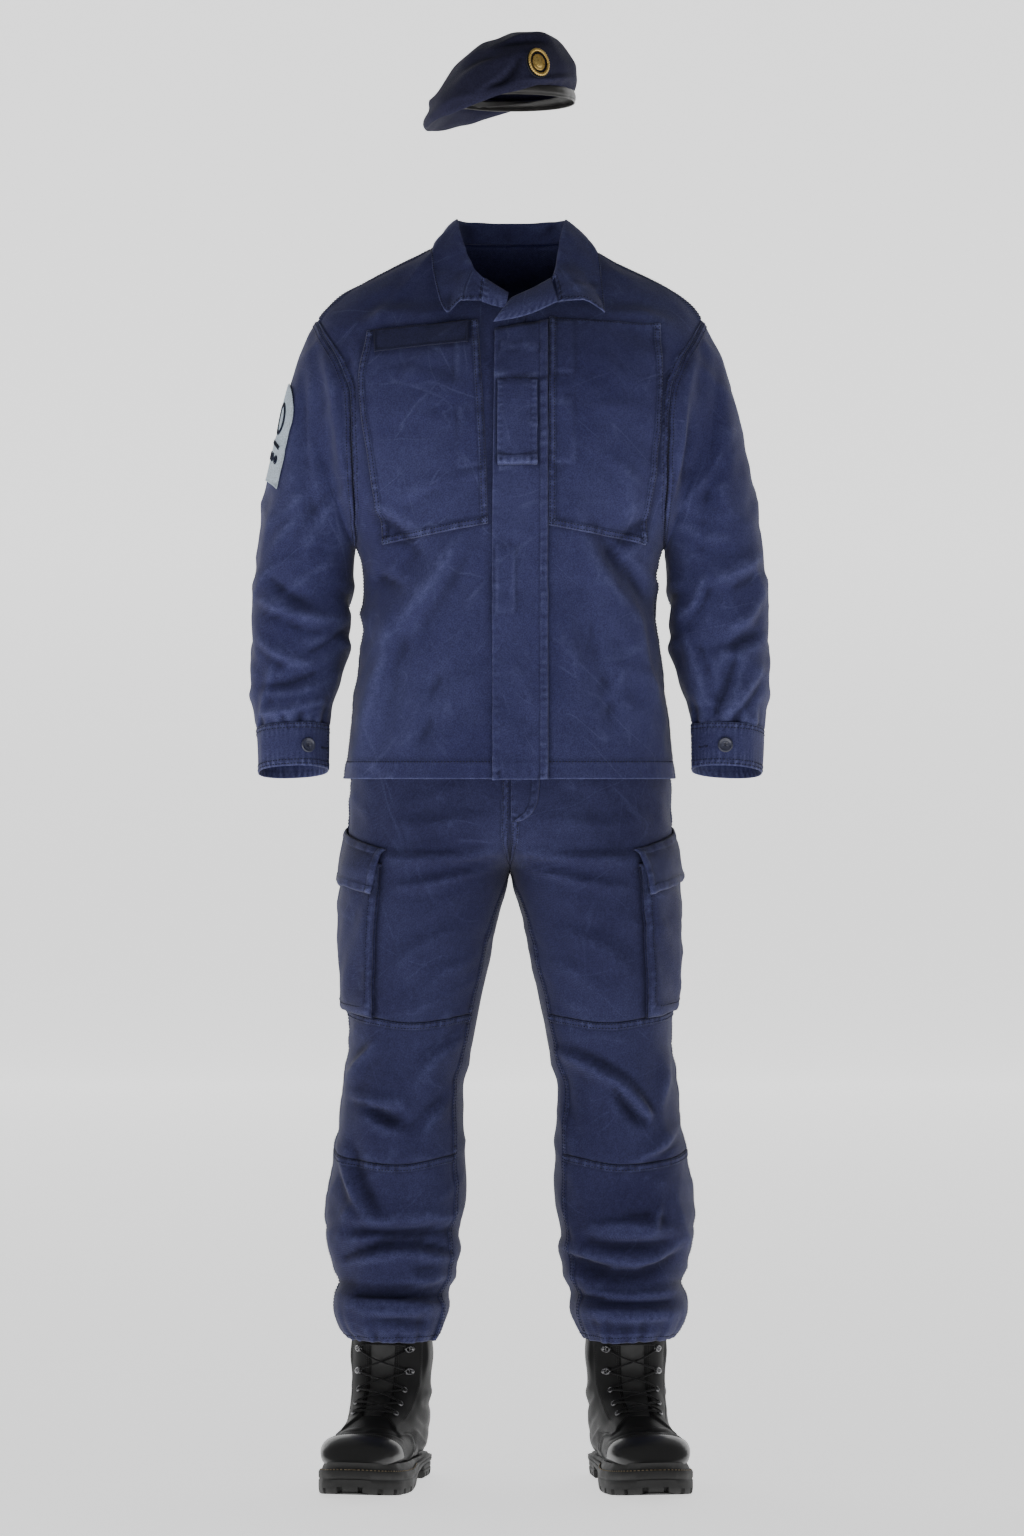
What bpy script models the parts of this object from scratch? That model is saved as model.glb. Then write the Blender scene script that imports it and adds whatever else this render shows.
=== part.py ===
"""Naval working uniform: jacket, trousers, beret and boots, worn by nobody.

Every cloth piece is an open surface with a wall. Garment surfaces are worked
out from tables of sections: one row for each height or station, in metres.
Heights are above the soles, +X is the wearer's left and -Y is the front. An
empty at the wearer's shoulders carries everything, and it is the origin.
"""
import math

import bpy
import numpy as np

HOLD_HEIGHT = 1.45      # the wearer's shoulders carry the jacket here
CLOTH = 0.0018          # thickness of a cloth panel
DOUBLE_CLOTH = 0.0026   # a piece sewn from two layers
LEATHER = 0.0025
SEAM_GAP = 0.0003       # between two panels at a seam
WALL_GAP = 0.0008       # between the edges of two walls that turn a corner
PATCH_LIFT = 0.0013     # a coarse patch over a coarse panel
POCKET_LIFT = 0.0021    # a large patch over the curve of the chest
LAYER_STEP = DOUBLE_CLOTH + PATCH_LIFT

MATERIALS = {           # colour, roughness, metallic
    "jacket_cloth": ((0.045, 0.055, 0.135), 0.85, 0.0),
    "trouser_cloth": ((0.026, 0.030, 0.080), 0.85, 0.0),
    "badge_cloth": ((0.70, 0.78, 0.88), 0.8, 0.0),
    "button_plastic": ((0.030, 0.036, 0.078), 0.45, 0.0),
    "beret_wool": ((0.014, 0.015, 0.035), 0.95, 0.0),
    "beret_leather": ((0.012, 0.012, 0.013), 0.4, 0.0),
    "badge_metal": ((0.75, 0.53, 0.18), 0.35, 1.0),
    "badge_backing": ((0.008, 0.009, 0.014), 0.8, 0.0),
    "boot_leather": ((0.010, 0.010, 0.010), 0.25, 0.0),
    "boot_rubber": ((0.018, 0.018, 0.018), 0.7, 0.0),
    "lace_cord": ((0.010, 0.010, 0.010), 0.8, 0.0),
}


class Table:
    """Rows of named columns, read smoothly between rows by the first column."""

    def __init__(self, columns, rows):
        self.columns = columns.split()
        self.rows = np.array(rows, dtype=float)

    def read(self, name, where):
        known = self.rows[:, 0]
        value = self.rows[:, self.columns.index(name)]
        secant = np.diff(value) / np.diff(known)
        slope = np.concatenate(([secant[0]], np.zeros(len(value) - 2), [secant[-1]]))
        left, right = secant[:-1], secant[1:]
        same_way = left * right > 0
        total = np.where(same_way, left + right, 1.0)
        slope[1:-1] = np.where(same_way, 2 * left * right / total, 0.0)
        where = np.asarray(where, dtype=float)
        row = np.clip(np.searchsorted(known, where, side="right") - 1, 0, len(known) - 2)
        step = known[row + 1] - known[row]
        t = np.clip((where - known[row]) / step, -0.2, 1.2)
        return ((1 + 2 * t) * (1 - t) ** 2 * value[row] + t * (1 - t) ** 2 * step * slope[row]
                + t * t * (3 - 2 * t) * value[row + 1] + t * t * (t - 1) * step * slope[row + 1])

    def read_all(self, where):
        return [self.read(name, where) for name in self.columns[1:]]


def rounded(value, exponent):
    """A sine or cosine pushed towards the corners of its section."""
    return np.sign(value) * np.abs(value) ** (2.0 / exponent)


def stacked(x, y, z):
    return np.stack(np.broadcast_arrays(x, y, z), axis=-1)


# ---------------------------------------------------------------- folds
# A fold runs from (across_0, height_0) to (across_1, height_1) as seen in one
# view. A positive size is a ridge, a negative one a trough.
VIEW_DIRECTION = {"front": (0, -1), "back": (0, 1), "outer": (1, 0), "inner": (-1, 0)}


def normal_of(surface, u, v):
    along_u = surface(u + 0.5, v) - surface(u - 0.5, v)
    along_v = surface(u, v + 0.002) - surface(u, v - 0.002)
    normal = np.cross(along_u, along_v)
    return normal / np.maximum(np.linalg.norm(normal, axis=-1, keepdims=True), 1e-12)


def fold_height(point, normal, folds):
    """How far the folds push each point of a surface out along its normal."""
    total = np.zeros(point.shape[:-1])
    for view, across_0, height_0, across_1, height_1, width, size in folds:
        facing_x, facing_y = VIEW_DIRECTION[view]
        facing = np.clip((normal[..., 0] * facing_x + normal[..., 1] * facing_y) * 1.6, 0, 1)
        across = point[..., 0] if facing_x == 0 else point[..., 1]
        run = np.array([across_1 - across_0, height_1 - height_0])
        length = math.hypot(*run)
        from_start = np.stack([across - across_0, point[..., 2] - height_0], axis=-1)
        along = np.clip(from_start @ run / length ** 2, 0, 1)
        nearest = np.stack([across_0 + along * run[0], height_0 + along * run[1]], axis=-1)
        away = np.hypot(across - nearest[..., 0], point[..., 2] - nearest[..., 1])
        total += size * facing * np.exp(-(away / width) ** 2) * (0.35 + 0.65 * np.sin(np.pi * along))
    return total


def folded(surface, folds):
    def with_folds(u, v):
        point = surface(u, v)
        normal = normal_of(surface, u, v)
        return point + normal * fold_height(point, normal, folds)[..., None]
    return with_folds


# ---------------------------------------------------------------- jacket body
TORSO = Table("height half_width front back exponent", [
    (0.885, 0.2080, -0.142, 0.132, 2.4),
    (0.930, 0.2030, -0.141, 0.129, 2.4),
    (0.975, 0.1980, -0.140, 0.125, 2.4),
    (1.050, 0.1890, -0.139, 0.118, 2.4),
    (1.125, 0.1810, -0.141, 0.114, 2.4),
    (1.180, 0.1935, -0.143, 0.120, 2.4),
    (1.260, 0.2350, -0.145, 0.131, 2.5),
    (1.350, 0.2580, -0.140, 0.139, 2.5),
    (1.410, 0.2580, -0.124, 0.134, 2.5),
    (1.450, 0.2500, -0.102, 0.121, 2.4),
    (1.466, 0.2450, -0.092, 0.113, 2.3),
    (1.492, 0.2220, -0.074, 0.099, 2.2),
    (1.518, 0.1800, -0.060, 0.087, 2.1),
    (1.543, 0.1290, -0.050, 0.076, 2.0),
    (1.572, 0.0720, -0.040, 0.064, 2.0),
])
ARMPIT_HEIGHT = 1.180
SHOULDER_HEIGHT = 1.466
NECK_BACK_HEIGHT = 1.566
FORWARD_SEAM_ANGLE = 80.0   # the shoulder seam lies ahead of the ridge
TORSO_SIDE_CLEAR = 0.0005   # half the gap at a side seam
LEG_SIDE_CLEAR = 0.0009
EDGE_TURN = 0.30            # degrees either side of any other seam of the body
LEG_EDGE_TURN = 0.55        # degrees either side of an inseam
ARMHOLE = Table("height across", [
    (1.180, 0.1935), (1.250, 0.1960), (1.370, 0.2025), (1.410, 0.2150), (1.440, 0.2320), (1.466, 0.2450),
])
# the neckline runs down to the throat at the front
NECKLINE = Table("height across", [
    (1.478, 0.000), (1.488, 0.022), (1.500, 0.040), (1.515, 0.052), (1.535, 0.062), (1.552, 0.069),
    (1.566, 0.074),
])

TORSO_FOLDS = [
    # view, across_0, height_0, across_1, height_1, width, size
    ("front", -0.085, 1.175, -0.135, 1.090, 0.032, 0.0112),
    ("front", -0.135, 1.100, -0.185, 0.930, 0.032, 0.0094),
    ("front", 0.118, 1.180, 0.160, 1.070, 0.032, 0.0112),
    ("front", 0.155, 1.090, 0.192, 0.960, 0.032, 0.0094),
    ("front", -0.165, 1.200, -0.120, 1.150, 0.029, -0.0094),
    ("front", 0.165, 1.205, 0.120, 1.150, 0.029, -0.0094),
    ("front", -0.075, 1.020, -0.110, 0.920, 0.032, -0.0056),
    ("front", 0.090, 1.060, 0.110, 0.930, 0.035, -0.0056),
    ("back", -0.160, 1.280, -0.060, 1.130, 0.048, 0.0112),
    ("back", 0.160, 1.270, 0.070, 1.110, 0.048, 0.0112),
    ("back", -0.120, 1.090, -0.060, 0.940, 0.045, -0.0094),
    ("back", 0.110, 1.100, 0.080, 0.930, 0.045, -0.0094),
    ("back", -0.090, 1.420, 0.080, 1.400, 0.040, 0.0056),
]


def plain_torso(angle, height):
    """A point of the jacket's body: angle 0 is the front, 90 is the wearer's left."""
    half_width, front, back, exponent = TORSO.read_all(height)
    sine = np.sin(np.radians(angle))
    cosine = np.cos(np.radians(angle))
    middle = (front + back) / 2
    depth = (back - front) / 2
    return stacked(half_width * rounded(sine, exponent), middle - depth * rounded(cosine, exponent), height)


torso = folded(plain_torso, TORSO_FOLDS)


def torso_angle(across, height):
    """The angle at which the front of the body is this far from the middle."""
    half_width, exponent = TORSO.read("half_width", height), TORSO.read("exponent", height)
    share = np.clip(np.abs(across) / half_width, 0, 1)
    return np.sign(across) * np.degrees(np.arcsin(share ** (exponent / 2)))


def on_torso_front(across, height):
    return torso_angle(across, height), height


def armhole_angle(height):
    """Where the front panel ends at this height: side seam, armhole or shoulder seam."""
    height = np.asarray(height, dtype=float)
    angle = torso_angle(ARMHOLE.read("across", np.clip(height, ARMPIT_HEIGHT, SHOULDER_HEIGHT)), height)
    return np.where(height <= ARMPIT_HEIGHT, 90.0, angle)


# ---------------------------------------------------------------- sleeves
# outer and inner are the two ends of each section as seen from the front
SLEEVE = Table("station outer_x outer_z inner_x inner_z middle_y half_depth exponent front_rise", [
    (0, 0.2450, 1.466, 0.1945, 1.180, 0.010, 0.085, 2.3, 0.000),
    (1, 0.2660, 1.425, 0.1960, 1.176, 0.010, 0.086, 2.3, 0.000),
    (2, 0.2830, 1.370, 0.1965, 1.171, 0.010, 0.086, 2.3, 0.000),
    (3, 0.2985, 1.303, 0.1970, 1.165, 0.010, 0.083, 2.3, 0.000),
    (4, 0.3115, 1.235, 0.1975, 1.155, 0.010, 0.079, 2.3, 0.000),
    (5, 0.3210, 1.170, 0.1980, 1.135, 0.010, 0.075, 2.3, 0.002),
    (6, 0.3260, 1.110, 0.2000, 1.095, 0.008, 0.072, 2.3, 0.004),
    (7, 0.3290, 1.055, 0.2050, 1.050, 0.004, 0.069, 2.3, 0.006),
    (8, 0.3280, 1.010, 0.2135, 1.010, -0.002, 0.065, 2.3, 0.008),
    (9, 0.3235, 0.972, 0.2260, 0.975, -0.008, 0.060, 2.3, 0.008),
    (10, 0.3195, 0.946, 0.2300, 0.950, -0.012, 0.056, 2.3, 0.008),
])
CUFF = Table("station outer_x outer_z inner_x inner_z middle_y half_depth exponent front_rise", [
    (0, 0.3195, 0.9455, 0.2300, 0.9495, -0.012, 0.0560, 2.3, 0.008),
    (1, 0.3185, 0.9200, 0.2298, 0.9230, -0.016, 0.0545, 2.3, 0.008),
    (2, 0.3178, 0.8930, 0.2296, 0.8970, -0.020, 0.0530, 2.3, 0.008),
])
ARMHOLE_EXPONENT = 2.3
ARMHOLE_GAP = 0.0009
ARMHOLE_BLEND = 1.6     # stations over which the armhole's loop becomes a section

SLEEVE_FOLDS = [
    ("front", 0.232, 1.420, 0.222, 1.240, 0.022, 0.0169),
    ("front", 0.262, 1.390, 0.245, 1.200, 0.026, -0.0112),
    ("front", 0.285, 1.230, 0.225, 1.170, 0.022, -0.0112),
    ("front", 0.215, 1.120, 0.290, 1.085, 0.022, 0.0112),
    ("front", 0.310, 1.120, 0.240, 1.050, 0.022, -0.0112),
    ("front", 0.235, 1.010, 0.300, 0.985, 0.019, 0.0094),
    ("outer", -0.050, 1.150, 0.060, 1.100, 0.026, 0.0075),
    ("outer", 0.050, 1.080, -0.040, 1.030, 0.024, -0.0075),
    ("back", 0.225, 1.400, 0.245, 1.220, 0.029, 0.0112),
    ("back", 0.210, 1.130, 0.300, 1.110, 0.022, 0.0112),
    ("back", 0.300, 1.080, 0.225, 1.050, 0.022, -0.0094),
]


def section_between(table, angle, station):
    """A section through two ends: angle 0 is the outer end, 90 the front, 180 the inner end."""
    outer_x, outer_z, inner_x, inner_z, middle_y, half_depth, exponent, front_rise = table.read_all(station)
    across = rounded(np.cos(np.radians(angle)), exponent)
    forward = rounded(np.sin(np.radians(angle)), exponent)
    x = (outer_x + inner_x) / 2 + across * (outer_x - inner_x) / 2
    z = (outer_z + inner_z) / 2 + across * (outer_z - inner_z) / 2
    return stacked(x, middle_y - forward * half_depth, z + forward * front_rise)


def armhole_loop(angle):
    """The jacket body's open edge that the sleeve is sewn to."""
    share = (1 + rounded(np.cos(np.radians(angle)), ARMHOLE_EXPONENT)) / 2
    height = ARMPIT_HEIGHT + share * (SHOULDER_HEIGHT - ARMPIT_HEIGHT)
    body_angle = armhole_angle(height)
    front_side = np.sin(np.radians(angle)) >= 0
    point = torso(np.where(front_side, body_angle, 180 - body_angle), height)
    point[..., 0] += ARMHOLE_GAP
    return point


def plain_sleeve(angle, station):
    section = section_between(SLEEVE, angle, station)
    share = np.clip(1 - np.asarray(station, dtype=float) / ARMHOLE_BLEND, 0, 1)
    share = (share * share * (3 - 2 * share))[..., None]
    loop = armhole_loop(np.broadcast_to(angle, section.shape[:-1]))
    drift = section - section_between(SLEEVE, angle, np.zeros_like(section[..., 0]))
    return section * (1 - share) + (loop + drift) * share


sleeve = folded(plain_sleeve, SLEEVE_FOLDS)


def cuff(angle, station):
    return section_between(CUFF, angle, station)


# ---------------------------------------------------------------- trousers
LEG = Table("height outer inner front back exponent", [
    (0.1780, 0.2040, 0.0920, -0.072, 0.074, 2.1),
    (0.1950, 0.2175, 0.0830, -0.083, 0.086, 2.1),
    (0.2180, 0.2245, 0.0760, -0.090, 0.094, 2.1),
    (0.2340, 0.2240, 0.0770, -0.090, 0.095, 2.1),
    (0.2520, 0.2185, 0.0700, -0.084, 0.090, 2.1),
    (0.2710, 0.2230, 0.0675, -0.086, 0.092, 2.1),
    (0.2900, 0.2290, 0.0620, -0.091, 0.097, 2.1),
    (0.3150, 0.2345, 0.0615, -0.092, 0.099, 2.1),
    (0.3660, 0.2300, 0.0550, -0.090, 0.100, 2.1),
    (0.4040, 0.2235, 0.0565, -0.092, 0.098, 2.1),
    (0.4420, 0.2195, 0.0575, -0.094, 0.096, 2.1),
    (0.4990, 0.2100, 0.0600, -0.096, 0.094, 2.1),
    (0.5370, 0.2045, 0.0505, -0.097, 0.096, 2.1),
    (0.5750, 0.2040, 0.0430, -0.099, 0.100, 2.2),
    (0.6130, 0.2065, 0.0360, -0.103, 0.104, 2.2),
    (0.6500, 0.2080, 0.0270, -0.107, 0.109, 2.2),
    (0.6890, 0.2085, 0.0200, -0.111, 0.115, 2.2),
    (0.7270, 0.2075, 0.0100, -0.115, 0.122, 2.2),
    (0.7520, 0.2060, 0.0030, -0.117, 0.126, 2.2),
    (0.7720, 0.2050, 0.0000, -0.119, 0.129, 2.2),
    (0.7950, 0.2040, -0.0300, -0.121, 0.130, 2.2),
    (0.8150, 0.2040, -0.0750, -0.123, 0.130, 2.2),
    (0.8450, 0.2035, -0.1350, -0.125, 0.129, 2.3),
    (0.8800, 0.2020, -0.1750, -0.126, 0.126, 2.3),
    (0.9400, 0.1900, -0.1880, -0.124, 0.118, 2.3),
    (1.0400, 0.1620, -0.1620, -0.112, 0.104, 2.3),
])
CROTCH_HEIGHT = 0.772
WAIST_SEAM_HEIGHT = 1.000
WAIST_TOP_HEIGHT = 1.040
LEG_HEM_HEIGHT = 0.179
UPPER_KNEE_SEAM = 0.590
LOWER_KNEE_SEAM = 0.412
INSEAM_WRAP = Table("height degrees", [
    (0.178, 24.0), (0.300, 26.0), (0.420, 30.0), (0.560, 24.0), (0.700, 6.0), (0.772, 0.0), (1.040, 0.0),
])

LEG_FOLDS = [
    ("front", 0.172, 0.470, 0.138, 0.452, 0.022, -0.0150),
    ("front", 0.196, 0.408, 0.176, 0.328, 0.022, -0.0112),
    ("front", 0.200, 0.318, 0.075, 0.304, 0.021, -0.0150),
    ("front", 0.196, 0.264, 0.080, 0.262, 0.018, -0.0131),
    ("front", 0.205, 0.236, 0.090, 0.238, 0.018, 0.0094),
    ("front", 0.120, 0.700, 0.050, 0.600, 0.032, 0.0075),
    ("front", 0.070, 0.560, 0.110, 0.480, 0.029, 0.0094),
    ("front", 0.090, 0.400, 0.150, 0.350, 0.029, 0.0112),
    ("back", 0.070, 0.560, 0.190, 0.540, 0.026, 0.0112),
    ("back", 0.080, 0.520, 0.180, 0.500, 0.026, -0.0112),
    ("back", 0.190, 0.400, 0.080, 0.360, 0.029, 0.0112),
    ("back", 0.075, 0.310, 0.200, 0.300, 0.022, -0.0131),
    ("back", 0.050, 0.760, 0.160, 0.730, 0.029, -0.0094),
]


def plain_leg(angle, height):
    """A point of the wearer's left leg: angle 0 is the front, 90 the outer side, -90 the inner."""
    outer, inner, front, back, exponent = LEG.read_all(height)
    across = rounded(np.sin(np.radians(angle)), exponent)
    forward = rounded(np.cos(np.radians(angle)), exponent)
    return stacked((outer + inner) / 2 + across * (outer - inner) / 2,
                   (front + back) / 2 - forward * (back - front) / 2, height)


leg = folded(plain_leg, LEG_FOLDS)


def leg_angle(across, height):
    """The angle at which the front of the leg is this far from the body's middle."""
    outer, inner = LEG.read("outer", height), LEG.read("inner", height)
    share = np.clip((across - (outer + inner) / 2) / ((outer - inner) / 2), -1, 1)
    return np.sign(share) * np.degrees(np.arcsin(np.abs(share) ** (LEG.read("exponent", height) / 2)))


def on_leg_front(across, height):
    return leg_angle(across, height), height


def leg_inner_edge(height):
    """The inseam below the crotch, and the middle seam above it."""
    height = np.asarray(height, dtype=float)
    return np.where(height > CROTCH_HEIGHT, leg_angle(SEAM_GAP, height),
                    -90 + INSEAM_WRAP.read("degrees", height))


def leg_back_inner_edge(height):
    height = np.asarray(height, dtype=float)
    return np.where(height > CROTCH_HEIGHT, 180 - leg_angle(SEAM_GAP, height),
                    270 + INSEAM_WRAP.read("degrees", height))


# ---------------------------------------------------------------- beret
# left_x, left_z and right_x, right_z are a ring's ends as seen from the front
BERET = Table("station right_x right_z left_x left_z middle_y half_depth exponent front_rise", [
    (0.0, 0.0810, 1.7550, -0.0730, 1.7550, 0.000, 0.0970, 2.1, 0.000),
    (1.0, 0.0835, 1.7640, -0.0880, 1.7300, 0.000, 0.1030, 2.1, 0.000),
    (2.0, 0.0850, 1.7730, -0.1030, 1.7160, 0.002, 0.1110, 2.2, 0.000),
    (3.0, 0.0845, 1.7860, -0.1065, 1.7220, 0.004, 0.1150, 2.2, 0.002),
    (4.0, 0.0750, 1.8040, -0.0930, 1.7500, 0.006, 0.1080, 2.2, 0.006),
    (5.0, 0.0600, 1.8210, -0.0690, 1.7860, 0.008, 0.0850, 2.2, 0.006),
    (6.0, 0.0430, 1.8290, -0.0430, 1.8080, 0.008, 0.0560, 2.1, 0.003),
    (7.0, 0.0230, 1.8310, -0.0120, 1.8240, 0.008, 0.0200, 2.0, 0.001),
])
BERET_BAND = Table("station right_x right_z left_x left_z middle_y half_depth exponent front_rise", [
    (0.0, 0.0815, 1.7415, -0.0735, 1.7415, 0.000, 0.0975, 2.1, 0.000),
    (1.0, 0.0810, 1.7545, -0.0730, 1.7545, 0.000, 0.0970, 2.1, 0.000),
])


def beret(angle, station):
    return section_between(BERET, angle, station)


def beret_band(angle, station):
    return section_between(BERET_BAND, angle, station)


# ---------------------------------------------------------------- boots
# instep and heel are the two ends of each section in the boot's own profile:
# forward from the ankle's axis, and up from the floor
BOOT = Table("station instep heel instep_z heel_z half_width exponent", [
    (0.0, 0.051, -0.056, 0.235, 0.235, 0.0480, 2.2),
    (1.0, 0.050, -0.055, 0.190, 0.190, 0.0472, 2.2),
    (2.0, 0.051, -0.055, 0.150, 0.145, 0.0468, 2.2),
    (3.0, 0.060, -0.060, 0.124, 0.100, 0.0470, 2.2),
    (4.0, 0.082, -0.066, 0.105, 0.058, 0.0465, 2.3),
    (5.0, 0.108, -0.056, 0.091, 0.0300, 0.0450, 2.4),
    (6.0, 0.132, 0.010, 0.081, 0.0265, 0.0455, 2.5),
    (7.0, 0.155, 0.080, 0.076, 0.0265, 0.0490, 2.5),
    (8.0, 0.176, 0.130, 0.073, 0.0280, 0.0500, 2.5),
    (9.0, 0.196, 0.170, 0.064, 0.0300, 0.0450, 2.4),
    (10.0, 0.208, 0.198, 0.050, 0.0340, 0.0300, 2.2),
    (10.6, 0.211, 0.207, 0.043, 0.0380, 0.0120, 2.0),
])
SOLE = Table("forward inner_side outer_side low high", [
    (-0.0740, 0.0150, 0.0150, 0.0200, 0.0262),
    (-0.0700, 0.0280, 0.0280, 0.0190, 0.0262),
    (-0.0550, 0.0400, 0.0400, 0.0180, 0.0262),
    (-0.0100, 0.0430, 0.0420, 0.0175, 0.0262),
    (0.0400, 0.0430, 0.0450, 0.0120, 0.0262),
    (0.0900, 0.0520, 0.0530, 0.0020, 0.0262),
    (0.1300, 0.0560, 0.0570, 0.0000, 0.0275),
    (0.1700, 0.0530, 0.0540, 0.0010, 0.0300),
    (0.2000, 0.0420, 0.0420, 0.0035, 0.0330),
    (0.2150, 0.0280, 0.0270, 0.0060, 0.0350),
    (0.2200, 0.0140, 0.0140, 0.0080, 0.0360),
])
HEEL = Table("forward inner_side outer_side low high", [
    (-0.0735, 0.0140, 0.0140, 0.0000, 0.0195),
    (-0.0690, 0.0270, 0.0270, 0.0000, 0.0185),
    (-0.0550, 0.0385, 0.0385, 0.0000, 0.0175),
    (-0.0080, 0.0400, 0.0400, 0.0000, 0.0170),
])
BOOT_PLACES = {"left": (0.1470, 9.0), "right": (-0.1500, 12.0)}  # ankle across, toe-out degrees
ANKLE_Y = 0.004
UPPER_STATIONS = (0, 1, 2, 2.6, 3.2, 3.8, 4.4, 5, 6, 7, 8, 9, 10, 10.6)
UPPER_COLUMNS = 16
TOE_CAP_STATIONS = (8, 9, 10, 10.6)
LACE_ROW_STATIONS = (1.5, 2.3, 3.2, 4.0, 4.7)
LACE_HALF_SPREAD = 31.0     # degrees either side of the instep line
LACE_RADIUS = 0.0015


def boot_profile(angle, station):
    """A point of the upper in the boot's own frame: angle 0 is the instep, 180 the heel."""
    instep, heel, instep_z, heel_z, half_width, exponent = BOOT.read_all(station)
    forward_share = rounded(np.cos(np.radians(angle)), exponent)
    side_share = rounded(np.sin(np.radians(angle)), exponent)
    forward = (instep + heel) / 2 + forward_share * (instep - heel) / 2
    up = (instep_z + heel_z) / 2 + forward_share * (instep_z - heel_z) / 2
    return stacked(side_share * half_width, -forward, up)


def boot_upper(angle, station):
    return boot_profile(-np.asarray(angle, dtype=float), station)


# ---------------------------------------------------------------- making solids
def add_material(name):
    colour, roughness, metallic = MATERIALS[name]
    material = bpy.data.materials.new(name)
    material.use_nodes = True
    shader = material.node_tree.nodes["Principled BSDF"]
    shader.inputs["Base Color"].default_value = (*colour, 1.0)
    shader.inputs["Roughness"].default_value = roughness
    shader.inputs["Metallic"].default_value = metallic
    material.diffuse_color = (*colour, 1.0)
    return material


class Workshop:
    """Holds the collection, the carrying empty and the materials."""

    def __init__(self):
        for old in list(bpy.data.objects):
            bpy.data.objects.remove(old, do_unlink=True)
        self.collection = bpy.data.collections.new("naval_uniform")
        bpy.context.scene.collection.children.link(self.collection)
        self.holder = bpy.data.objects.new("uniform_hold_point", None)
        self.collection.objects.link(self.holder)
        self.holder.location = (0, 0, -HOLD_HEIGHT)
        self.materials = {name: add_material(name) for name in MATERIALS}

    def place(self, name, data, material):
        piece = bpy.data.objects.new(name, data)
        self.collection.objects.link(piece)
        piece.parent = self.holder
        data.materials.append(self.materials[material])
        return piece

    def mesh_piece(self, name, points, faces, material):
        mesh = bpy.data.meshes.new(name)
        mesh.from_pydata([tuple(map(float, point)) for point in points], [], faces)
        mesh.update()
        mesh.shade_smooth()
        return self.place(name, mesh, material)


def grid_faces(rows, columns, wraps, turned):
    """Quads over a grid of points; wraps joins the last column to the first."""
    faces = []
    for row in range(rows - 1):
        for column in range(columns if wraps else columns - 1):
            after = (column + 1) % columns
            face = (row * columns + column, row * columns + after,
                    (row + 1) * columns + after, (row + 1) * columns + column)
            faces.append(face[::-1] if turned else face)
    return faces


def add_wall(piece, thickness, outward):
    wall = piece.modifiers.new("wall", "SOLIDIFY")
    wall.thickness = thickness
    wall.offset = 1.0 if outward else -1.0
    wall.use_even_offset = False


def cloth_piece(shop, name, surface, u, v, side=1, lift=0.0, wall=CLOTH, outward=False,
                wraps=False, material="jacket_cloth"):
    """A wall over the grid of (u, v) on a surface; side -1 mirrors it to the other side."""
    u, v = np.broadcast_arrays(np.asarray(u, dtype=float), np.asarray(v, dtype=float))
    points = surface(u, v)
    if np.any(lift):
        points = points + lift * normal_of(surface, u, v)
    points = points * np.array([side, 1, 1])
    rows, columns = u.shape
    faces = grid_faces(rows, columns, wraps, turned=side < 0)
    piece = shop.mesh_piece(name, points.reshape(-1, 3), faces, material)
    add_wall(piece, wall, outward)
    return piece


def spread(low, high, columns):
    """Columns evenly spread from low to high, where each is one number for a row."""
    share = np.linspace(0, 1, columns)
    low, high = np.asarray(low, dtype=float), np.asarray(high, dtype=float)
    return low[:, None] + share[None, :] * (high - low)[:, None]


def four_sided(table, rows, columns, place):
    """Grid of surface coordinates inside an outline given by its two long edges."""
    share = np.linspace(0, 1, rows)
    x0, z0, x1, z1 = table.read_all(share)
    across, height = spread(x0, x1, columns), spread(z0, z1, columns)
    return place(across, height)


# ---------------------------------------------------------------- jacket pieces
FRONT_OVERLAP_X = 0.020     # the fronts meet here, under the placket
PLACKET = Table("share left_x left_z right_x right_z", [
    (0.0, -0.0205, 0.8890, 0.0440, 0.8890),
    (0.5, -0.0210, 1.1600, 0.0435, 1.1600),
    (1.0, -0.0185, 1.4430, 0.0445, 1.4560),
])
CHEST_POCKET_LEFT = Table("share inner_x inner_z outer_x outer_z", [
    (0.0, 0.0475, 1.2020, 0.1690, 1.1790),
    (0.4, 0.0475, 1.2900, 0.1840, 1.2800),
    (0.7, 0.0480, 1.3850, 0.1920, 1.3800),
    (1.0, 0.0490, 1.4540, 0.1860, 1.4420),
])
CHEST_POCKET_RIGHT = Table("share inner_x inner_z outer_x outer_z", [
    (0.0, 0.0270, 1.2020, 0.1590, 1.1780),
    (0.4, 0.0290, 1.2900, 0.1760, 1.2800),
    (0.7, 0.0350, 1.3850, 0.1880, 1.3800),
    (1.0, 0.0400, 1.4570, 0.1780, 1.4440),
])
NAME_TAPE = Table("share inner_x inner_z outer_x outer_z", [
    (0.0, 0.0520, 1.4280, 0.1680, 1.4165),
    (1.0, 0.0520, 1.4550, 0.1690, 1.4430),
])
RANK_TAB = Table("share left_x left_z right_x right_z", [
    (0.0, -0.0150, 1.2720, 0.0335, 1.2720),
    (1.0, -0.0150, 1.3820, 0.0345, 1.3820),
])
SLEEVE_BADGE = Table("station low_angle high_angle", [
    (1.75, 10.0, 40.0), (2.05, 2.0, 46.0), (2.75, 0.0, 47.0), (3.58, -2.0, 44.0),
])

PANEL_HEIGHTS = (0.886, 0.920, 0.955, 0.990, 1.025, 1.060, 1.092, 1.125, 1.155, 1.180, 1.215, 1.250, 1.285,
                 1.320, 1.355, 1.390, 1.422, 1.448)
YOKE_HEIGHTS = (1.466, 1.480, 1.498, 1.518, 1.538, 1.555)


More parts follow.
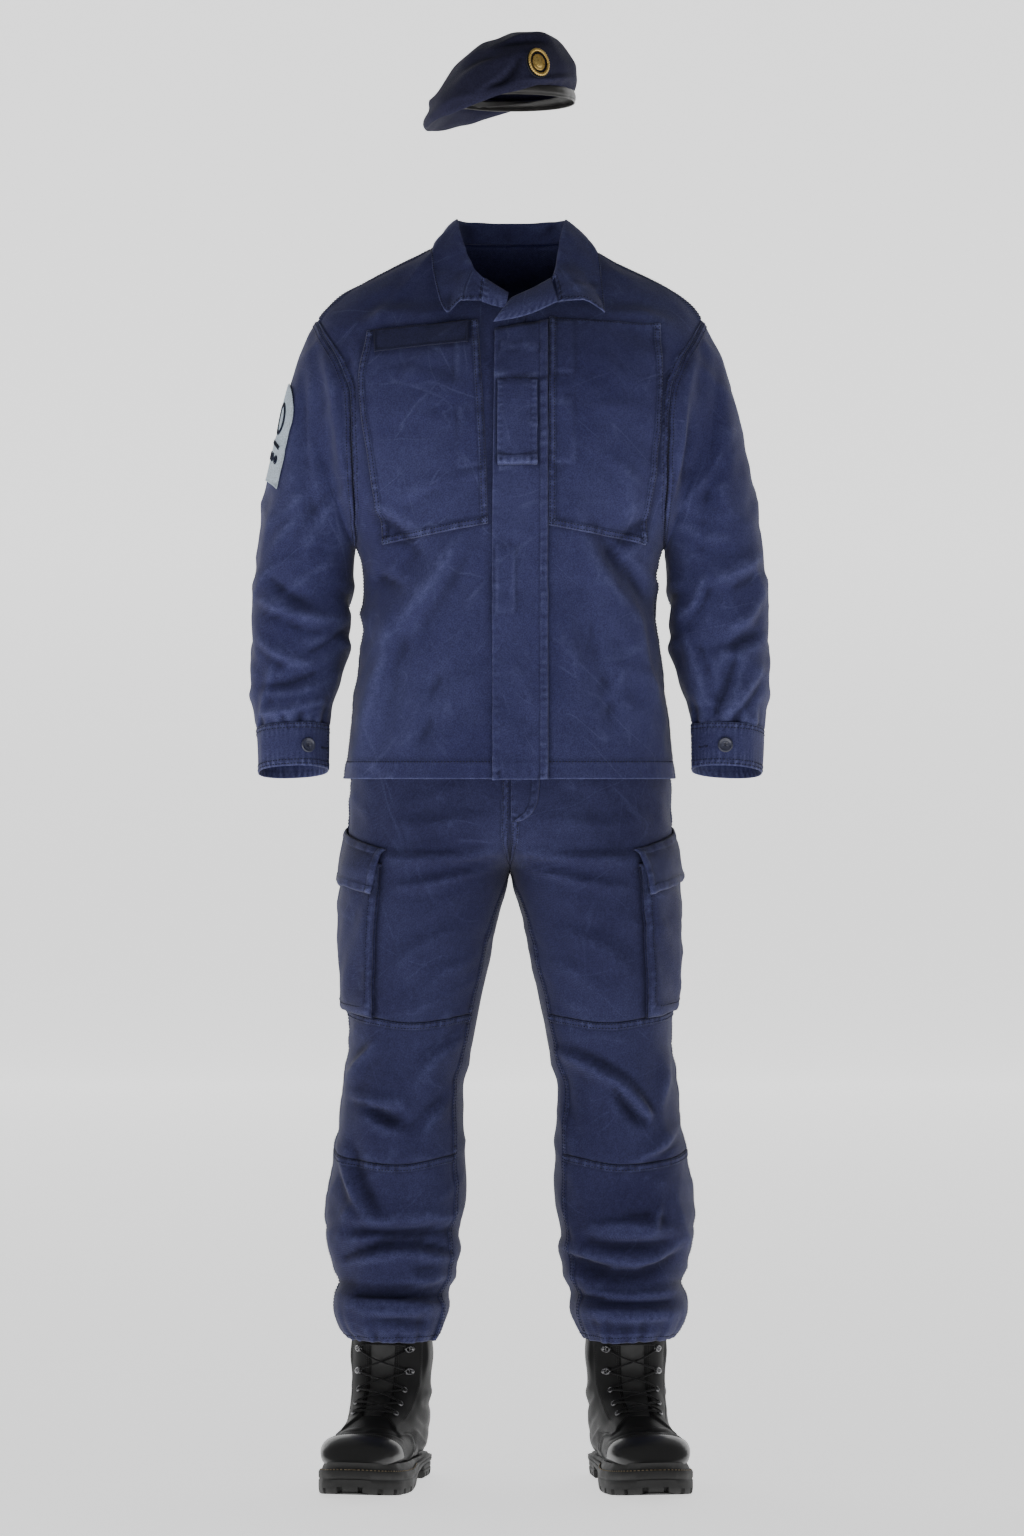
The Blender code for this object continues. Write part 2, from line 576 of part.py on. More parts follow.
def side_turn(table, heights, clear):
    """Degrees from the side at which a section lies this far in front of its middle."""
    front, back, exponent = (table.read(name, heights) for name in ("front", "back", "exponent"))
    return np.degrees(np.arcsin((2 * clear / (back - front)) ** (exponent / 2)))


def seam_turn(heights):
    return np.where(heights <= ARMPIT_HEIGHT, side_turn(TORSO, heights, TORSO_SIDE_CLEAR), EDGE_TURN)


def front_panel(shop, name, side, edge_x):
    """A front, from the placket's line to the side seam, armhole and shoulder seam."""
    heights = np.array(PANEL_HEIGHTS + YOKE_HEIGHTS)
    outer = np.where(heights >= SHOULDER_HEIGHT, FORWARD_SEAM_ANGLE, armhole_angle(heights))
    outer = outer - seam_turn(heights)
    inner = torso_angle(np.full_like(heights, edge_x), heights)
    neck = torso_angle(NECKLINE.read("across", np.maximum(heights, NECKLINE.rows[0, 0])), heights)
    inner = np.where(heights > NECKLINE.rows[0, 0], np.maximum(neck, inner), inner)
    cloth_piece(shop, name, side_torso(side), spread(inner, outer, 9), heights[:, None], side=side)


def side_torso(side):
    """The body's surface for one side; the folds stay on their own side."""
    def surface(angle, height):
        return torso(side * np.asarray(angle, dtype=float), height) * np.array([side, 1, 1])
    return surface


def back_panel(shop):
    heights = np.array(PANEL_HEIGHTS + YOKE_HEIGHTS + (NECK_BACK_HEIGHT,))
    low = np.where(heights >= SHOULDER_HEIGHT, FORWARD_SEAM_ANGLE, 180 - armhole_angle(heights))
    low = low + seam_turn(heights)
    cloth_piece(shop, "jacket_back", torso, spread(low, 360 - low, 14), heights[:, None])


def sleeve_angles():
    """The sleeve's columns start on the rows of the panels that it is sewn to."""
    heights = np.array([height for height in PANEL_HEIGHTS if height >= ARMPIT_HEIGHT] + [SHOULDER_HEIGHT])
    share = (heights - ARMPIT_HEIGHT) / (SHOULDER_HEIGHT - ARMPIT_HEIGHT) * 2 - 1
    cosine = np.sign(share) * np.abs(share) ** (ARMHOLE_EXPONENT / 2)
    front_half = np.degrees(np.arccos(cosine))[::-1]
    return np.concatenate((front_half, 360 - front_half[-2:0:-1]))


def sleeves(shop):
    stations = np.array([0, 0.5, 1, 1.6, 2.3, 3.0, 3.7, 4.4, 5.1, 5.8, 6.5, 7.2, 7.9, 8.6, 9.3, 10])
    angles = sleeve_angles()
    for word, side in (("left", 1), ("right", -1)):
        cloth_piece(shop, f"sleeve_{word}", sleeve, angles[None, :], stations[:, None], side=side, wraps=True)
        cloth_piece(shop, f"cuff_{word}", cuff, angles[None, :], CUFF.rows[:, :1], side=side, wraps=True,
                    wall=DOUBLE_CLOTH)
    station = SLEEVE_BADGE.rows[:, 0]
    patch = spread(SLEEVE_BADGE.read("low_angle", station), SLEEVE_BADGE.read("high_angle", station), 5)
    cloth_piece(shop, "sleeve_badge", sleeve, patch, station[:, None], side=-1, lift=PATCH_LIFT + 0.0006,
                wall=0.0012, outward=True, material="badge_cloth")


def chest_details(shop):
    for word, side, table in (("left", 1, CHEST_POCKET_LEFT), ("right", -1, CHEST_POCKET_RIGHT)):
        u, v = four_sided(table, 8, 6, on_torso_front)
        cloth_piece(shop, f"chest_pocket_{word}", side_torso(side), u, v, side=side, lift=POCKET_LIFT,
                    wall=DOUBLE_CLOTH, outward=True)
    u, v = four_sided(PLACKET, 19, 4, on_torso_front)
    cloth_piece(shop, "front_placket", torso, u, v, lift=PATCH_LIFT, wall=DOUBLE_CLOTH, outward=True)
    u, v = four_sided(RANK_TAB, 4, 3, on_torso_front)
    cloth_piece(shop, "rank_tab", torso, u, v, lift=PATCH_LIFT + LAYER_STEP, wall=DOUBLE_CLOTH, outward=True)
    u, v = four_sided(NAME_TAPE, 2, 6, on_torso_front)
    cloth_piece(shop, "name_tape", side_torso(-1), u, v, side=-1, lift=POCKET_LIFT + DOUBLE_CLOTH + WALL_GAP,
                wall=0.0012, outward=True)


# The collar's stations run from its front end on one side round the neck to
# the other. root is sewn to the neckline, roll is the fold line, edge is free.
COLLAR = Table("station root_x root_y root_z roll_x roll_y roll_z edge_x edge_y edge_z", [
    (0.0, -0.0340, -0.0800, 1.4975, -0.0310, -0.0830, 1.5130, -0.0330, -0.0960, 1.4850),
    (1.0, -0.0500, -0.0640, 1.5170, -0.0450, -0.0690, 1.5300, -0.0590, -0.1060, 1.4850),
    (2.0, -0.0600, -0.0460, 1.5380, -0.0560, -0.0470, 1.5580, -0.0780, -0.1120, 1.4690),
    (3.0, -0.0680, -0.0180, 1.5600, -0.0640, -0.0180, 1.5860, -0.0940, -0.0800, 1.5100),
    (3.5, -0.0715, -0.0010, 1.5670, -0.0650, 0.0010, 1.5940, -0.0990, -0.0420, 1.5480),
    (4.0, -0.0730, 0.0180, 1.5685, -0.0660, 0.0200, 1.6010, -0.1020, 0.0100, 1.5670),
    (5.0, -0.0540, 0.0490, 1.5675, -0.0480, 0.0560, 1.6050, -0.0820, 0.0780, 1.5660),
    (6.0, 0.0000, 0.0625, 1.5675, 0.0000, 0.0690, 1.6060, 0.0000, 0.0960, 1.5600),
    (7.0, 0.0540, 0.0490, 1.5675, 0.0500, 0.0560, 1.6050, 0.0830, 0.0780, 1.5660),
    (8.0, 0.0730, 0.0180, 1.5685, 0.0690, 0.0200, 1.6010, 0.1050, 0.0100, 1.5640),
    (8.5, 0.0715, -0.0010, 1.5670, 0.0685, 0.0010, 1.5940, 0.1120, -0.0360, 1.5450),
    (9.0, 0.0680, -0.0180, 1.5600, 0.0670, -0.0180, 1.5860, 0.1150, -0.0680, 1.5130),
    (10.0, 0.0600, -0.0460, 1.5380, 0.0610, -0.0460, 1.5600, 0.1190, -0.1080, 1.4690),
    (11.0, 0.0530, -0.0620, 1.5170, 0.0580, -0.0660, 1.5340, 0.0900, -0.1160, 1.4850),
    (12.0, 0.0440, -0.0760, 1.4985, 0.0560, -0.0800, 1.5180, 0.0600, -0.1110, 1.4820),
])
COLLAR_WAYS = Table("way root roll edge", [
    (0.0, 1.0, 0.0, 0.0), (0.5, 0.45, 0.55, 0.0), (1.0, 0.02, 0.98, 0.0), (1.35, 0.0, 0.72, 0.28),
    (2.0, 0.0, 0.35, 0.65), (3.0, 0.0, 0.0, 1.0),
])


def collar(station, way):
    """A point of the collar; way 0 is the neckline, 1 the roll and 3 the free edge."""
    root_x, root_y, root_z, roll_x, roll_y, roll_z, edge_x, edge_y, edge_z = COLLAR.read_all(station)
    root, roll, edge = COLLAR_WAYS.read_all(way)
    return stacked(root * root_x + roll * roll_x + edge * edge_x,
                   root * root_y + roll * roll_y + edge * edge_y,
                   root * root_z + roll * roll_z + edge * edge_z)


# the turned top of each front: low edge lies on the chest, high edge is the fold at the throat
LAPEL_RIGHT = Table("share low_x low_y low_z high_x high_y high_z", [
    (0.0, -0.0325, -0.0970, 1.4830, -0.0300, -0.0800, 1.5120),
    (1.0, -0.0060, -0.1010, 1.4760, -0.0040, -0.0920, 1.4930),
])
LAPEL_LEFT = Table("share low_x low_y low_z high_x high_y high_z", [
    (0.0, -0.0190, -0.1210, 1.4580, 0.0050, -0.1010, 1.4850),
    (1.0, 0.0560, -0.1110, 1.4795, 0.0512, -0.0787, 1.5115),
])


def collar_and_lapels(shop):
    stations = np.linspace(0, 12, 23)
    ways = np.array([0, 0.9, 1.15, 2.0, 3.0])
    cloth_piece(shop, "collar", collar, stations[:, None], ways[None, :], wall=DOUBLE_CLOTH, outward=True)
    for name, table in (("lapel_right", LAPEL_RIGHT), ("lapel_left", LAPEL_LEFT)):
        share = np.linspace(0, 1, 6)
        x0, y0, z0, x1, y1, z1 = table.read_all(share)
        ends = np.stack([np.stack([x0, y0, z0], -1), np.stack([x1, y1, z1], -1)], 0)
        ways = np.linspace(0, 1, 4)[:, None, None]
        points = ends[0] * (1 - ways) + ends[1] * ways
        faces = grid_faces(4, 6, False, False)
        piece = shop.mesh_piece(name, points.reshape(-1, 3), faces, "jacket_cloth")
        add_wall(piece, DOUBLE_CLOTH, True)


# ---------------------------------------------------------------- trouser pieces
THIGH_HEIGHTS = (0.5905, 0.625, 0.660, 0.695, 0.730, 0.755, 0.772, 0.788, 0.806, 0.830, 0.860, 0.900, 0.950,
                 0.9995)
KNEE_HEIGHTS = (0.4125, 0.440, 0.470, 0.500, 0.530, 0.560, 0.5898)
SHIN_HEIGHTS = (0.179, 0.197, 0.218, 0.235, 0.252, 0.270, 0.291, 0.315, 0.340, 0.365, 0.390, 0.4118)
BACK_HEIGHTS = SHIN_HEIGHTS + (0.440, 0.470, 0.500, 0.530, 0.560, 0.590) + THIGH_HEIGHTS[1:]
CARGO_POCKET = Table("share height_low_angle height_high_angle low_angle high_angle lift", [
    (0.0, 0.588, 0.605, 28.5, 140.0, 0.0017), (0.5, 0.690, 0.700, 28.5, 140.0, 0.0019),
    (1.0, 0.776, 0.796, 28.5, 138.0, 0.0024),
])
CARGO_FLAP = Table("share height_low_angle height_high_angle low_angle high_angle lift", [
    (0.0, 0.744, 0.772, 36.0, 148.0, 0.0116), (0.45, 0.767, 0.804, 35.5, 148.5, 0.0112),
    (0.75, 0.786, 0.828, 35.0, 149.0, 0.0092), (1.0, 0.797, 0.845, 34.5, 149.0, 0.0022),
])
CARGO_DEPTH = 0.0060        # the pocket stands off the leg by its pleat


def legs(shop):
    cargo_pieces = (("cargo_pocket", CARGO_POCKET, CARGO_DEPTH, np.linspace(0, 1, 7)),
                    ("cargo_flap", CARGO_FLAP, DOUBLE_CLOTH, CARGO_FLAP.rows[:, 0]))
    for word, side in (("left", 1), ("right", -1)):
        for name, heights in (("thigh_front", THIGH_HEIGHTS), ("knee_panel", KNEE_HEIGHTS),
                              ("shin_front", SHIN_HEIGHTS)):
            heights = np.array(heights)
            inner = leg_inner_edge(heights) + np.where(heights < CROTCH_HEIGHT + 0.02, LEG_EDGE_TURN, 0)
            cloth_piece(shop, f"{name}_{word}", leg,
                        spread(inner, 90 - side_turn(LEG, heights, LEG_SIDE_CLEAR), 8),
                        heights[:, None], side=side, material="trouser_cloth")
        heights = np.array(BACK_HEIGHTS)
        inner = leg_back_inner_edge(heights) - np.where(heights < CROTCH_HEIGHT + 0.02, LEG_EDGE_TURN, 0)
        cloth_piece(shop, f"leg_back_{word}", leg,
                    spread(90 + side_turn(LEG, heights, LEG_SIDE_CLEAR), inner, 8),
                    heights[:, None], side=side, material="trouser_cloth")
        for name, table, wall, share in cargo_pieces:
            low_z, high_z, low_angle, high_angle, lift = table.read_all(share)
            cloth_piece(shop, f"{name}_{word}", leg, spread(low_angle, high_angle, 9),
                        spread(low_z, high_z, 9), side=side, lift=lift[:, None, None], wall=wall,
                        outward=True, material="trouser_cloth")


def waist_surface(angle, height):
    """The waist as one ring: the two legs' surfaces, each on its own side."""
    wearer_left = np.sin(np.radians(angle)) >= 0
    own = plain_leg(np.where(wearer_left, angle, -np.asarray(angle)), height)
    own[..., 0] *= np.where(wearer_left, 1, -1)
    return own


def waist_pieces(shop):
    gap = 0.115             # degrees either side of the waistband's opening
    angles = np.linspace(-360 + 8 + gap, 8 - gap, 23)
    heights = np.array([WAIST_SEAM_HEIGHT, 1.020, WAIST_TOP_HEIGHT])
    cloth_piece(shop, "waistband", waist_surface, angles[None, :], heights[:, None], wall=DOUBLE_CLOTH,
                material="trouser_cloth")
    share = np.linspace(0, 1, 7)
    height = 0.836 + share * (0.995 - 0.836)
    left = np.full(7, 0.0015)
    right = np.array([0.010, 0.025, 0.033, 0.035, 0.035, 0.035, 0.035])
    across = spread(left, right, 4)
    cloth_piece(shop, "fly", leg, leg_angle(across, height[:, None]), height[:, None] + 0 * across,
                lift=WALL_GAP, wall=DOUBLE_CLOTH, outward=True, material="trouser_cloth")


# ---------------------------------------------------------------- small round pieces
def disc(shop, name, radius, thickness, centre, normal, material, profile=None, steps=12):
    """A turned disc: the profile is (distance from the axis, height above the seat)."""
    if profile is None:
        rim = thickness * 0.35
        profile = [(0, thickness - rim * 0.6), (radius * 0.62, thickness - rim * 0.6),
                   (radius * 0.78, thickness), (radius, thickness - rim), (radius, 0.0), (0, 0)]
    points, faces = [], []
    ring_rows = profile[1:-1]
    points.append((0, 0, profile[0][1]))
    for distance, height in ring_rows:
        for step in range(steps):
            turn = 2 * math.pi * step / steps
            points.append((distance * math.cos(turn), distance * math.sin(turn), height))
    points.append((0, 0, profile[-1][1]))
    last = len(points) - 1
    for step in range(steps):
        after = (step + 1) % steps
        faces.append((0, 1 + step, 1 + after))
        for row in range(len(ring_rows) - 1):
            base = 1 + row * steps
            faces.append((base + step, base + steps + step, base + steps + after, base + after))
        base = 1 + (len(ring_rows) - 1) * steps
        faces.append((last, base + after, base + step))
    piece = shop.mesh_piece(name, points, faces, material)
    direction = np.asarray(normal, dtype=float)
    direction = direction / np.linalg.norm(direction)
    tilt = math.acos(direction[2])
    heading = math.atan2(direction[1], direction[0])
    piece.rotation_euler = (0, tilt, heading)
    piece.location = centre
    return piece


def seat(surface, u, v, side, lift):
    """The place and direction of something that sits on a surface."""
    u, v = np.array([float(u)]), np.array([float(v)])
    normal = normal_of(surface, u, v)[0] * np.array([side, 1, 1])
    return surface(u, v)[0] * np.array([side, 1, 1]) + lift * normal, normal


BUTTON_LIFT = 0.0004


def buttons(shop):
    for word, side, angle in (("left", 1, 92.0), ("right", -1, 112.0)):
        centre, normal = seat(cuff, angle, 0.85, side, BUTTON_LIFT)
        disc(shop, f"cuff_button_{word}", 0.0078, 0.0026, centre, normal, "button_plastic")
    centre, normal = seat(waist_surface, 1.0, 1.020, 1, 0.0)
    disc(shop, "waist_button", 0.0085, 0.0026, centre, normal, "button_plastic")


# ---------------------------------------------------------------- beret pieces
def beret_pieces(shop):
    angles = np.arange(0, 360, 360 / 20)
    stations = BERET.rows[:, 0]
    rings = beret(angles[None, :], stations[:, None])
    rows, columns = rings.shape[:2]
    points = list(rings.reshape(-1, 3)) + [(0.006, 0.008, 1.8305)]
    faces = grid_faces(rows, columns, True, True)
    centre = rows * columns
    last = (rows - 1) * columns
    faces += [(last + (column + 1) % columns, last + column, centre) for column in range(columns)]
    faces = [face[::-1] for face in faces]
    piece = shop.mesh_piece("beret_crown", points, flipped_if_inward(points, faces), "beret_wool")
    add_wall(piece, 0.0025, False)
    cloth = beret_band(angles[None, :], BERET_BAND.rows[:, 0][:, None])
    faces = grid_faces(2, columns, True, False)
    points = cloth.reshape(-1, 3)
    band = shop.mesh_piece("beret_band", points, flipped_if_inward(points, faces), "beret_leather")
    add_wall(band, 0.0025, False)


def flipped_if_inward(points, faces):
    """Turn the faces round if they look at the middle of the piece."""
    points = np.array([tuple(point) for point in points], dtype=float)
    middle = points.mean(axis=0)
    total = 0.0
    for face in faces:
        corner = points[list(face)]
        normal = np.cross(corner[1] - corner[0], corner[2] - corner[0])
        total += float(np.dot(normal, corner.mean(axis=0) - middle))
    return faces if total > 0 else [face[::-1] for face in faces]


BADGE_ANGLE = 62.0          # on the crown, towards the wearer's left
BADGE_STATION = 3.45
BADGE_BACKING = 0.0020      # thickness
BADGE_LIFT = -0.0010         # of the backing over the crown
BADGE_STRETCH = (1.30, 1.0, 1.0)


def badge(shop):
    """A plain oval ring round a domed centre, sat on the crown's front."""
    centre, inward = seat(beret, BADGE_ANGLE, BADGE_STATION, 1, 0.0)
    normal = -inward
    top = BADGE_LIFT + BADGE_BACKING + SEAM_GAP
    ring_radius, wire = 0.0135, 0.0016
    backing = disc(shop, "badge_backing", 0.0155, BADGE_BACKING, centre + BADGE_LIFT * normal, normal,
                   "badge_backing")
    middle = disc(shop, "badge_centre", 0.0080, 0.0028, centre + top * normal, normal, "badge_metal")
    bpy.ops.mesh.primitive_torus_add(major_radius=ring_radius, minor_radius=wire, major_segments=18,
                                     minor_segments=5)
    ring = bpy.context.object
    ring.name = ring.data.name = "badge_ring"
    for collection in list(ring.users_collection):
        collection.objects.unlink(ring)
    shop.collection.objects.link(ring)
    ring.parent = shop.holder
    ring.data.materials.append(shop.materials["badge_metal"])
    ring.location = centre + (top + wire) * normal
    ring.rotation_euler = backing.rotation_euler
    for piece in (backing, middle, ring):
        piece.scale = BADGE_STRETCH


# ---------------------------------------------------------------- boot pieces
def side_plate(shop, name, table, places, material):
    """A sole or heel: a closed loft of four-cornered sections along the foot."""
    points = []
    for forward in places:
        inner, outer, low, high = table.read_all(forward)
        taper = 0.96
        points += [(-inner * taper, -forward, low), (outer * taper, -forward, low), (outer, -forward, high),
                   (-inner, -forward, high)]
    faces = []
    for section in range(len(places) - 1):
        base = section * 4
        for corner in range(4):
            after = (corner + 1) % 4
            faces.append((base + corner, base + after, base + 4 + after, base + 4 + corner))
    last = (len(places) - 1) * 4
    faces += [(3, 2, 1, 0), (last, last + 1, last + 2, last + 3)]
    piece = shop.mesh_piece(name, points, flipped_if_inward(points, faces), material)
    piece.data.set_sharp_from_angle(angle=math.radians(35))
    return piece


def lace_route():
    """One lace laid from the top row down one side and back up the other."""
    def at(row, way):
        angle = way * LACE_HALF_SPREAD
        return boot_lift(angle, LACE_ROW_STATIONS[row], 0.0030)

    def crossing(row, share, way, high):
        angle = way * LACE_HALF_SPREAD * (1 - 2 * share)
        station = LACE_ROW_STATIONS[row] + share * (LACE_ROW_STATIONS[row + 1] - LACE_ROW_STATIONS[row])
        middle = 1 - abs(2 * share - 1)
        return boot_lift(angle, station, 0.0052 + middle * (0.0016 if not high else 0.0056))

    def leg_of_lace(way, high):
        route = [at(0, way)]
        for row in range(len(LACE_ROW_STATIONS) - 1):
            for share in (0.22, 0.5, 0.78):
                route.append(crossing(row, share, way, high))
            way = -way
            high = not high
            route.append(at(row + 1, way))
        return route, way

    down, way = leg_of_lace(1, True)
    up, _ = leg_of_lace(-1, False)
    bottom = [boot_lift(way * LACE_HALF_SPREAD * share, LACE_ROW_STATIONS[-1] + 0.12, 0.0040)
              for share in (0.4, -0.4)]
    return down + bottom + up[::-1]


def boot_lift(angle, station, lift):
    angle, station = np.array([float(angle)]), np.array([float(station)])
    point = boot_upper(angle, station)
    return (point + lift * normal_of(boot_upper, angle, station))[0]


def boots(shop):
    for word, (across, toe_out) in BOOT_PLACES.items():
        side = 1 if word == "left" else -1
        frame = bpy.data.objects.new(f"boot_frame_{word}", None)
        shop.collection.objects.link(frame)
        frame.parent = shop.holder
        frame.location = (across, ANKLE_Y, 0)
        frame.rotation_euler = (0, 0, math.radians(toe_out * side))
        made = []
        angles = np.arange(UPPER_COLUMNS) * 360 / UPPER_COLUMNS
        stations = np.array(UPPER_STATIONS)
        rings = boot_upper(angles[None, :], stations[:, None])
        rows, columns = rings.shape[:2]
        tip = rings[-1].mean(axis=0) + np.array([0, -0.002, 0])
        points = list(rings.reshape(-1, 3)) + [tip]
        faces = grid_faces(rows, columns, True, False)
        last = (rows - 1) * columns
        faces += [(last + column, last + (column + 1) % columns, rows * columns) for column in range(columns)]
        upper = shop.mesh_piece(f"boot_upper_{word}", points, flipped_if_inward(points, faces),
                                "boot_leather")
        add_wall(upper, LEATHER, False)
        made.append(upper)
        made.append(side_plate(shop, f"boot_sole_{word}", SOLE, SOLE.rows[:, 0], "boot_rubber"))
        made.append(side_plate(shop, f"boot_heel_{word}", HEEL, HEEL.rows[:, 0], "boot_rubber"))
        column = 360 / UPPER_COLUMNS
        made.append(leather_patch(shop, f"toe_cap_{word}", column * np.arange(-4, 5), TOE_CAP_STATIONS,
                                  0.0006, 0.0016))
        made.append(leather_patch(shop, f"boot_tongue_{word}", column * np.arange(-1, 2), UPPER_STATIONS[:7],
                                  0.0004, 0.0016))
        made.append(lace(shop, f"lace_{word}"))
        for piece in made:
            piece.parent = frame


def leather_patch(shop, name, angles, stations, lift, wall):
    angle, station = np.meshgrid(angles, stations)
    points = boot_upper(angle, station) + lift * normal_of(boot_upper, angle, station)
    rows, columns = angle.shape
    faces = grid_faces(rows, columns, False, False)
    piece = shop.mesh_piece(name, points.reshape(-1, 3), faces, "boot_leather")
    add_wall(piece, wall, True)
    return piece


def lace(shop, name):
    curve = bpy.data.curves.new(name, "CURVE")
    curve.dimensions = "3D"
    curve.bevel_depth = LACE_RADIUS
    curve.bevel_resolution = 1
    curve.use_fill_caps = True
    route = lace_route()
    spline = curve.splines.new("POLY")
    spline.points.add(len(route) - 1)
    for point, place in zip(spline.points, route):
        point.co = (*map(float, place), 1.0)
    return shop.place(name, curve, "lace_cord")


def main():
    shop = Workshop()
    front_panel(shop, "jacket_front_left", 1, FRONT_OVERLAP_X + SEAM_GAP)
    front_panel(shop, "jacket_front_right", -1, -FRONT_OVERLAP_X)
    back_panel(shop)
    sleeves(shop)
    chest_details(shop)
    collar_and_lapels(shop)
    legs(shop)
    waist_pieces(shop)
    buttons(shop)
    beret_pieces(shop)
    badge(shop)
    boots(shop)


main()
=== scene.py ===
"""Looks of a naval working uniform: jacket, trousers, beret and boots.

Every cloth panel is a fine grid on the garment's surface, with its own folds,
seams and stitches. Heights in the tables are above the soles; the frame's
origin is at the height of the jacket's shoulders.
"""
import math

import bmesh
import bpy
import numpy as np
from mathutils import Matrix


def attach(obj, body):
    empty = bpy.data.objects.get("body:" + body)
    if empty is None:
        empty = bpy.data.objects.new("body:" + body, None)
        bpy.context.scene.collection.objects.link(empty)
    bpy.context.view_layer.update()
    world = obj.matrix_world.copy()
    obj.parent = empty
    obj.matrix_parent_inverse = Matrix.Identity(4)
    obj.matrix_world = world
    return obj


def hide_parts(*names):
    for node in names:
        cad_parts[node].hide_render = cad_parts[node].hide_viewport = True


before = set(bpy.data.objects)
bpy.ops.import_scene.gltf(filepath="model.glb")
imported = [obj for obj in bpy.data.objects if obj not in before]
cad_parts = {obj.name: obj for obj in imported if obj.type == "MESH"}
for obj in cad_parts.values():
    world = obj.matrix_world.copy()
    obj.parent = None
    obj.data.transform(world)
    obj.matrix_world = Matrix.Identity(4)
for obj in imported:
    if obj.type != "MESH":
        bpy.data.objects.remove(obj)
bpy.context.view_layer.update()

HOLD_HEIGHT = 1.45      # the set is held up at the jacket's shoulders
CLOTH = 0.0009          # thickness of one layer of twill
DOUBLE_CLOTH = 0.0014   # a piece sewn from two layers
LEATHER = 0.0022
GRID = 0.0054           # spacing of a panel's points
FINE_GRID = 0.0016      # the same beside a seam
SEAM_REACH = 0.0128     # how far in from a seam the fine spacing goes
LAP = 0.0085            # width of a lapped seam
HEM_DEPTH = 0.024       # of the jacket's and the placket's turned hem
LAP_ROWS = (0.0024, 0.0074)     # both rows of stitches in a lap, from its edge
HEM_ROW = (0.0215,)
BOOT_HEM_ROW = (0.0085,)        # of the trouser legs
STITCH_PITCH = 0.0040
STITCH_LENGTH = 0.0026
THREAD = 0.00068        # radius of a topstitch
SMALL = 1e-12
SIDES = (("left", 1), ("right", -1))


class Table:
    """Rows of named columns, read smoothly between rows by the first column."""

    def __init__(self, columns, rows):
        self.columns = columns.split()
        self.rows = np.array(rows, dtype=float)

    def read(self, name, where):
        known = self.rows[:, 0]
        value = self.rows[:, self.columns.index(name)]
        secant = np.diff(value) / np.diff(known)
        slope = np.concatenate(([secant[0]], np.zeros(len(value) - 2), [secant[-1]]))
        left, right = secant[:-1], secant[1:]
        same_way = left * right > 0
        total = np.where(same_way, left + right, 1.0)
        slope[1:-1] = np.where(same_way, 2 * left * right / total, 0.0)
        where = np.asarray(where, dtype=float)
        row = np.clip(np.searchsorted(known, where, side="right") - 1, 0, len(known) - 2)
        step = known[row + 1] - known[row]
        t = np.clip((where - known[row]) / step, -0.2, 1.2)
        return ((1 + 2 * t) * (1 - t) ** 2 * value[row] + t * (1 - t) ** 2 * step * slope[row]
                + t * t * (3 - 2 * t) * value[row + 1] + t * t * (t - 1) * step * slope[row + 1])

    def read_all(self, where):
        return [self.read(name, where) for name in self.columns[1:]]


def rounded(value, exponent):
    """A sine or cosine pushed towards the corners of its section."""
    return np.sign(value) * np.abs(value) ** (2.0 / exponent)


def stacked(x, y, z):
    return np.stack(np.broadcast_arrays(x, y, z), axis=-1)


def smooth(value, low, high):
    """0 below low, 1 above high and a soft step between them."""
    t = np.clip((value - low) / (high - low), 0, 1)
    return t * t * (3 - 2 * t)


def unit(vectors):
    return vectors / np.maximum(np.linalg.norm(vectors, axis=-1, keepdims=True), SMALL)


def bump_at(distance, width):
    return np.exp(-(distance / width) ** 2)


# ---------------------------------------------------------------- folds
# A fold runs from (across_0, height_0) to (across_1, height_1) as seen in one
# view, and bows to one side by bow. Its crest is sharper on one side, and a
# trough follows it. A positive size is a ridge, a negative one a trough.
FOLD_WIDTH = 0.78       # of the width in the tables
FOLD_SIZE = 1.45
VIEW_DIRECTION = {"front": (0, -1), "back": (0, 1), "outer": (1, 0), "inner": (-1, 0)}


def fold_height(point, normal, folds):
    """How far the folds push each point out."""
    total = np.zeros(point.shape[:-1])
    for view, across_0, height_0, across_1, height_1, bow, width, size in folds:
        facing_x, facing_y = VIEW_DIRECTION[view]
        facing = np.clip((normal[..., 0] * facing_x + normal[..., 1] * facing_y) * 1.6, 0, 1)
        across = point[..., 0] if facing_x == 0 else point[..., 1]
        run_x, run_z = across_1 - across_0, height_1 - height_0
        length = math.hypot(run_x, run_z)
        along_x, along_z = run_x / length, run_z / length
        from_x, from_z = across - across_0, point[..., 2] - height_0
        t = (from_x * along_x + from_z * along_z) / length
        aside = from_x * -along_z + from_z * along_x - bow * 4 * np.clip(t, 0, 1) * (1 - np.clip(t, 0, 1))
        beyond = np.maximum(np.maximum(-t, t - 1), 0) * length
        s = aside / (FOLD_WIDTH * width * (0.75 + 0.5 * np.clip(t, 0, 1)))
        r = np.where(s > 0, 1.7 * s, 0.80 * s)
        crest = (np.exp(-(r * r + 0.03) ** 0.66) - 0.26 * bump_at(s - 1.10, 0.60)
                 - 0.10 * bump_at(s + 1.9, 0.9))
        fade = bump_at(beyond, 1.2 * width) * (0.30 + 0.70 * np.sin(np.pi * np.clip(t * 0.9 + 0.05, 0, 1)))
        total += size * facing * crest * fade
    return FOLD_SIZE * total


def seen_from(view, rows):
    """Folds as one view shows them, in millimetres.

    A row is across_0, height_0, across_1, height_1, bow, width and size.
    """
    return [(view, *(value / 1000 for value in row)) for row in rows]


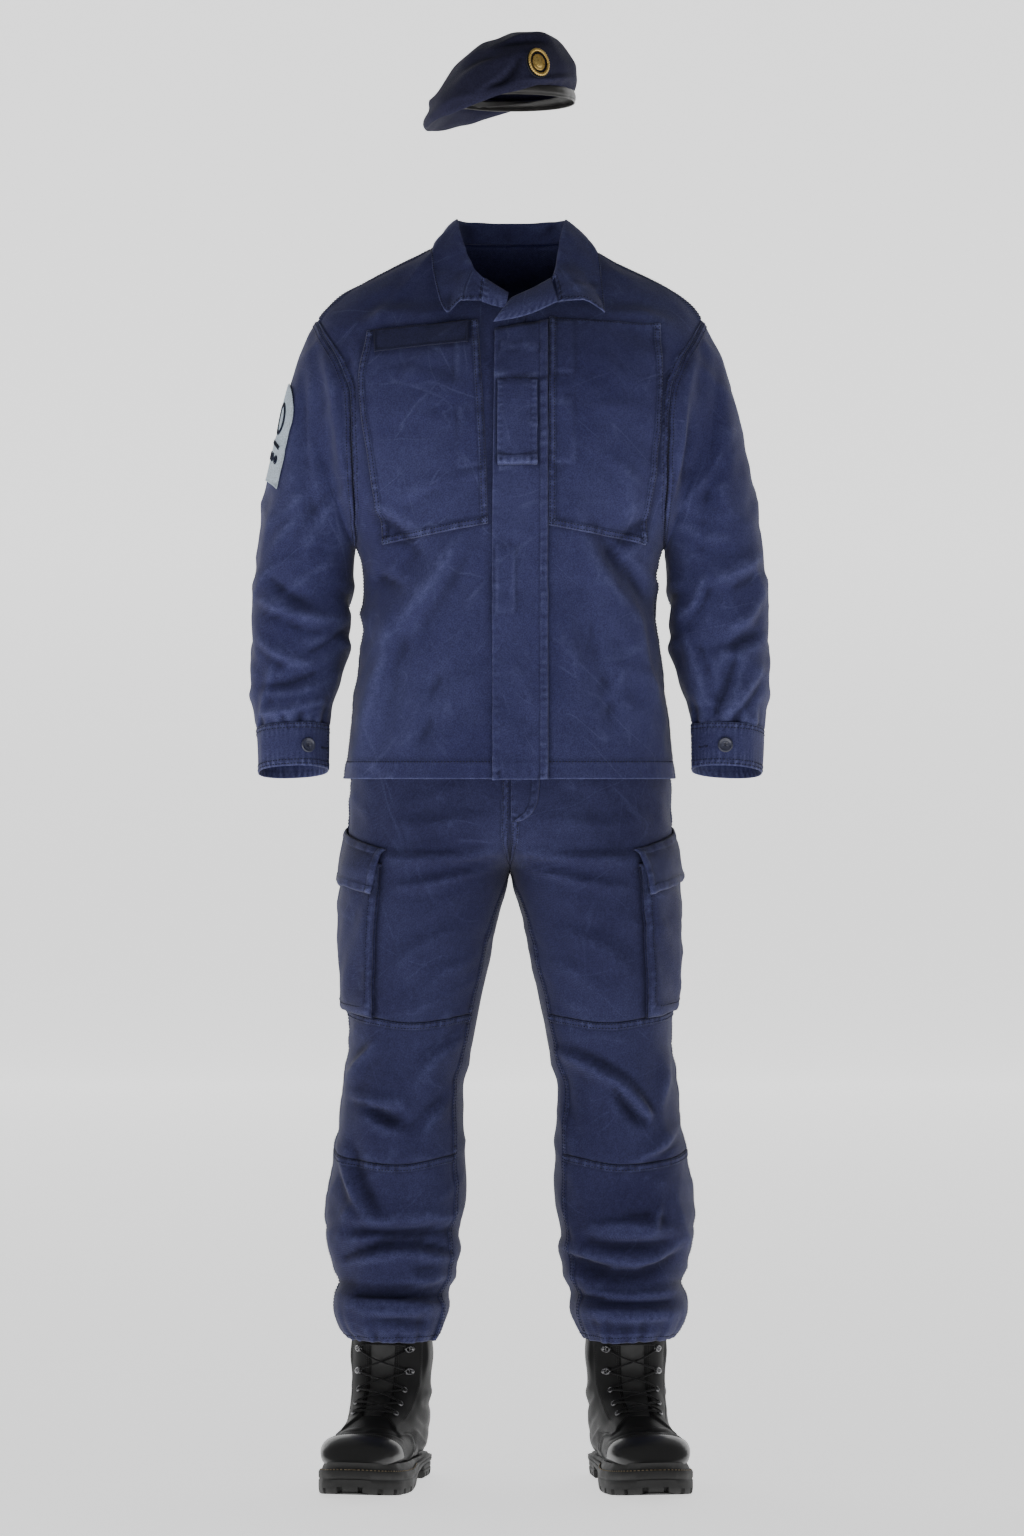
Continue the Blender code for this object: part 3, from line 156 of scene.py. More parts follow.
def small_creases(seed, view, count, across, height, lean, size=0.0011):
    """Short soft creases of worn cloth over part of a view, leaning mostly one way."""
    draw = np.random.default_rng(seed)
    rows = []
    for _ in range(count):
        x, z = draw.uniform(*across), draw.uniform(*height)
        turn = math.radians(lean + draw.normal(0, 26))
        half = draw.uniform(0.010, 0.034)
        rows.append((view, x - half * math.cos(turn), z - half * math.sin(turn), x + half * math.cos(turn),
                     z + half * math.sin(turn), draw.uniform(-0.005, 0.005), draw.uniform(0.0045, 0.0095),
                     size * draw.uniform(0.5, 1.3) * draw.choice((-1, 1))))
    return rows


def ripples(point, seed, length, size):
    """Soft unevenness of worn cloth: a few crossing waves, each drawn out one way."""
    draw = np.random.default_rng(seed)
    total = np.zeros(point.shape[:-1])
    for _ in range(9):
        direction = unit(draw.normal(size=3) * np.array([1.0, 0.8, 0.9]))
        wave = 2 * math.pi / (length * draw.uniform(0.6, 1.7))
        start = draw.uniform(0, 2 * math.pi)
        bend = unit(draw.normal(size=3))
        bent = 1.4 * np.sin(point @ bend * wave * 0.37 + start)
        total += draw.uniform(0.4, 1.0) * np.sin(point @ direction * wave + start + bent)
    return size * total / 3.0


def long_creases(point, seed, over, spacing, size):
    """Sharp crests with shallow hollows between, where over is the way across them.

    They lean outwards on both sides of the set, and each runs only part of the way.
    """
    draw = np.random.default_rng(seed)
    x = point[..., 0]
    leaning = stacked(np.sqrt(x * x + 0.0009), point[..., 1], point[..., 2])
    phase = leaning @ unit(np.array(over)) * math.pi / spacing + 1.9 * np.tanh(x / 0.06)
    mask = np.zeros(x.shape)
    for _ in range(4):
        way = unit(draw.normal(size=3)) * 2 * math.pi
        phase = phase + 0.45 * np.sin(point @ way / draw.uniform(0.13, 0.28) + draw.uniform(0, 6.28))
        way = unit(draw.normal(size=3)) * 2 * math.pi
        mask = mask + 0.4 * np.sin(point @ way / draw.uniform(0.07, 0.17) + draw.uniform(0, 6.28))
    crest = (1 - np.abs(np.sin(phase))) ** 1.4 - 0.28
    return size * crest * smooth(mask, -0.15, 0.65)


def normal_of(surface, u, v):
    along_u = surface(u + 0.5, v) - surface(u - 0.5, v)
    along_v = surface(u, v + 0.002) - surface(u, v - 0.002)
    return unit(np.cross(along_u, along_v))


def folded(surface, folds, seed, length=0.060, size=0.0009, fade=None, creases=()):
    """A surface with its folds and its unevenness, which can fade towards a seam."""
    def with_folds(u, v):
        point = surface(u, v)
        normal = normal_of(surface, u, v)
        height = fold_height(point, normal, folds) + ripples(point, seed, length, size)
        for number, (over, spacing, depth) in enumerate(creases):
            height = height + long_creases(point, seed + 700 + number, over, spacing, depth)
        if fade is not None:
            height = height * fade(point, u, v)
        return point + normal * height[..., None]
    return with_folds


# ---------------------------------------------------------------- meshes and panels
def new_mesh(name, points, faces, smooth_shade=True):
    mesh = bpy.data.meshes.new(name)
    points = np.asarray(points, dtype=float).reshape(-1, 3) - np.array([0, 0, HOLD_HEIGHT])
    mesh.from_pydata(points.tolist(), [], faces if isinstance(faces, list) else faces.tolist())
    mesh.update()
    if smooth_shade:
        mesh.shade_smooth()
    piece = bpy.data.objects.new(name, mesh)
    bpy.context.scene.collection.objects.link(piece)
    return piece


def paint(piece, name, values):
    """Keep one number for each point, for the material to read."""
    layer = piece.data.attributes.new(name, "FLOAT", "POINT")
    layer.data.foreach_set("value", np.asarray(values, dtype=np.float32).reshape(-1))


def finished(piece, material, slot, *nodes, wall=None, outward=False):
    """Give a piece its wall, material and place in the frame; the slot is not used."""
    if wall:
        thick = piece.modifiers.new("wall", "SOLIDIFY")
        thick.thickness = wall
        thick.offset = 1.0 if outward else -1.0
        thick.use_even_offset = False
    piece.data.materials.append(material)
    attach(piece, "root")
    if nodes:
        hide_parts(*nodes)
    return piece


def grid_faces(rows, columns, wraps, turned):
    steps = columns if wraps else columns - 1
    row, column = np.meshgrid(np.arange(rows - 1), np.arange(steps), indexing="ij")
    after = (column + 1) % columns
    corners = [row * columns + column, row * columns + after, (row + 1) * columns + after,
               (row + 1) * columns + column]
    faces = np.stack(corners, -1).reshape(-1, 4)
    return faces[:, ::-1] if turned else faces


def near_edges(length, low=True, high=True, coarse=GRID):
    """Shares along a length, close together beside the ends that have a seam."""
    margin = np.arange(0, SEAM_REACH + FINE_GRID / 2, FINE_GRID)
    start, end = (margin if has_seam else margin[:1] for has_seam in (low, high))
    steps = max(int(round((length - start[-1] - end[-1]) / coarse)), 1)
    middle = np.linspace(start[-1], length - end[-1], steps + 1)
    return np.concatenate([start, middle[1:-1], length - end[::-1]]) / length


def spread(low, high, columns):
    """Columns from low to high, each one number for a row; columns is a count or shares."""
    share = np.linspace(0, 1, columns) if np.isscalar(columns) else np.asarray(columns)
    low, high = np.asarray(low, dtype=float), np.asarray(high, dtype=float)
    return low[:, None] + share[None, :] * (high - low)[:, None]


def steps_through(ends, counts):
    """Places from each end to the next; a count includes both ends of its stretch."""
    parts = [np.linspace(low, high, count)[:-1] for low, high, count in zip(ends, ends[1:], counts)]
    return np.concatenate(parts + [ends[-1:]])


def along_line(at, travelled, places):
    """Places of a line, at these distances along it."""
    return np.stack([np.interp(at, travelled, places[:, axis]) for axis in range(places.shape[1])], -1)


def puckers(along, pitch, wander, bend, start=0.0):
    """Small waves along a seam, this far apart, whose places wander."""
    return np.sin(along * 2 * math.pi / pitch + wander * np.sin(along * bend + start))


class Panel:
    """A cloth panel: a grid of points on a surface, and what is pressed into it."""

    def __init__(self, name, surface, u, v, side=1, lift=0.0, wraps=False):
        self.name, self.side, self.wraps = name, side, wraps
        u, v = np.broadcast_arrays(np.asarray(u, dtype=float), np.asarray(v, dtype=float))
        self.u, self.v = u, v
        points = surface(u, v)
        if np.any(lift):
            points = points + np.asarray(lift)[..., None] * normal_of(surface, u, v)
        self.points = points * np.array([side, 1, 1])
        # wear is the cloth's pale wear; the other field holds painted shade: darker colour in grooves,
        # hollows and beside laid-on pieces
        self.wear, self.painted_shade = np.zeros(u.shape), np.zeros(u.shape)
        self.measure()

    def measure(self):
        """Distances along the cloth from each edge, and the normals."""
        points = self.points
        across = np.linalg.norm(np.diff(points, axis=1), axis=-1)
        up = np.linalg.norm(np.diff(points, axis=0), axis=-1)
        self.from_left = np.concatenate([np.zeros((len(points), 1)), np.cumsum(across, axis=1)], axis=1)
        self.from_right = self.from_left[:, -1:] - self.from_left
        self.from_bottom = np.concatenate([np.zeros((1, points.shape[1])), np.cumsum(up, axis=0)], axis=0)
        self.from_top = self.from_bottom[-1:] - self.from_bottom
        if self.wraps:
            around = np.roll(points, -1, axis=1) - np.roll(points, 1, axis=1)
        else:
            around = np.gradient(points, axis=1)
        self.normal = unit(np.cross(around, np.gradient(points, axis=0))) * self.side
        self.area = float((across[:-1] * up[:, :-1]).sum())
        if self.wraps:
            self.area *= points.shape[1] / (points.shape[1] - 1)

    def away(self, edge):
        return {"left": self.from_left, "right": self.from_right,
                "bottom": self.from_bottom, "top": self.from_top}[edge]

    def from_any_edge(self):
        return np.minimum(np.minimum(self.from_left, self.from_right),
                          np.minimum(self.from_top, self.from_bottom))

    def along(self, edge):
        return self.from_bottom if edge in ("left", "right") else self.from_left

    def push(self, amount):
        self.points = self.points + self.normal * np.asarray(amount)[..., None]

    def seam(self, edge, style, seed=1):
        """Shape one edge: a groove, and for a lap its raised and puckered band; painted shade goes in the
        groove, in the puckers' troughs and beside a lap's or hem's edge.
        """
        away, along = self.away(edge), self.along(edge)
        draw = np.random.default_rng(seed)
        start = draw.uniform(0, 6.28, 2)
        amount = -0.0005 * bump_at(away, 0.0012)
        if style in ("groove", "lap"):
            # painted shade in the groove
            self.painted_shade += 0.42 * bump_at(away, 0.0011)
        if style in ("lap", "double"):
            band = 1 - smooth(away, LAP - 0.0006, LAP + 0.0012)
            amount = amount + 0.0009 * band * smooth(away, 0.0, 0.0020)
            fine, broad = puckers(along, 0.0095, 1.5, 61, start[0]), puckers(along, 0.0170, 2.2, 37, start[1])
            pucker = 0.7 * fine + 0.5 * broad
            amount = amount + 0.00045 * pucker * bump_at(away - 0.0045, 0.0050)
            self.wear += 0.42 * bump_at(away - 0.0013, 0.0010) * (0.70 + 0.30 * pucker)
            self.wear += 0.24 * band * smooth(away, 0.0010, 0.0030) * np.clip(0.25 + 0.9 * pucker, 0, 1)
            self.wear += 0.34 * bump_at(away - LAP + 0.0006, 0.0009) * (0.6 + 0.4 * pucker)
            # painted shade in the puckers' troughs, and a painted shadow just beyond the lap's edge
            self.painted_shade += 0.46 * bump_at(away - 0.0045, 0.0040) * np.clip(-pucker, 0, 1)
            self.painted_shade += 0.60 * bump_at(away - LAP - 0.0016, 0.0013)
        elif style == "hem":
            depth = HEM_DEPTH
            band = 1 - smooth(away, depth - 0.002, depth + 0.002)
            pucker = puckers(along, 0.013, 1.8, 47, start[1])
            amount = 0.0006 * band + 0.00040 * pucker * bump_at(away - 0.013, 0.012)
            amount = amount - 0.0008 * bump_at(away - depth + 0.002, 0.0018)
            self.wear += 0.85 * bump_at(away, 0.0012)
            self.wear += 0.20 * bump_at(away - depth + 0.004, 0.003) * (0.5 + 0.5 * pucker)
            # a painted shadow just beyond the hem's turned edge
            self.painted_shade += 0.45 * bump_at(away - depth - 0.001, 0.0022)
        elif style == "edge":
            pucker = puckers(along, 0.0085, 1.6, 53, start[1])
            amount = 0.0003 * pucker * bump_at(away - 0.003, 0.004) - 0.0004 * bump_at(away, 0.0015)
            self.wear += 0.80 * bump_at(away, 0.0011) * (0.8 + 0.2 * pucker)
            self.wear += 0.20 * bump_at(away - 0.0055, 0.0040) * np.clip(pucker, 0, 1)
            # painted shade in the puckers' troughs
            self.painted_shade += 0.22 * bump_at(away - 0.0055, 0.0040) * np.clip(-pucker, 0, 1)
        self.push(amount)

    def press(self, across, height, half_width, half_height, size):
        """The outline of something sewn or kept underneath, pressed into the cloth, with a painted shadow
        just outside it.
        """
        x, z = self.points[..., 0], self.points[..., 2]
        outside = np.maximum(np.abs(x - across) - half_width, np.abs(z - height) - half_height)
        facing = np.clip(-self.normal[..., 1] * 2, 0, 1)
        self.push(facing * size * (1 - smooth(outside, -0.0030, 0.0020)))
        self.wear += 0.34 * facing * bump_at(outside + 0.0018, 0.0016)
        # painted shadow just outside the pressed outline
        self.painted_shade += 0.45 * facing * bump_at(outside - 0.0022, 0.0020)

    def shade_beside(self, outline, width=0.0040, amount=0.75, facing=(0, -1, 0)):
        """Darken the cloth beside a piece laid on it, whose outline is seen from one side."""
        seen = [axis for axis in range(3) if abs(facing[axis]) < 0.5]
        place = self.points[..., seen]
        outline = np.array(outline, dtype=float)
        nearest = np.full(place.shape[:2], 1.0)
        for start, end in zip(outline, np.roll(outline, -1, axis=0)):
            way = end - start
            t = np.clip(((place - start) @ way) / max(way @ way, SMALL), 0, 1)
            nearest = np.minimum(nearest, np.linalg.norm(place - start - t[..., None] * way, axis=-1))
        towards = np.clip(self.normal @ np.array(facing, dtype=float) * 2, 0, 1)
        self.painted_shade += amount * towards * bump_at(nearest, width)

    def inset(self, edge, distance):
        """Points and normals of a line that keeps this far from an edge."""
        away = self.away(edge)
        if edge in ("left", "right"):
            rows = range(away.shape[0])
            columns = np.arange(away.shape[1])
            order = 1 if edge == "left" else -1
            place = np.array([np.interp(distance, away[row][::order], columns[::order]) for row in rows])
            return self.sample(np.arange(away.shape[0]), place)
        rows = np.arange(away.shape[0])
        order = 1 if edge == "bottom" else -1
        place = np.array([np.interp(distance, away[::order, column], rows[::order])
                          for column in range(away.shape[1])])
        return self.sample(place, np.arange(away.shape[1]))

    def sample(self, row, column):
        """Points and normals at fractional rows and columns of the grid."""
        rows, columns = self.points.shape[:2]
        row, column = np.broadcast_arrays(np.asarray(row, dtype=float), np.asarray(column, dtype=float))
        r0 = np.clip(row.astype(int), 0, rows - 2)
        fr = (row - r0)[..., None]
        if self.wraps:
            c0 = np.floor(column).astype(int)
            fc = (column - c0)[..., None]
            c0, c1 = c0 % columns, (c0 + 1) % columns
        else:
            c0 = np.clip(column.astype(int), 0, columns - 2)
            fc, c1 = (column - c0)[..., None], c0 + 1
        result = []
        for field in (self.points, self.normal):
            result.append((field[r0, c0] * (1 - fc) + field[r0, c1] * fc) * (1 - fr)
                          + (field[r0 + 1, c0] * (1 - fc) + field[r0 + 1, c1] * fc) * fr)
        return result[0], unit(result[1])

    def bending(self, step):
        """How hollow (positive) or ridged (negative) the cloth is, in 1/m."""
        points = self.points
        padded = np.pad(points, ((step, step), (0, 0), (0, 0)), mode="reflect", reflect_type="odd")
        if self.wraps:
            padded = np.concatenate([padded[:, -step:], padded, padded[:, :step]], axis=1)
        else:
            padded = np.pad(padded, ((0, 0), (step, step), (0, 0)), mode="reflect", reflect_type="odd")
        rows, columns = points.shape[:2]
        around = [padded[step + r:step + r + rows, step + c:step + c + columns] - points
                  for r, c in ((step, 0), (-step, 0), (0, step), (0, -step))]
        reach = np.mean([np.sum(way * way, axis=-1) for way in around], axis=0)
        return 4 * np.sum(np.mean(around, axis=0) * self.normal, axis=-1) / np.maximum(reach, SMALL)

    def tuck(self, edge, length=0.006, depth=0.0016):
        """Carry an edge on under the piece that it is sewn to."""
        axis = 1 if edge in ("left", "right") else 0
        first, second = (0, 1) if edge in ("left", "bottom") else (-1, -2)
        end, near = np.take(self.points, [first], axis), np.take(self.points, [second], axis)
        normal = np.take(self.normal, [first], axis)
        beyond = end + unit(end - near) * length - normal * depth

        def with_more(field, more):
            return np.concatenate([more, field] if first == 0 else [field, more], axis=axis)

        self.points = with_more(self.points, beyond)
        for name in ("normal", "wear", "painted_shade", "u", "v"):
            field = getattr(self, name)
            setattr(self, name, with_more(field, np.take(field, [first], axis)))

    def piece(self):
        """The panel as a mesh, with its wear, its painted shade and its outer face outwards."""
        fine, broad = self.bending(1), self.bending(3)
        # worn paler on ridges, and painted shade in hollows and fold troughs
        self.wear = self.wear + 0.16 * smooth(-fine, 40, 190) + 0.34 * smooth(-broad, 12, 60)
        painted_shade = self.painted_shade + 0.35 * smooth(fine, 25, 170) + 0.75 * smooth(broad, 2, 55)
        rows, columns = self.points.shape[:2]
        made = new_mesh(self.name, self.points, grid_faces(rows, columns, self.wraps, self.side < 0))
        paint(made, "wear", np.clip(self.wear, 0, 1.5))
        paint(made, "painted_shade", np.clip(painted_shade, 0, 1))
        return made


class Stitching:
    """Rows of small stitches, gathered into one mesh for a garment."""

    def __init__(self):
        self.starts, self.ends, self.normals = [], [], []

    def row(self, line, pitch=STITCH_PITCH, length=STITCH_LENGTH, skip=0.0):
        points, normals = line
        points = np.asarray(points)
        step = np.linalg.norm(np.diff(points, axis=0), axis=-1)
        travelled = np.concatenate(([0], np.cumsum(step)))
        count = int((travelled[-1] - 2 * skip) / pitch)
        if count < 1:
            return
        start = skip + pitch * (np.arange(count) + 0.15)
        for at, store in ((start, self.starts), (start + length, self.ends)):
            store.append(along_line(at, travelled, points))
        self.normals.append(unit(along_line(start + length / 2, travelled, normals)))

    def piece(self, name, radius=THREAD, rise=0.00015):
        """Each stitch is a tapered thread that bows up out of the cloth."""
        start, end = np.concatenate(self.starts), np.concatenate(self.ends)
        normal = np.concatenate(self.normals)
        way = unit(end - start)
        aside = unit(np.cross(way, normal))
        corners = [start - normal * radius * 0.6]
        for share in (0.2, 0.8):
            middle = start * (1 - share) + end * share + normal * rise
            corners += [middle + aside * radius, middle + normal * radius, middle - aside * radius,
                        middle - normal * radius]
        corners.append(end - normal * radius * 0.6)
        points = np.stack(corners, axis=1)
        faces = []
        for side in range(4):
            after = (side + 1) % 4
            faces += [(0, 1 + side, 1 + after, 1 + after), (1 + side, 5 + side, 5 + after, 1 + after),
                      (9, 5 + after, 5 + side, 5 + side)]
        base = np.arange(len(start))[:, None, None] * 10
        every = (np.array(faces)[None] + base).reshape(-1, 4)
        listed = [tuple(dict.fromkeys(face)) for face in every.tolist()]
        return new_mesh(name, points, listed)


# ---------------------------------------------------------------- jacket body
TORSO = Table("height half_width front back exponent", [
    (0.885, 0.2080, -0.142, 0.132, 2.4),
    (0.930, 0.2030, -0.141, 0.129, 2.4),
    (0.975, 0.1980, -0.140, 0.125, 2.4),
    (1.050, 0.1890, -0.139, 0.118, 2.4),
    (1.125, 0.1810, -0.141, 0.114, 2.4),
    (1.180, 0.1935, -0.143, 0.120, 2.4),
    (1.260, 0.2350, -0.145, 0.131, 2.5),
    (1.350, 0.2580, -0.140, 0.139, 2.5),
    (1.410, 0.2580, -0.124, 0.134, 2.5),
    (1.450, 0.2500, -0.102, 0.121, 2.4),
    (1.466, 0.2450, -0.092, 0.113, 2.3),
    (1.492, 0.2220, -0.074, 0.099, 2.2),
    (1.518, 0.1800, -0.060, 0.087, 2.1),
    (1.543, 0.1290, -0.050, 0.076, 2.0),
    (1.572, 0.0720, -0.040, 0.064, 2.0),
])
ARMPIT_HEIGHT = 1.180
SHOULDER_HEIGHT = 1.466
HEM_HEIGHT = 0.886
FRONT_TOP_HEIGHT = 1.5545    # where a front meets the collar beside the neck
NECK_BACK_HEIGHT = 1.566
FORWARD_SEAM_ANGLE = 80.0   # the shoulder seam lies ahead of the ridge
SIDE_TURN = 0.02            # degrees either side of a side seam
EDGE_TURN = 0.04            # degrees either side of any other seam
FRONT_OVERLAP_X = 0.020     # the fronts meet here, under the placket
SEAM_GAP = 0.0003       # either side of a seam between two cloth panels
ARMHOLE = Table("height across", [
    (1.180, 0.1935), (1.250, 0.1960), (1.370, 0.2025), (1.410, 0.2150), (1.440, 0.2320), (1.466, 0.2450),
])
NECKLINE = Table("height across", [
    (1.478, 0.000), (1.488, 0.022), (1.500, 0.040), (1.515, 0.052), (1.535, 0.062), (1.552, 0.069),
    (1.566, 0.074),
])

TORSO_FOLDS = seen_from("front", [
    # the long drapes from the chest pockets to the sides
    (-62, 1190, -158, 1060, 8, 26, 8.5), (-150, 1075, -192, 925, 6, 24, 8),
    (93, 1196, 160, 1080, -8, 26, 8.5), (155, 1095, 194, 950, -6, 24, 8),
    (-172, 1215, -112, 1165, 6, 20, -6.5), (178, 1210, 120, 1160, -6, 20, -6.5),
    (-178, 1140, -128, 1120, 4, 16, -4.5), (126, 1171, 178, 1100, 4, 14, -4.5),
    (70, 1114, 84, 990, 4, 12, 2.4), (104, 1060, 128, 930, 6, 20, -4), (-75, 1050, -108, 920, -6, 20, -4),
    (-40, 1120, -120, 985, 10, 13, 2.2), (-90, 995, -135, 930, 4, 12, 2.2),
    (145, 1030, 105, 965, 5, 10, 1.6),
    # the chest, under the collar and across the pockets
    (-150, 1395, -60, 1372, 6, 12, 1.6), (-140, 1345, -70, 1330, 3, 10, 1.4),
    (70, 1340, 170, 1352, 4, 11, 1.6), (100, 1300, 160, 1250, 6, 12, 1.8),
    (-60, 1260, -150, 1225, -6, 12, 1.8), (-190, 1455, -110, 1470, 6, 18, 3.6),
    (120, 1470, 215, 1450, 6, 18, 3.6), (-205, 1420, -196, 1330, 4, 13, -4),
    (205, 1420, 196, 1320, -4, 13, -4),
]) + seen_from("back", [
    # the back: folds from the armholes towards the waist
    (-165, 1300, -60, 1130, 20, 26, 8.5), (165, 1290, 68, 1115, -20, 26, 8.5),
    (-180, 1230, -100, 1120, 12, 17, -6.5), (182, 1222, 105, 1105, -12, 17, -6.5),
    (-120, 1095, -60, 940, 10, 24, -7), (110, 1105, 80, 930, -8, 24, -7),
    (-160, 1070, -110, 930, 10, 18, 5.5), (20, 1090, 30, 940, 4, 20, 4), (160, 1060, 140, 930, 4, 18, 5),
    (-95, 1425, 85, 1405, -12, 24, 4.5), (-60, 1370, 90, 1350, -8, 16, 2.6),
    (-80, 1500, 60, 1510, 6, 14, 2.2), (-40, 1240, 60, 1200, 10, 18, 3),
]) + seen_from("outer", [
    (-60, 1140, 60, 1080, 10, 20, 5),
]) + seen_from("inner", [
    (60, 1140, -60, 1085, 10, 20, 5),
])
TORSO_FOLDS += (small_creases(111, "front", 22, (-0.19, 0.19), (0.91, 1.19), 70, size=0.0007)
                + small_creases(112, "front", 14, (-0.19, 0.19), (1.20, 1.42), 20, size=0.0005)
                + small_creases(113, "back", 30, (-0.19, 0.19), (0.91, 1.42), 50, size=0.0007))


def plain_torso(angle, height):
    """A point of the jacket's body: angle 0 is the front, 90 is its left side."""
    half_width, front, back, exponent = TORSO.read_all(height)
    sine = np.sin(np.radians(angle))
    cosine = np.cos(np.radians(angle))
    middle = (front + back) / 2
    depth = (back - front) / 2
    return stacked(half_width * rounded(sine, exponent), middle - depth * rounded(cosine, exponent), height)


# the way over each run of creases, how far apart they are, and their height
TORSO_CREASES = (((0.94, 0.20, 0.34), 0.072, 0.0030), ((0.69, 0.25, 0.72), 0.046, 0.0015),
                 ((0.92, 0.30, -0.30), 0.034, 0.0009))
torso = folded(plain_torso, TORSO_FOLDS, seed=11, creases=TORSO_CREASES)


def side_torso(side):
    """The body's surface for one side; the folds stay on their own side."""
    def surface(angle, height):
        return torso(side * np.asarray(angle, dtype=float), height) * np.array([side, 1, 1])
    return surface


def torso_angle(across, height):
    """The angle at which the front is this far from the middle."""
    half_width, exponent = TORSO.read("half_width", height), TORSO.read("exponent", height)
    share = np.clip(np.abs(across) / half_width, 0, 1)
    return np.sign(across) * np.degrees(np.arcsin(share ** (exponent / 2)))


def on_torso_front(across, height):
    return torso_angle(across, height), height


def armhole_angle(height):
    """Where the front panel ends at this height: side seam, armhole or shoulder seam."""
    height = np.asarray(height, dtype=float)
    angle = torso_angle(ARMHOLE.read("across", np.clip(height, ARMPIT_HEIGHT, SHOULDER_HEIGHT)), height)
    return np.where(height <= ARMPIT_HEIGHT, 90.0, angle)


# ---------------------------------------------------------------- sleeves
# outer and inner are the two ends of each section as seen from the front
SLEEVE = Table("station outer_x outer_z inner_x inner_z middle_y half_depth exponent front_rise", [
    (0, 0.2450, 1.466, 0.1945, 1.180, 0.010, 0.085, 2.3, 0.000),
    (1, 0.2660, 1.425, 0.1960, 1.176, 0.010, 0.086, 2.3, 0.000),
    (2, 0.2830, 1.370, 0.1965, 1.171, 0.010, 0.086, 2.3, 0.000),
    (3, 0.2985, 1.303, 0.1970, 1.165, 0.010, 0.083, 2.3, 0.000),
    (4, 0.3115, 1.235, 0.1975, 1.155, 0.010, 0.079, 2.3, 0.000),
    (5, 0.3210, 1.170, 0.1980, 1.135, 0.010, 0.075, 2.3, 0.002),
    (6, 0.3260, 1.110, 0.2000, 1.095, 0.008, 0.072, 2.3, 0.004),
    (7, 0.3290, 1.055, 0.2050, 1.050, 0.004, 0.069, 2.3, 0.006),
    (8, 0.3280, 1.010, 0.2135, 1.010, -0.002, 0.065, 2.3, 0.008),
    (9, 0.3235, 0.972, 0.2260, 0.975, -0.008, 0.060, 2.3, 0.008),
    (10, 0.3195, 0.946, 0.2300, 0.950, -0.012, 0.056, 2.3, 0.008),
])
CUFF = Table("station outer_x outer_z inner_x inner_z middle_y half_depth exponent front_rise", [
    (0, 0.3205, 0.9480, 0.2290, 0.9520, -0.012, 0.0570, 2.3, 0.008),
    (1, 0.3190, 0.9200, 0.2296, 0.9230, -0.016, 0.0550, 2.3, 0.008),
    (2, 0.3178, 0.8930, 0.2296, 0.8970, -0.020, 0.0530, 2.3, 0.008),
])
ARMHOLE_EXPONENT = 2.3
ARMHOLE_BLEND = 1.6     # stations over which the armhole's loop becomes a section

SLEEVE_SMALL = (small_creases(121, "front", 12, (0.215, 0.325), (0.96, 1.36), 15, size=0.0008)
                + small_creases(122, "back", 12, (0.215, 0.325), (0.96, 1.36), 10, size=0.0008))
SLEEVE_FOLDS = seen_from("front", [
    (231, 1425, 205, 1250, -4, 22, 7.9), (262, 1390, 240, 1200, 4, 22, -6.1),
]) + seen_from("outer", [
    (-50, 1150, 60, 1100, 6, 21, 2.7), (50, 1080, -40, 1030, -5, 19, -2.7),
    (-45, 1210, 35, 1240, 6, 18, 1.8), (-40, 1000, 30, 975, 4, 13, 1.6),
]) + seen_from("back", [
    (225, 1400, 245, 1220, 6, 22, 6.5), (255, 1360, 290, 1230, 6, 17, -3.6),
    (210, 1150, 310, 1130, 6, 17, 6.1), (210, 1115, 315, 1085, 5, 16, -4.3),
    (300, 1070, 225, 1040, 5, 17, 4.3), (235, 1000, 300, 980, 4, 13, -3.2),
]) + seen_from("inner", [
    (-40, 1120, 50, 1090, 4, 17, -4.3), (-40, 1060, 40, 1040, 4, 16, 3.6),
])     # both sleeves
SLEEVE_FOLDS_RIGHT = SLEEVE_FOLDS + seen_from("front", [
    (252, 1385, 240, 1225, 6, 13, 3), (205, 1245, 262, 1160, 10, 17, 4),
    (316, 1112, 206, 1088, 10, 16, 5.4), (305, 1140, 235, 1100, 6, 14, -3.6),
    (318, 1062, 248, 1030, 6, 14, 4.3), (206, 1075, 275, 1040, -6, 13, -3.2),
    (310, 1003, 232, 1027, 6, 14, -4.2), (316, 968, 236, 984, 4, 13, 3.6), (270, 1210, 300, 1170, 4, 12, 2),
]) + SLEEVE_SMALL
SLEEVE_FOLDS_LEFT = SLEEVE_FOLDS + seen_from("front", [
    (213, 1365, 198, 1250, 4, 14, 4.7), (268, 1306, 198, 1218, 10, 14, 4),
    (225, 1335, 210, 1240, 4, 12, -3.6), (326, 1178, 240, 1134, 10, 17, 5.4),
    (243, 1136, 212, 1088, 6, 13, 3.6), (323, 1134, 281, 1070, 6, 14, 4.3),
    (328, 1078, 248, 1052, 6, 16, -4.9), (220, 1068, 243, 962, 6, 14, 4.9),
    (284, 1050, 250, 960, 6, 14, -4.9), (316, 1026, 266, 962, 4, 13, 3.7),
]) + SLEEVE_SMALL


def section_between(table, angle, station):
    """A section through two ends: angle 0 is the outer end, 90 the front, 180 the inner end."""
    outer_x, outer_z, inner_x, inner_z, middle_y, half_depth, exponent, front_rise = table.read_all(station)
    across = rounded(np.cos(np.radians(angle)), exponent)
    forward = rounded(np.sin(np.radians(angle)), exponent)
    x = (outer_x + inner_x) / 2 + across * (outer_x - inner_x) / 2
    z = (outer_z + inner_z) / 2 + across * (outer_z - inner_z) / 2
    return stacked(x, middle_y - forward * half_depth, z + forward * front_rise)


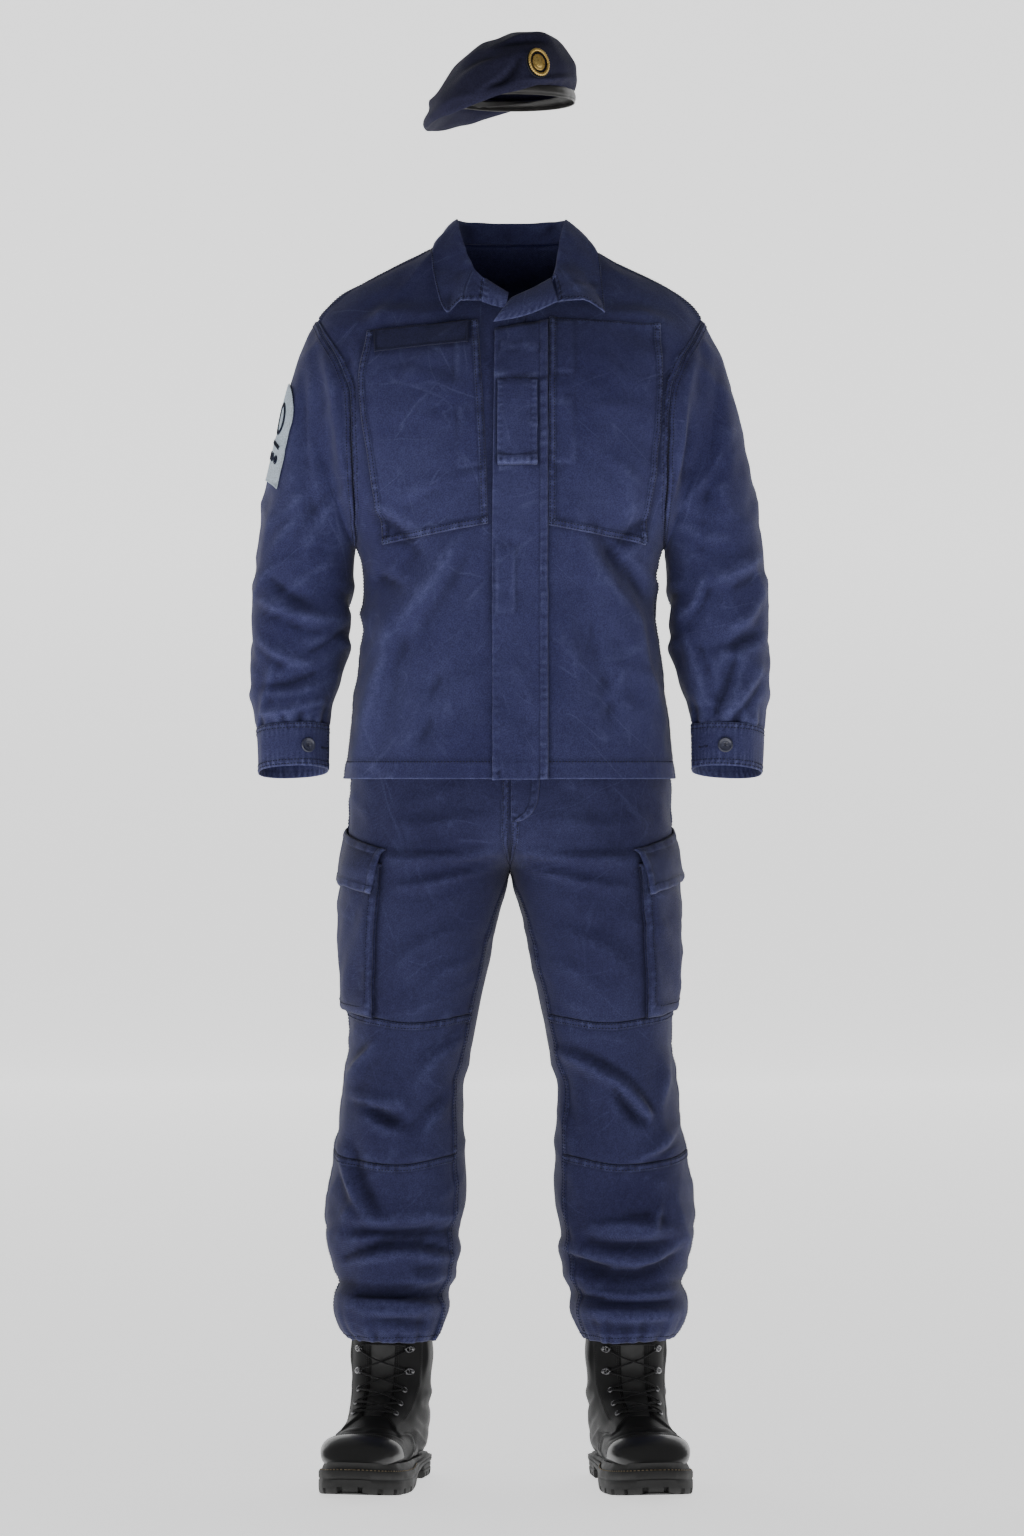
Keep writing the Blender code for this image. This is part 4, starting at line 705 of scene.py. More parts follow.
def armhole_loop(angle, side):
    """The jacket body's open edge that the sleeve is sewn to."""
    share = (1 + rounded(np.cos(np.radians(angle)), ARMHOLE_EXPONENT)) / 2
    height = ARMPIT_HEIGHT + share * (SHOULDER_HEIGHT - ARMPIT_HEIGHT)
    body_angle = armhole_angle(height)
    front_side = np.sin(np.radians(angle)) >= 0
    point = side_torso(side)(np.where(front_side, body_angle, 180 - body_angle), height)
    point[..., 0] += SEAM_GAP
    return point


def sleeve_for(side, folds, seed):
    def plain_sleeve(angle, station):
        section = section_between(SLEEVE, angle, station)
        share = np.clip(1 - np.asarray(station, dtype=float) / ARMHOLE_BLEND, 0, 1)
        share = (share * share * (3 - 2 * share))[..., None]
        loop = armhole_loop(np.broadcast_to(angle, section.shape[:-1]), side)
        drift = section - section_between(SLEEVE, angle, np.zeros_like(section[..., 0]))
        return section * (1 - share) + (loop + drift) * share
    return folded(plain_sleeve, folds, seed=seed, length=0.052, creases=SLEEVE_CREASES,
                  fade=lambda point, angle, station: smooth(np.asarray(station, dtype=float), 0.0, 0.5))


SLEEVE_CREASES = (((0.55, 0.35, 0.76), 0.050, 0.0024), ((0.85, 0.40, 0.35), 0.062, 0.0026),
                  ((0.30, -0.30, 0.90), 0.030, 0.0010))
sleeve_surface = {1: sleeve_for(1, SLEEVE_FOLDS_LEFT, 21), -1: sleeve_for(-1, SLEEVE_FOLDS_RIGHT, 22)}


def cuff(angle, station):
    return section_between(CUFF, angle, station)


# ---------------------------------------------------------------- trousers
LEG = Table("height outer inner front back exponent", [
    (0.1780, 0.2040, 0.0920, -0.072, 0.074, 2.1),
    (0.1950, 0.2175, 0.0830, -0.083, 0.086, 2.1),
    (0.2180, 0.2245, 0.0760, -0.090, 0.094, 2.1),
    (0.2340, 0.2240, 0.0770, -0.090, 0.095, 2.1),
    (0.2520, 0.2185, 0.0700, -0.084, 0.090, 2.1),
    (0.2710, 0.2230, 0.0675, -0.086, 0.092, 2.1),
    (0.2900, 0.2290, 0.0620, -0.091, 0.097, 2.1),
    (0.3150, 0.2345, 0.0615, -0.092, 0.099, 2.1),
    (0.3660, 0.2300, 0.0550, -0.090, 0.100, 2.1),
    (0.4040, 0.2235, 0.0565, -0.092, 0.098, 2.1),
    (0.4420, 0.2195, 0.0575, -0.094, 0.096, 2.1),
    (0.4990, 0.2100, 0.0600, -0.096, 0.094, 2.1),
    (0.5370, 0.2045, 0.0505, -0.097, 0.096, 2.1),
    (0.5750, 0.2040, 0.0430, -0.099, 0.100, 2.2),
    (0.6130, 0.2065, 0.0360, -0.103, 0.104, 2.2),
    (0.6500, 0.2080, 0.0270, -0.107, 0.109, 2.2),
    (0.6890, 0.2085, 0.0200, -0.111, 0.115, 2.2),
    (0.7270, 0.2075, 0.0100, -0.115, 0.122, 2.2),
    (0.7520, 0.2060, 0.0030, -0.117, 0.126, 2.2),
    (0.7720, 0.2050, 0.0000, -0.119, 0.129, 2.2),
    (0.7950, 0.2040, -0.0300, -0.121, 0.130, 2.2),
    (0.8150, 0.2040, -0.0750, -0.123, 0.130, 2.2),
    (0.8450, 0.2035, -0.1350, -0.125, 0.129, 2.3),
    (0.8800, 0.2020, -0.1750, -0.126, 0.126, 2.3),
    (0.9400, 0.1900, -0.1880, -0.124, 0.118, 2.3),
    (1.0400, 0.1620, -0.1620, -0.112, 0.104, 2.3),
])
CROTCH_HEIGHT = 0.772
WAIST_SEAM_HEIGHT = 1.000
WAIST_TOP_HEIGHT = 1.040
LEG_TOP_HEIGHT = 0.9995     # just under the waistband's seam
LEG_HEM_HEIGHT = 0.179
UPPER_KNEE_SEAM = 0.590
LOWER_KNEE_SEAM = 0.412
INSEAM_WRAP = Table("height degrees", [
    (0.178, 24.0), (0.300, 26.0), (0.420, 30.0), (0.560, 28.0), (0.700, 24.0), (0.750, 14.0), (0.772, 0.0),
    (1.040, 0.0),
])

LEG_SMALL = (small_creases(131, "front", 12, (0.06, 0.21), (0.21, 0.42), 8, size=0.0008)
             + small_creases(133, "front", 14, (0.02, 0.19), (0.60, 0.97), 40, size=0.0006)
             + small_creases(134, "back", 24, (0.04, 0.20), (0.21, 0.95), 25, size=0.0008))
LEG_FOLDS = seen_from("front", [
    (16, 798, 156, 789, -4, 9, 5.6), (22, 781, 140, 752, -4, 9, 4.6), (30, 842, 150, 830, -4, 13, 2.2),
    (60, 700, 150, 640, 10, 22, 3.4), (50, 660, 120, 610, 6, 14, 2.6),
]) + seen_from("back", [
    (70, 560, 190, 540, 6, 16, 8.5), (80, 520, 180, 500, 4, 16, -8.5), (190, 470, 90, 450, 4, 14, 5),
    (190, 400, 80, 360, 6, 18, 8), (75, 310, 200, 300, -6, 14, -9.5), (85, 250, 205, 256, -4, 12, -8),
    (85, 222, 200, 218, 3, 10, 4), (50, 760, 160, 730, 10, 18, -7), (30, 790, 110, 775, 4, 14, 4.5),
    (40, 720, 100, 640, 10, 16, 4),
]) + seen_from("outer", [
    (-60, 540, 60, 490, 8, 21, 2), (60, 470, -50, 430, 6, 20, -2), (-60, 330, 70, 318, -4, 18, -2.4),
    (-60, 252, 70, 254, -3, 15, -2.4),
]) + seen_from("inner", [
    (-60, 530, 60, 500, 8, 21, 1.8), (60, 300, -50, 310, -4, 18, -2.8), (-60, 250, 60, 248, -3, 15, -2.4),
])     # both legs
LEG_FOLDS_RIGHT = LEG_FOLDS + seen_from("front", [
    (174, 548, 216, 482, 4, 12, 7.5), (178, 474, 136, 456, 3, 11, -10.5), (205, 492, 140, 478, 4, 10, 5.5),
    (60, 560, 120, 500, 8, 18, 4.5), (80, 480, 110, 430, 6, 16, 4), (218, 430, 178, 338, 5, 11, 5.8),
    (196, 420, 168, 350, 5, 13, -5), (200, 334, 80, 334, 6, 12, 5), (196, 318, 76, 317, -4, 12, -9.5),
    (208, 284, 70, 292, -18, 13, -11), (190, 241, 80, 233, -4, 10, -11.5), (200, 224, 100, 218, 3, 10, 5),
    (185, 205, 105, 203, -2, 7, -4), (130, 256, 82, 262, 3, 9, 5.5),
]) + LEG_SMALL
LEG_FOLDS_LEFT = LEG_FOLDS + seen_from("front", [
    (56, 546, 156, 492, 6, 12, 6.8), (152, 496, 176, 452, 3, 10, 7), (134, 496, 176, 456, -4, 10, -10),
    (198, 565, 191, 480, 4, 10, 5), (208, 520, 212, 450, 3, 10, -4), (216, 452, 166, 414, 5, 11, 5.5),
    (62, 520, 74, 430, -6, 14, 4), (188, 352, 178, 322, 2, 9, 4), (104, 326, 200, 324, 4, 12, 5),
    (100, 309, 200, 307, -4, 12, -10), (62, 290, 150, 268, -6, 13, -11), (140, 268, 222, 292, -6, 12, -9),
    (85, 239, 220, 236, -8, 10, -11), (100, 221, 205, 219, 3, 10, 5), (100, 203, 190, 202, -2, 7, -4),
]) + LEG_SMALL


def plain_leg(angle, height):
    """A point of one leg: angle 0 is the front, 90 the outer side, -90 the inner."""
    outer, inner, front, back, exponent = LEG.read_all(height)
    across = rounded(np.sin(np.radians(angle)), exponent)
    forward = rounded(np.cos(np.radians(angle)), exponent)
    return stacked((outer + inner) / 2 + across * (outer - inner) / 2,
                   (front + back) / 2 - forward * (back - front) / 2, height)


def gathers(surface, seed):
    """The trouser leg is drawn in above the boot: short folds run up from its hem."""
    start = np.random.default_rng(seed).uniform(0, 6.28, 3)

    def with_gathers(angle, height):
        point = surface(angle, height)
        turn = np.radians(angle)
        wave = (np.sin(17 * turn + start[0] + 1.3 * np.sin(3 * turn + start[1]))
                + 0.6 * np.sin(29 * turn + start[2]))
        near_hem = 1 - smooth(np.asarray(height, dtype=float), 0.182, 0.235)
        return point + normal_of(surface, angle, height) * (0.0008 * wave * near_hem)[..., None]
    return with_gathers


def towards_middle_seam(point, angle, height):
    """Folds fade out at the seam between the two legs."""
    return np.where(point[..., 2] > CROTCH_HEIGHT - 0.03, smooth(np.abs(point[..., 0]), 0.001, 0.016), 1.0)


LEG_CREASES = (((0.30, 0.20, 0.93), 0.056, 0.0020), ((0.80, 0.35, 0.45), 0.070, 0.0022),
               ((0.35, 0.30, -0.88), 0.034, 0.0009))


def leg_for(folds, seed):
    return gathers(folded(plain_leg, folds, seed=seed, fade=towards_middle_seam, creases=LEG_CREASES), seed)


leg_surface = {1: leg_for(LEG_FOLDS_LEFT, 31), -1: leg_for(LEG_FOLDS_RIGHT, 32)}


def leg_angle(across, height):
    """The angle at which the front of the leg is this far from the body's middle."""
    outer, inner = LEG.read("outer", height), LEG.read("inner", height)
    share = np.clip((across - (outer + inner) / 2) / ((outer - inner) / 2), -1, 1)
    return np.sign(share) * np.degrees(np.arcsin(np.abs(share) ** (LEG.read("exponent", height) / 2)))


def leg_inner_edge(height):
    """The inseam below the crotch, and the middle seam above it."""
    height = np.asarray(height, dtype=float)
    return np.where(height > CROTCH_HEIGHT, leg_angle(SEAM_GAP, height),
                    -90 + INSEAM_WRAP.read("degrees", height))


def leg_back_inner_edge(height):
    height = np.asarray(height, dtype=float)
    return np.where(height > CROTCH_HEIGHT, 180 - leg_angle(SEAM_GAP, height),
                    270 + INSEAM_WRAP.read("degrees", height))


# ---------------------------------------------------------------- beret
BERET = Table("station right_x right_z left_x left_z middle_y half_depth exponent front_rise", [
    (0.0, 0.0810, 1.7550, -0.0730, 1.7550, 0.000, 0.0970, 2.1, 0.000),
    (1.0, 0.0835, 1.7640, -0.0890, 1.7255, 0.000, 0.1030, 2.1, 0.000),
    (2.0, 0.0850, 1.7730, -0.1060, 1.7085, 0.002, 0.1110, 2.2, 0.000),
    (3.0, 0.0845, 1.7860, -0.1105, 1.7165, 0.004, 0.1150, 2.2, 0.002),
    (4.0, 0.0750, 1.8040, -0.0930, 1.7500, 0.006, 0.1080, 2.2, 0.006),
    (5.0, 0.0600, 1.8210, -0.0690, 1.7860, 0.008, 0.0850, 2.2, 0.006),
    (6.0, 0.0430, 1.8290, -0.0430, 1.8080, 0.008, 0.0560, 2.1, 0.003),
    (7.0, 0.0230, 1.8310, -0.0120, 1.8240, 0.008, 0.0200, 2.0, 0.001),
])
BERET_BAND = Table("station right_x right_z left_x left_z middle_y half_depth exponent front_rise", [
    (0.0, 0.0815, 1.7415, -0.0735, 1.7415, 0.000, 0.0975, 2.1, 0.000),
    (1.0, 0.0810, 1.7545, -0.0730, 1.7545, 0.000, 0.0970, 2.1, 0.000),
])

# ---------------------------------------------------------------- boots
# instep and heel are the two ends of each section in the boot's own profile:
# forward from the ankle's axis, and up from the floor
BOOT = Table("station instep heel instep_z heel_z half_width exponent", [
    (0.0, 0.051, -0.056, 0.235, 0.235, 0.0480, 2.2),
    (1.0, 0.050, -0.055, 0.190, 0.190, 0.0472, 2.2),
    (2.0, 0.051, -0.055, 0.150, 0.145, 0.0468, 2.2),
    (3.0, 0.060, -0.060, 0.124, 0.100, 0.0470, 2.2),
    (4.0, 0.082, -0.066, 0.105, 0.058, 0.0465, 2.3),
    (5.0, 0.108, -0.056, 0.091, 0.0300, 0.0450, 2.4),
    (6.0, 0.132, 0.010, 0.081, 0.0265, 0.0455, 2.5),
    (7.0, 0.155, 0.080, 0.076, 0.0265, 0.0490, 2.5),
    (8.0, 0.176, 0.130, 0.073, 0.0280, 0.0500, 2.5),
    (9.0, 0.196, 0.170, 0.064, 0.0300, 0.0450, 2.4),
    (10.0, 0.208, 0.198, 0.050, 0.0340, 0.0300, 2.2),
    (10.6, 0.211, 0.207, 0.043, 0.0380, 0.0120, 2.0),
])
SOLE = Table("forward inner_side outer_side low high", [
    (-0.0740, 0.0150, 0.0150, 0.0200, 0.0262),
    (-0.0700, 0.0280, 0.0280, 0.0190, 0.0262),
    (-0.0550, 0.0400, 0.0400, 0.0180, 0.0262),
    (-0.0100, 0.0430, 0.0420, 0.0175, 0.0262),
    (0.0400, 0.0430, 0.0450, 0.0120, 0.0262),
    (0.0900, 0.0520, 0.0530, 0.0020, 0.0262),
    (0.1300, 0.0560, 0.0570, 0.0000, 0.0275),
    (0.1700, 0.0530, 0.0540, 0.0010, 0.0300),
    (0.2000, 0.0420, 0.0420, 0.0035, 0.0330),
    (0.2150, 0.0280, 0.0270, 0.0060, 0.0350),
    (0.2200, 0.0140, 0.0140, 0.0080, 0.0360),
])
HEEL = Table("forward inner_side outer_side low high", [
    (-0.0735, 0.0140, 0.0140, 0.0000, 0.0195),
    (-0.0690, 0.0270, 0.0270, 0.0000, 0.0185),
    (-0.0550, 0.0385, 0.0385, 0.0000, 0.0175),
    (-0.0080, 0.0400, 0.0400, 0.0000, 0.0170),
])
BOOT_PLACES = {"left": (0.1470, 9.0), "right": (-0.1500, 12.0)}  # ankle across, toe-out degrees
ANKLE_Y = 0.004


def boot_upper(angle, station):
    """A point of the upper in the boot's own frame: angle 0 is the instep, 180 the heel."""
    instep, heel, instep_z, heel_z, half_width, exponent = BOOT.read_all(station)
    forward_share = rounded(np.cos(np.radians(angle)), exponent)
    side_share = rounded(np.sin(np.radians(-np.asarray(angle, dtype=float))), exponent)
    forward = (instep + heel) / 2 + forward_share * (instep - heel) / 2
    up = (instep_z + heel_z) / 2 + forward_share * (instep_z - heel_z) / 2
    return stacked(side_share * half_width, -forward, up)


# ---------------------------------------------------------------- finishes
def add_node(tree, kind, inputs=None, **settings):
    """A node with these settings; an input is a value or another node's socket."""
    node = tree.nodes.new(kind)
    for name, value in settings.items():
        setattr(node, name, value)
    for name, value in (inputs or {}).items():
        if isinstance(value, bpy.types.NodeSocket):
            tree.links.new(value, node.inputs[name])
        else:
            node.inputs[name].default_value = value
    return node


class Group:
    """A shader node group: named values in, masks, colours and heights out."""

    def __init__(self, name, inputs, outputs):
        self.tree = bpy.data.node_groups.new(name, "ShaderNodeTree")
        for label, kind, value in inputs:
            socket = self.tree.interface.new_socket(label, in_out="INPUT", socket_type=kind)
            socket.default_value = value
        for label, kind in outputs:
            self.tree.interface.new_socket(label, in_out="OUTPUT", socket_type=kind)
        self.given = self.tree.nodes.new("NodeGroupInput").outputs
        self.end = self.tree.nodes.new("NodeGroupOutput")
        self.place = self.add("ShaderNodeTexCoord").outputs["Object"]

    def add(self, kind, inputs=None, **settings):
        return add_node(self.tree, kind, inputs, **settings)

    def put(self, label, socket):
        self.tree.links.new(socket, self.end.inputs[label])

    def maths(self, operation, first, second=0.0, clamp=False):
        return self.add("ShaderNodeMath", {0: first, 1: second}, operation=operation,
                        use_clamp=clamp).outputs[0]

    def times(self, first, second, clamp=False):
        return self.maths("MULTIPLY", first, second, clamp)

    def plus(self, first, second, clamp=False):
        return self.maths("ADD", first, second, clamp)

    def noise(self, place, scale, detail, **more):
        inputs = {"Vector": place, "Scale": scale, "Detail": detail, **more}
        return self.add("ShaderNodeTexNoise", inputs).outputs["Fac"]

    def ranged(self, value, low, high, to_low, to_high):
        """The value from low to high, as a value from to_low to to_high."""
        inputs = {"Value": value, "From Min": low, "From Max": high, "To Min": to_low, "To Max": to_high}
        return self.add("ShaderNodeMapRange", inputs).outputs["Result"]


FLOAT, COLOUR = "NodeSocketFloat", "NodeSocketColor"


def make_weave():
    """Diagonal twill lines over single threads, as a height and a mask."""
    group = Group("twill weave", [("Threads", FLOAT, 900.0)], [("Height", FLOAT), ("Mask", FLOAT)])

    def threads_along(way, pitch):
        run = group.add("ShaderNodeVectorMath", {0: group.place, 1: way}, operation="DOT_PRODUCT")
        finer = group.times(group.given["Threads"], pitch)
        return group.maths("SINE", group.times(run.outputs["Value"], finer))

    rib, single = threads_along((0.62, 0.55, 1.0), 4.2), threads_along((1.0, 1.0, -0.28), 7.3)
    fuzz = group.noise(group.place, 1600.0, 2.0)
    height = group.plus(group.plus(group.times(rib, 0.6), group.times(single, 0.3)), fuzz)
    group.put("Height", height)
    group.put("Mask", group.times(height, 0.5, clamp=True))
    return group.tree


# of each run of creases: its lean, the distance across and along it, and a line's width
CREASE_RUNS = ((0.32, 0.050, 0.30, 0.0120), (-0.75, 0.040, 0.20, 0.0110), (1.15, 0.060, 0.26, 0.0100))


def make_creases():
    """Thin faded lines where folded cloth has rubbed: long, and leaning outwards on both sides."""
    group = Group("faded creases", [("Amount", FLOAT, 0.5)], [("Mask", FLOAT)])
    part = group.add("ShaderNodeSeparateXYZ", {"Vector": group.place}).outputs
    side = group.maths("SIGN", part["X"])
    leaning = group.add("ShaderNodeCombineXYZ", {
        "X": group.maths("ABSOLUTE", part["X"]), "Y": group.plus(part["Y"], group.times(side, 0.35)),
        "Z": part["Z"]}).outputs["Vector"]
    total = None
    for lean, across, along, width in CREASE_RUNS:
        laid = group.add("ShaderNodeMapping", {"Vector": leaning, "Rotation": (0, lean, 0),
                                               "Location": (lean, 0, width), "Scale": (across, 0.12, along)},
                         vector_type="TEXTURE").outputs["Vector"]
        level = group.maths("SUBTRACT", group.noise(laid, 1.0, 1.5, Distortion=0.25), 0.5)
        line = group.ranged(group.maths("ABSOLUTE", level), 0.0, width, 1.0, 0.0)
        shown = group.ranged(group.noise(laid, 1.7, 1.0), 0.50, 0.66, 0.0, 1.0)
        run = group.times(line, shown)
        total = run if total is None else group.maths("MAXIMUM", total, run)
    group.put("Mask", group.times(total, group.given["Amount"], clamp=True))
    return group.tree


def make_cloth_colour():
    """Dyed cloth: uneven colour, faded creases, pale worn edges, a thread's flecks and painted shade."""
    group = Group("worn cloth with painted shade", [
        ("Dye", COLOUR, (0.04, 0.05, 0.12, 1)), ("Faded", COLOUR, (0.12, 0.14, 0.26, 1)),
        ("Wear", FLOAT, 0.0), ("PaintedShade", FLOAT, 0.0), ("Crease", FLOAT, 0.5), ("Threads", FLOAT, 900.0)],
        [("Color", COLOUR), ("Roughness", FLOAT), ("Height", FLOAT)])
    given = group.given
    patchy = group.noise(group.place, 7.0, 4.0, Roughness=0.55)
    fine = group.noise(group.place, 140.0, 3.0)
    grain = group.noise(group.place, 620.0, 1.0)
    weave = group.add("ShaderNodeGroup", {"Threads": given["Threads"]}, node_tree=weave_group).outputs
    creases = group.add("ShaderNodeGroup", {"Amount": given["Crease"]}, node_tree=crease_group).outputs
    rubbed = group.times(given["Wear"], group.ranged(fine, 0.36, 0.62, 0.45, 0.90))
    cloudy = group.ranged(patchy, 0.35, 0.70, 0.0, 0.24)
    fleck = group.ranged(fine, 0.35, 0.75, 0.0, 0.09)
    worn = group.maths("MAXIMUM", rubbed, creases["Mask"])
    amount = group.plus(worn, group.plus(cloudy, fleck), clamp=True)
    mixed = group.add("ShaderNodeMix", data_type="RGBA")
    for label, socket in (("Factor", amount), ("A", given["Dye"]), ("B", given["Faded"])):
        group.tree.links.new(socket, mixed.inputs[label])
    shade = group.ranged(weave["Mask"], 0.0, 1.0, 0.72, 1.12)
    speck = group.ranged(grain, 0.32, 0.68, 0.80, 1.22)
    # painted shade: the colour darkens to about half where the painted-shade input is full
    hollow = group.ranged(given["PaintedShade"], 0.0, 1.0, 1.0, 0.52)
    scale = group.times(group.times(shade, speck), hollow)
    tinted = group.add("ShaderNodeVectorMath", {0: mixed.outputs["Result"], "Scale": scale},
                       operation="SCALE")
    group.put("Color", tinted.outputs["Vector"])
    group.put("Roughness", group.plus(group.times(amount, 0.08), 0.82))
    group.put("Height", weave["Height"])
    return group.tree


def make_grain():
    """Fine pores and creases of leather or rubber, as a height and a mask."""
    group = Group("fine grain", [("Scale", FLOAT, 900.0), ("Cloud", FLOAT, 40.0)],
                  [("Height", FLOAT), ("Mask", FLOAT)])
    pores = group.add("ShaderNodeTexVoronoi", {"Vector": group.place, "Scale": group.given["Scale"]})
    cloud = group.noise(group.place, group.given["Cloud"], 5.0)
    group.put("Height", group.plus(pores.outputs["Distance"], cloud))
    group.put("Mask", cloud)
    return group.tree


weave_group, crease_group = make_weave(), make_creases()
cloth_group, grain_group = make_cloth_colour(), make_grain()


def blank_material(name, **sockets):
    """A material whose shader has these uniform values."""
    material = bpy.data.materials.new(name)
    material.use_nodes = True
    shader = material.node_tree.nodes["Principled BSDF"]
    for label, value in sockets.items():
        shader.inputs[label.replace("_", " ")].default_value = value
    return material, material.node_tree, shader


def wire(tree, shader, colour, roughness, height, strength, distance):
    """Join a finish's colour, roughness and height to its shader."""
    bump = add_node(tree, "ShaderNodeBump", {"Strength": strength, "Distance": distance, "Height": height})
    sockets = {"Base Color": colour, "Roughness": roughness, "Normal": bump.outputs["Normal"]}
    for label, socket in sockets.items():
        tree.links.new(socket, shader.inputs[label])


def cloth_material(name, dye, faded, crease=0.0, threads=900.0, depth=0.00022, sheen=0.12):
    """Dyed cloth that reads how worn each point is and how much painted shade it gets."""
    material, tree, shader = blank_material(name, Sheen_Weight=sheen, Sheen_Roughness=0.45, IOR=1.45,
                                            Specular_IOR_Level=0.22)
    wear, painted_shade = (add_node(tree, "ShaderNodeAttribute", attribute_name=label).outputs["Fac"]
                  for label in ("wear", "painted_shade"))
    inputs = {"Dye": (*dye, 1), "Faded": (*faded, 1), "Crease": crease, "Threads": threads, "Wear": wear,
              "PaintedShade": painted_shade}
    cloth = add_node(tree, "ShaderNodeGroup", inputs, node_tree=cloth_group).outputs
    wire(tree, shader, cloth["Color"], cloth["Roughness"], cloth["Height"], 0.5, depth)
    return material


def grained_material(name, dark, light, rough_low, rough_high, scale=900.0, cloud=40.0, depth=0.0002,
                     coat=0.0, metallic=0.0, gleam=0.5):
    """Leather, rubber, plastic or metal: two tones, uneven gloss and a fine grain."""
    material, tree, shader = blank_material(name, Metallic=metallic, Coat_Weight=coat, Coat_Roughness=0.12,
                                            Specular_IOR_Level=gleam)
    grain = add_node(tree, "ShaderNodeGroup", {"Scale": scale, "Cloud": cloud}, node_tree=grain_group).outputs
    tone = add_node(tree, "ShaderNodeMix", data_type="RGBA")
    tone.inputs["A"].default_value, tone.inputs["B"].default_value = (*dark, 1), (*light, 1)
    tree.links.new(grain["Mask"], tone.inputs["Factor"])
    gloss = add_node(tree, "ShaderNodeMapRange", {"Value": grain["Mask"], "From Min": 0.3, "From Max": 0.7,
                                                  "To Min": rough_low, "To Max": rough_high})
    wire(tree, shader, tone.outputs["Result"], gloss.outputs["Result"], grain["Height"], 0.4, depth)
    return material


NAVY = (0.0340, 0.0350, 0.1160)
NAVY_FADED = (0.116, 0.127, 0.290)
TROUSER_NAVY = (0.0245, 0.0248, 0.0820)
TROUSER_FADED = (0.088, 0.096, 0.230)

jacket_twill = cloth_material("jacket twill", NAVY, NAVY_FADED, crease=0.30)
patch_twill = cloth_material("patch twill", (0.0375, 0.0388, 0.1240), NAVY_FADED, crease=0.26)
trouser_twill = cloth_material("trouser twill", TROUSER_NAVY, TROUSER_FADED, crease=0.22)
tape_cloth = cloth_material("tape cloth", (0.0250, 0.0262, 0.0800), (0.060, 0.066, 0.150), threads=1500.0)
badge_cloth = cloth_material("pale badge cloth", (0.66, 0.78, 0.92), (0.80, 0.90, 0.98), threads=1300.0,
                             sheen=0.05)
badge_thread = cloth_material("badge thread", (0.012, 0.016, 0.045), (0.03, 0.04, 0.09), threads=2200.0)
# the stitch thread is a real dark thread, dyed darker than the cloth so that each stitch also reads as a
# painted shadow in its pit
dark_thread_as_pit_shade = cloth_material("navy thread", (0.0105, 0.0115, 0.0360), (0.024, 0.027, 0.070), threads=3000.0)
beret_felt = cloth_material("beret felt", (0.0205, 0.0200, 0.0500), (0.040, 0.039, 0.086), threads=3400.0,
                            depth=0.0001, sheen=0.02)
beret_leather = grained_material("band leather", (0.012, 0.012, 0.012), (0.034, 0.032, 0.030), 0.34, 0.50,
                                 coat=0.08)
badge_felt = cloth_material("badge felt", (0.006, 0.007, 0.012), (0.02, 0.02, 0.03), threads=3000.0)
gold = grained_material("gilt metal", (0.62, 0.40, 0.10), (0.86, 0.62, 0.22), 0.22, 0.42, scale=2400.0,
                        cloud=300.0, metallic=1.0)
button_plastic = grained_material("navy button", (0.026, 0.029, 0.056), (0.046, 0.050, 0.088), 0.24, 0.40,
                                  scale=1500.0, cloud=200.0, coat=0.60)
boot_leather = grained_material("polished leather", (0.0150, 0.0150, 0.0152), (0.0340, 0.0340, 0.0344), 0.36,
                                0.54, scale=1100.0, cloud=26.0, gleam=0.07)
cap_leather = grained_material("cap leather", (0.0120, 0.0120, 0.0122), (0.0230, 0.0230, 0.0233), 0.32, 0.44,
                               scale=1500.0, cloud=18.0, coat=0.42, depth=0.0001, gleam=0.34)
tongue_leather = grained_material("tongue leather", (0.026, 0.026, 0.026), (0.046, 0.046, 0.046), 0.40, 0.60,
                                  scale=800.0)
boot_rubber = grained_material("sole rubber", (0.014, 0.014, 0.014), (0.030, 0.030, 0.029), 0.55, 0.78,
                               scale=600.0, cloud=60.0, depth=0.0003)
welt_thread = grained_material("welt thread", (0.26, 0.20, 0.12), (0.42, 0.34, 0.22), 0.6, 0.8, scale=3000.0)
boot_thread = grained_material("boot thread", (0.016, 0.016, 0.016), (0.035, 0.035, 0.035), 0.5, 0.7,
                               scale=3000.0)
lace_cord = cloth_material("lace cord", (0.014, 0.014, 0.015), (0.040, 0.040, 0.042), threads=4200.0,
                           depth=0.0004)
eyelet_steel = grained_material("eyelet steel", (0.17, 0.17, 0.18), (0.34, 0.34, 0.35), 0.22, 0.40,
                                scale=2500.0, cloud=300.0, metallic=1.0)


# ---------------------------------------------------------------- jacket pieces
jacket_stitches = Stitching()


def rows_between(low, high, seam_low=True, seam_high=True, coarse=GRID):
    """Heights of a panel's rows, close together beside its seams."""
    return low + (high - low) * near_edges(high - low, seam_low, seam_high, coarse)


def cloth_piece(panel, material, slot, node, wall=CLOTH, outward=False, flipped=False):
    """Make a panel into a finished piece of cloth."""
    piece = panel.piece()
    if flipped:
        piece.data.flip_normals()
    finished(piece, material, slot, node, wall=wall, outward=outward)


def stitch_edge(panel, stitching, edge, distances, above=0.0):
    """Rows of stitches along an edge, at these distances from it and above this height."""
    for distance in distances:
        points, normals = panel.inset(edge, distance)
        chosen = points[:, 2] > above
        stitching.row((points[chosen], normals[chosen]))




def outline_of(table, side=1, count=9):
    """The outline of a patch as (across, height) places, from its table's two long edges."""
    x0, z0, x1, z1 = table.read_all(np.linspace(0, 1, count))
    return [(side * x, z) for x, z in zip(np.concatenate((x0, x1[::-1])), np.concatenate((z0, z1[::-1])))]


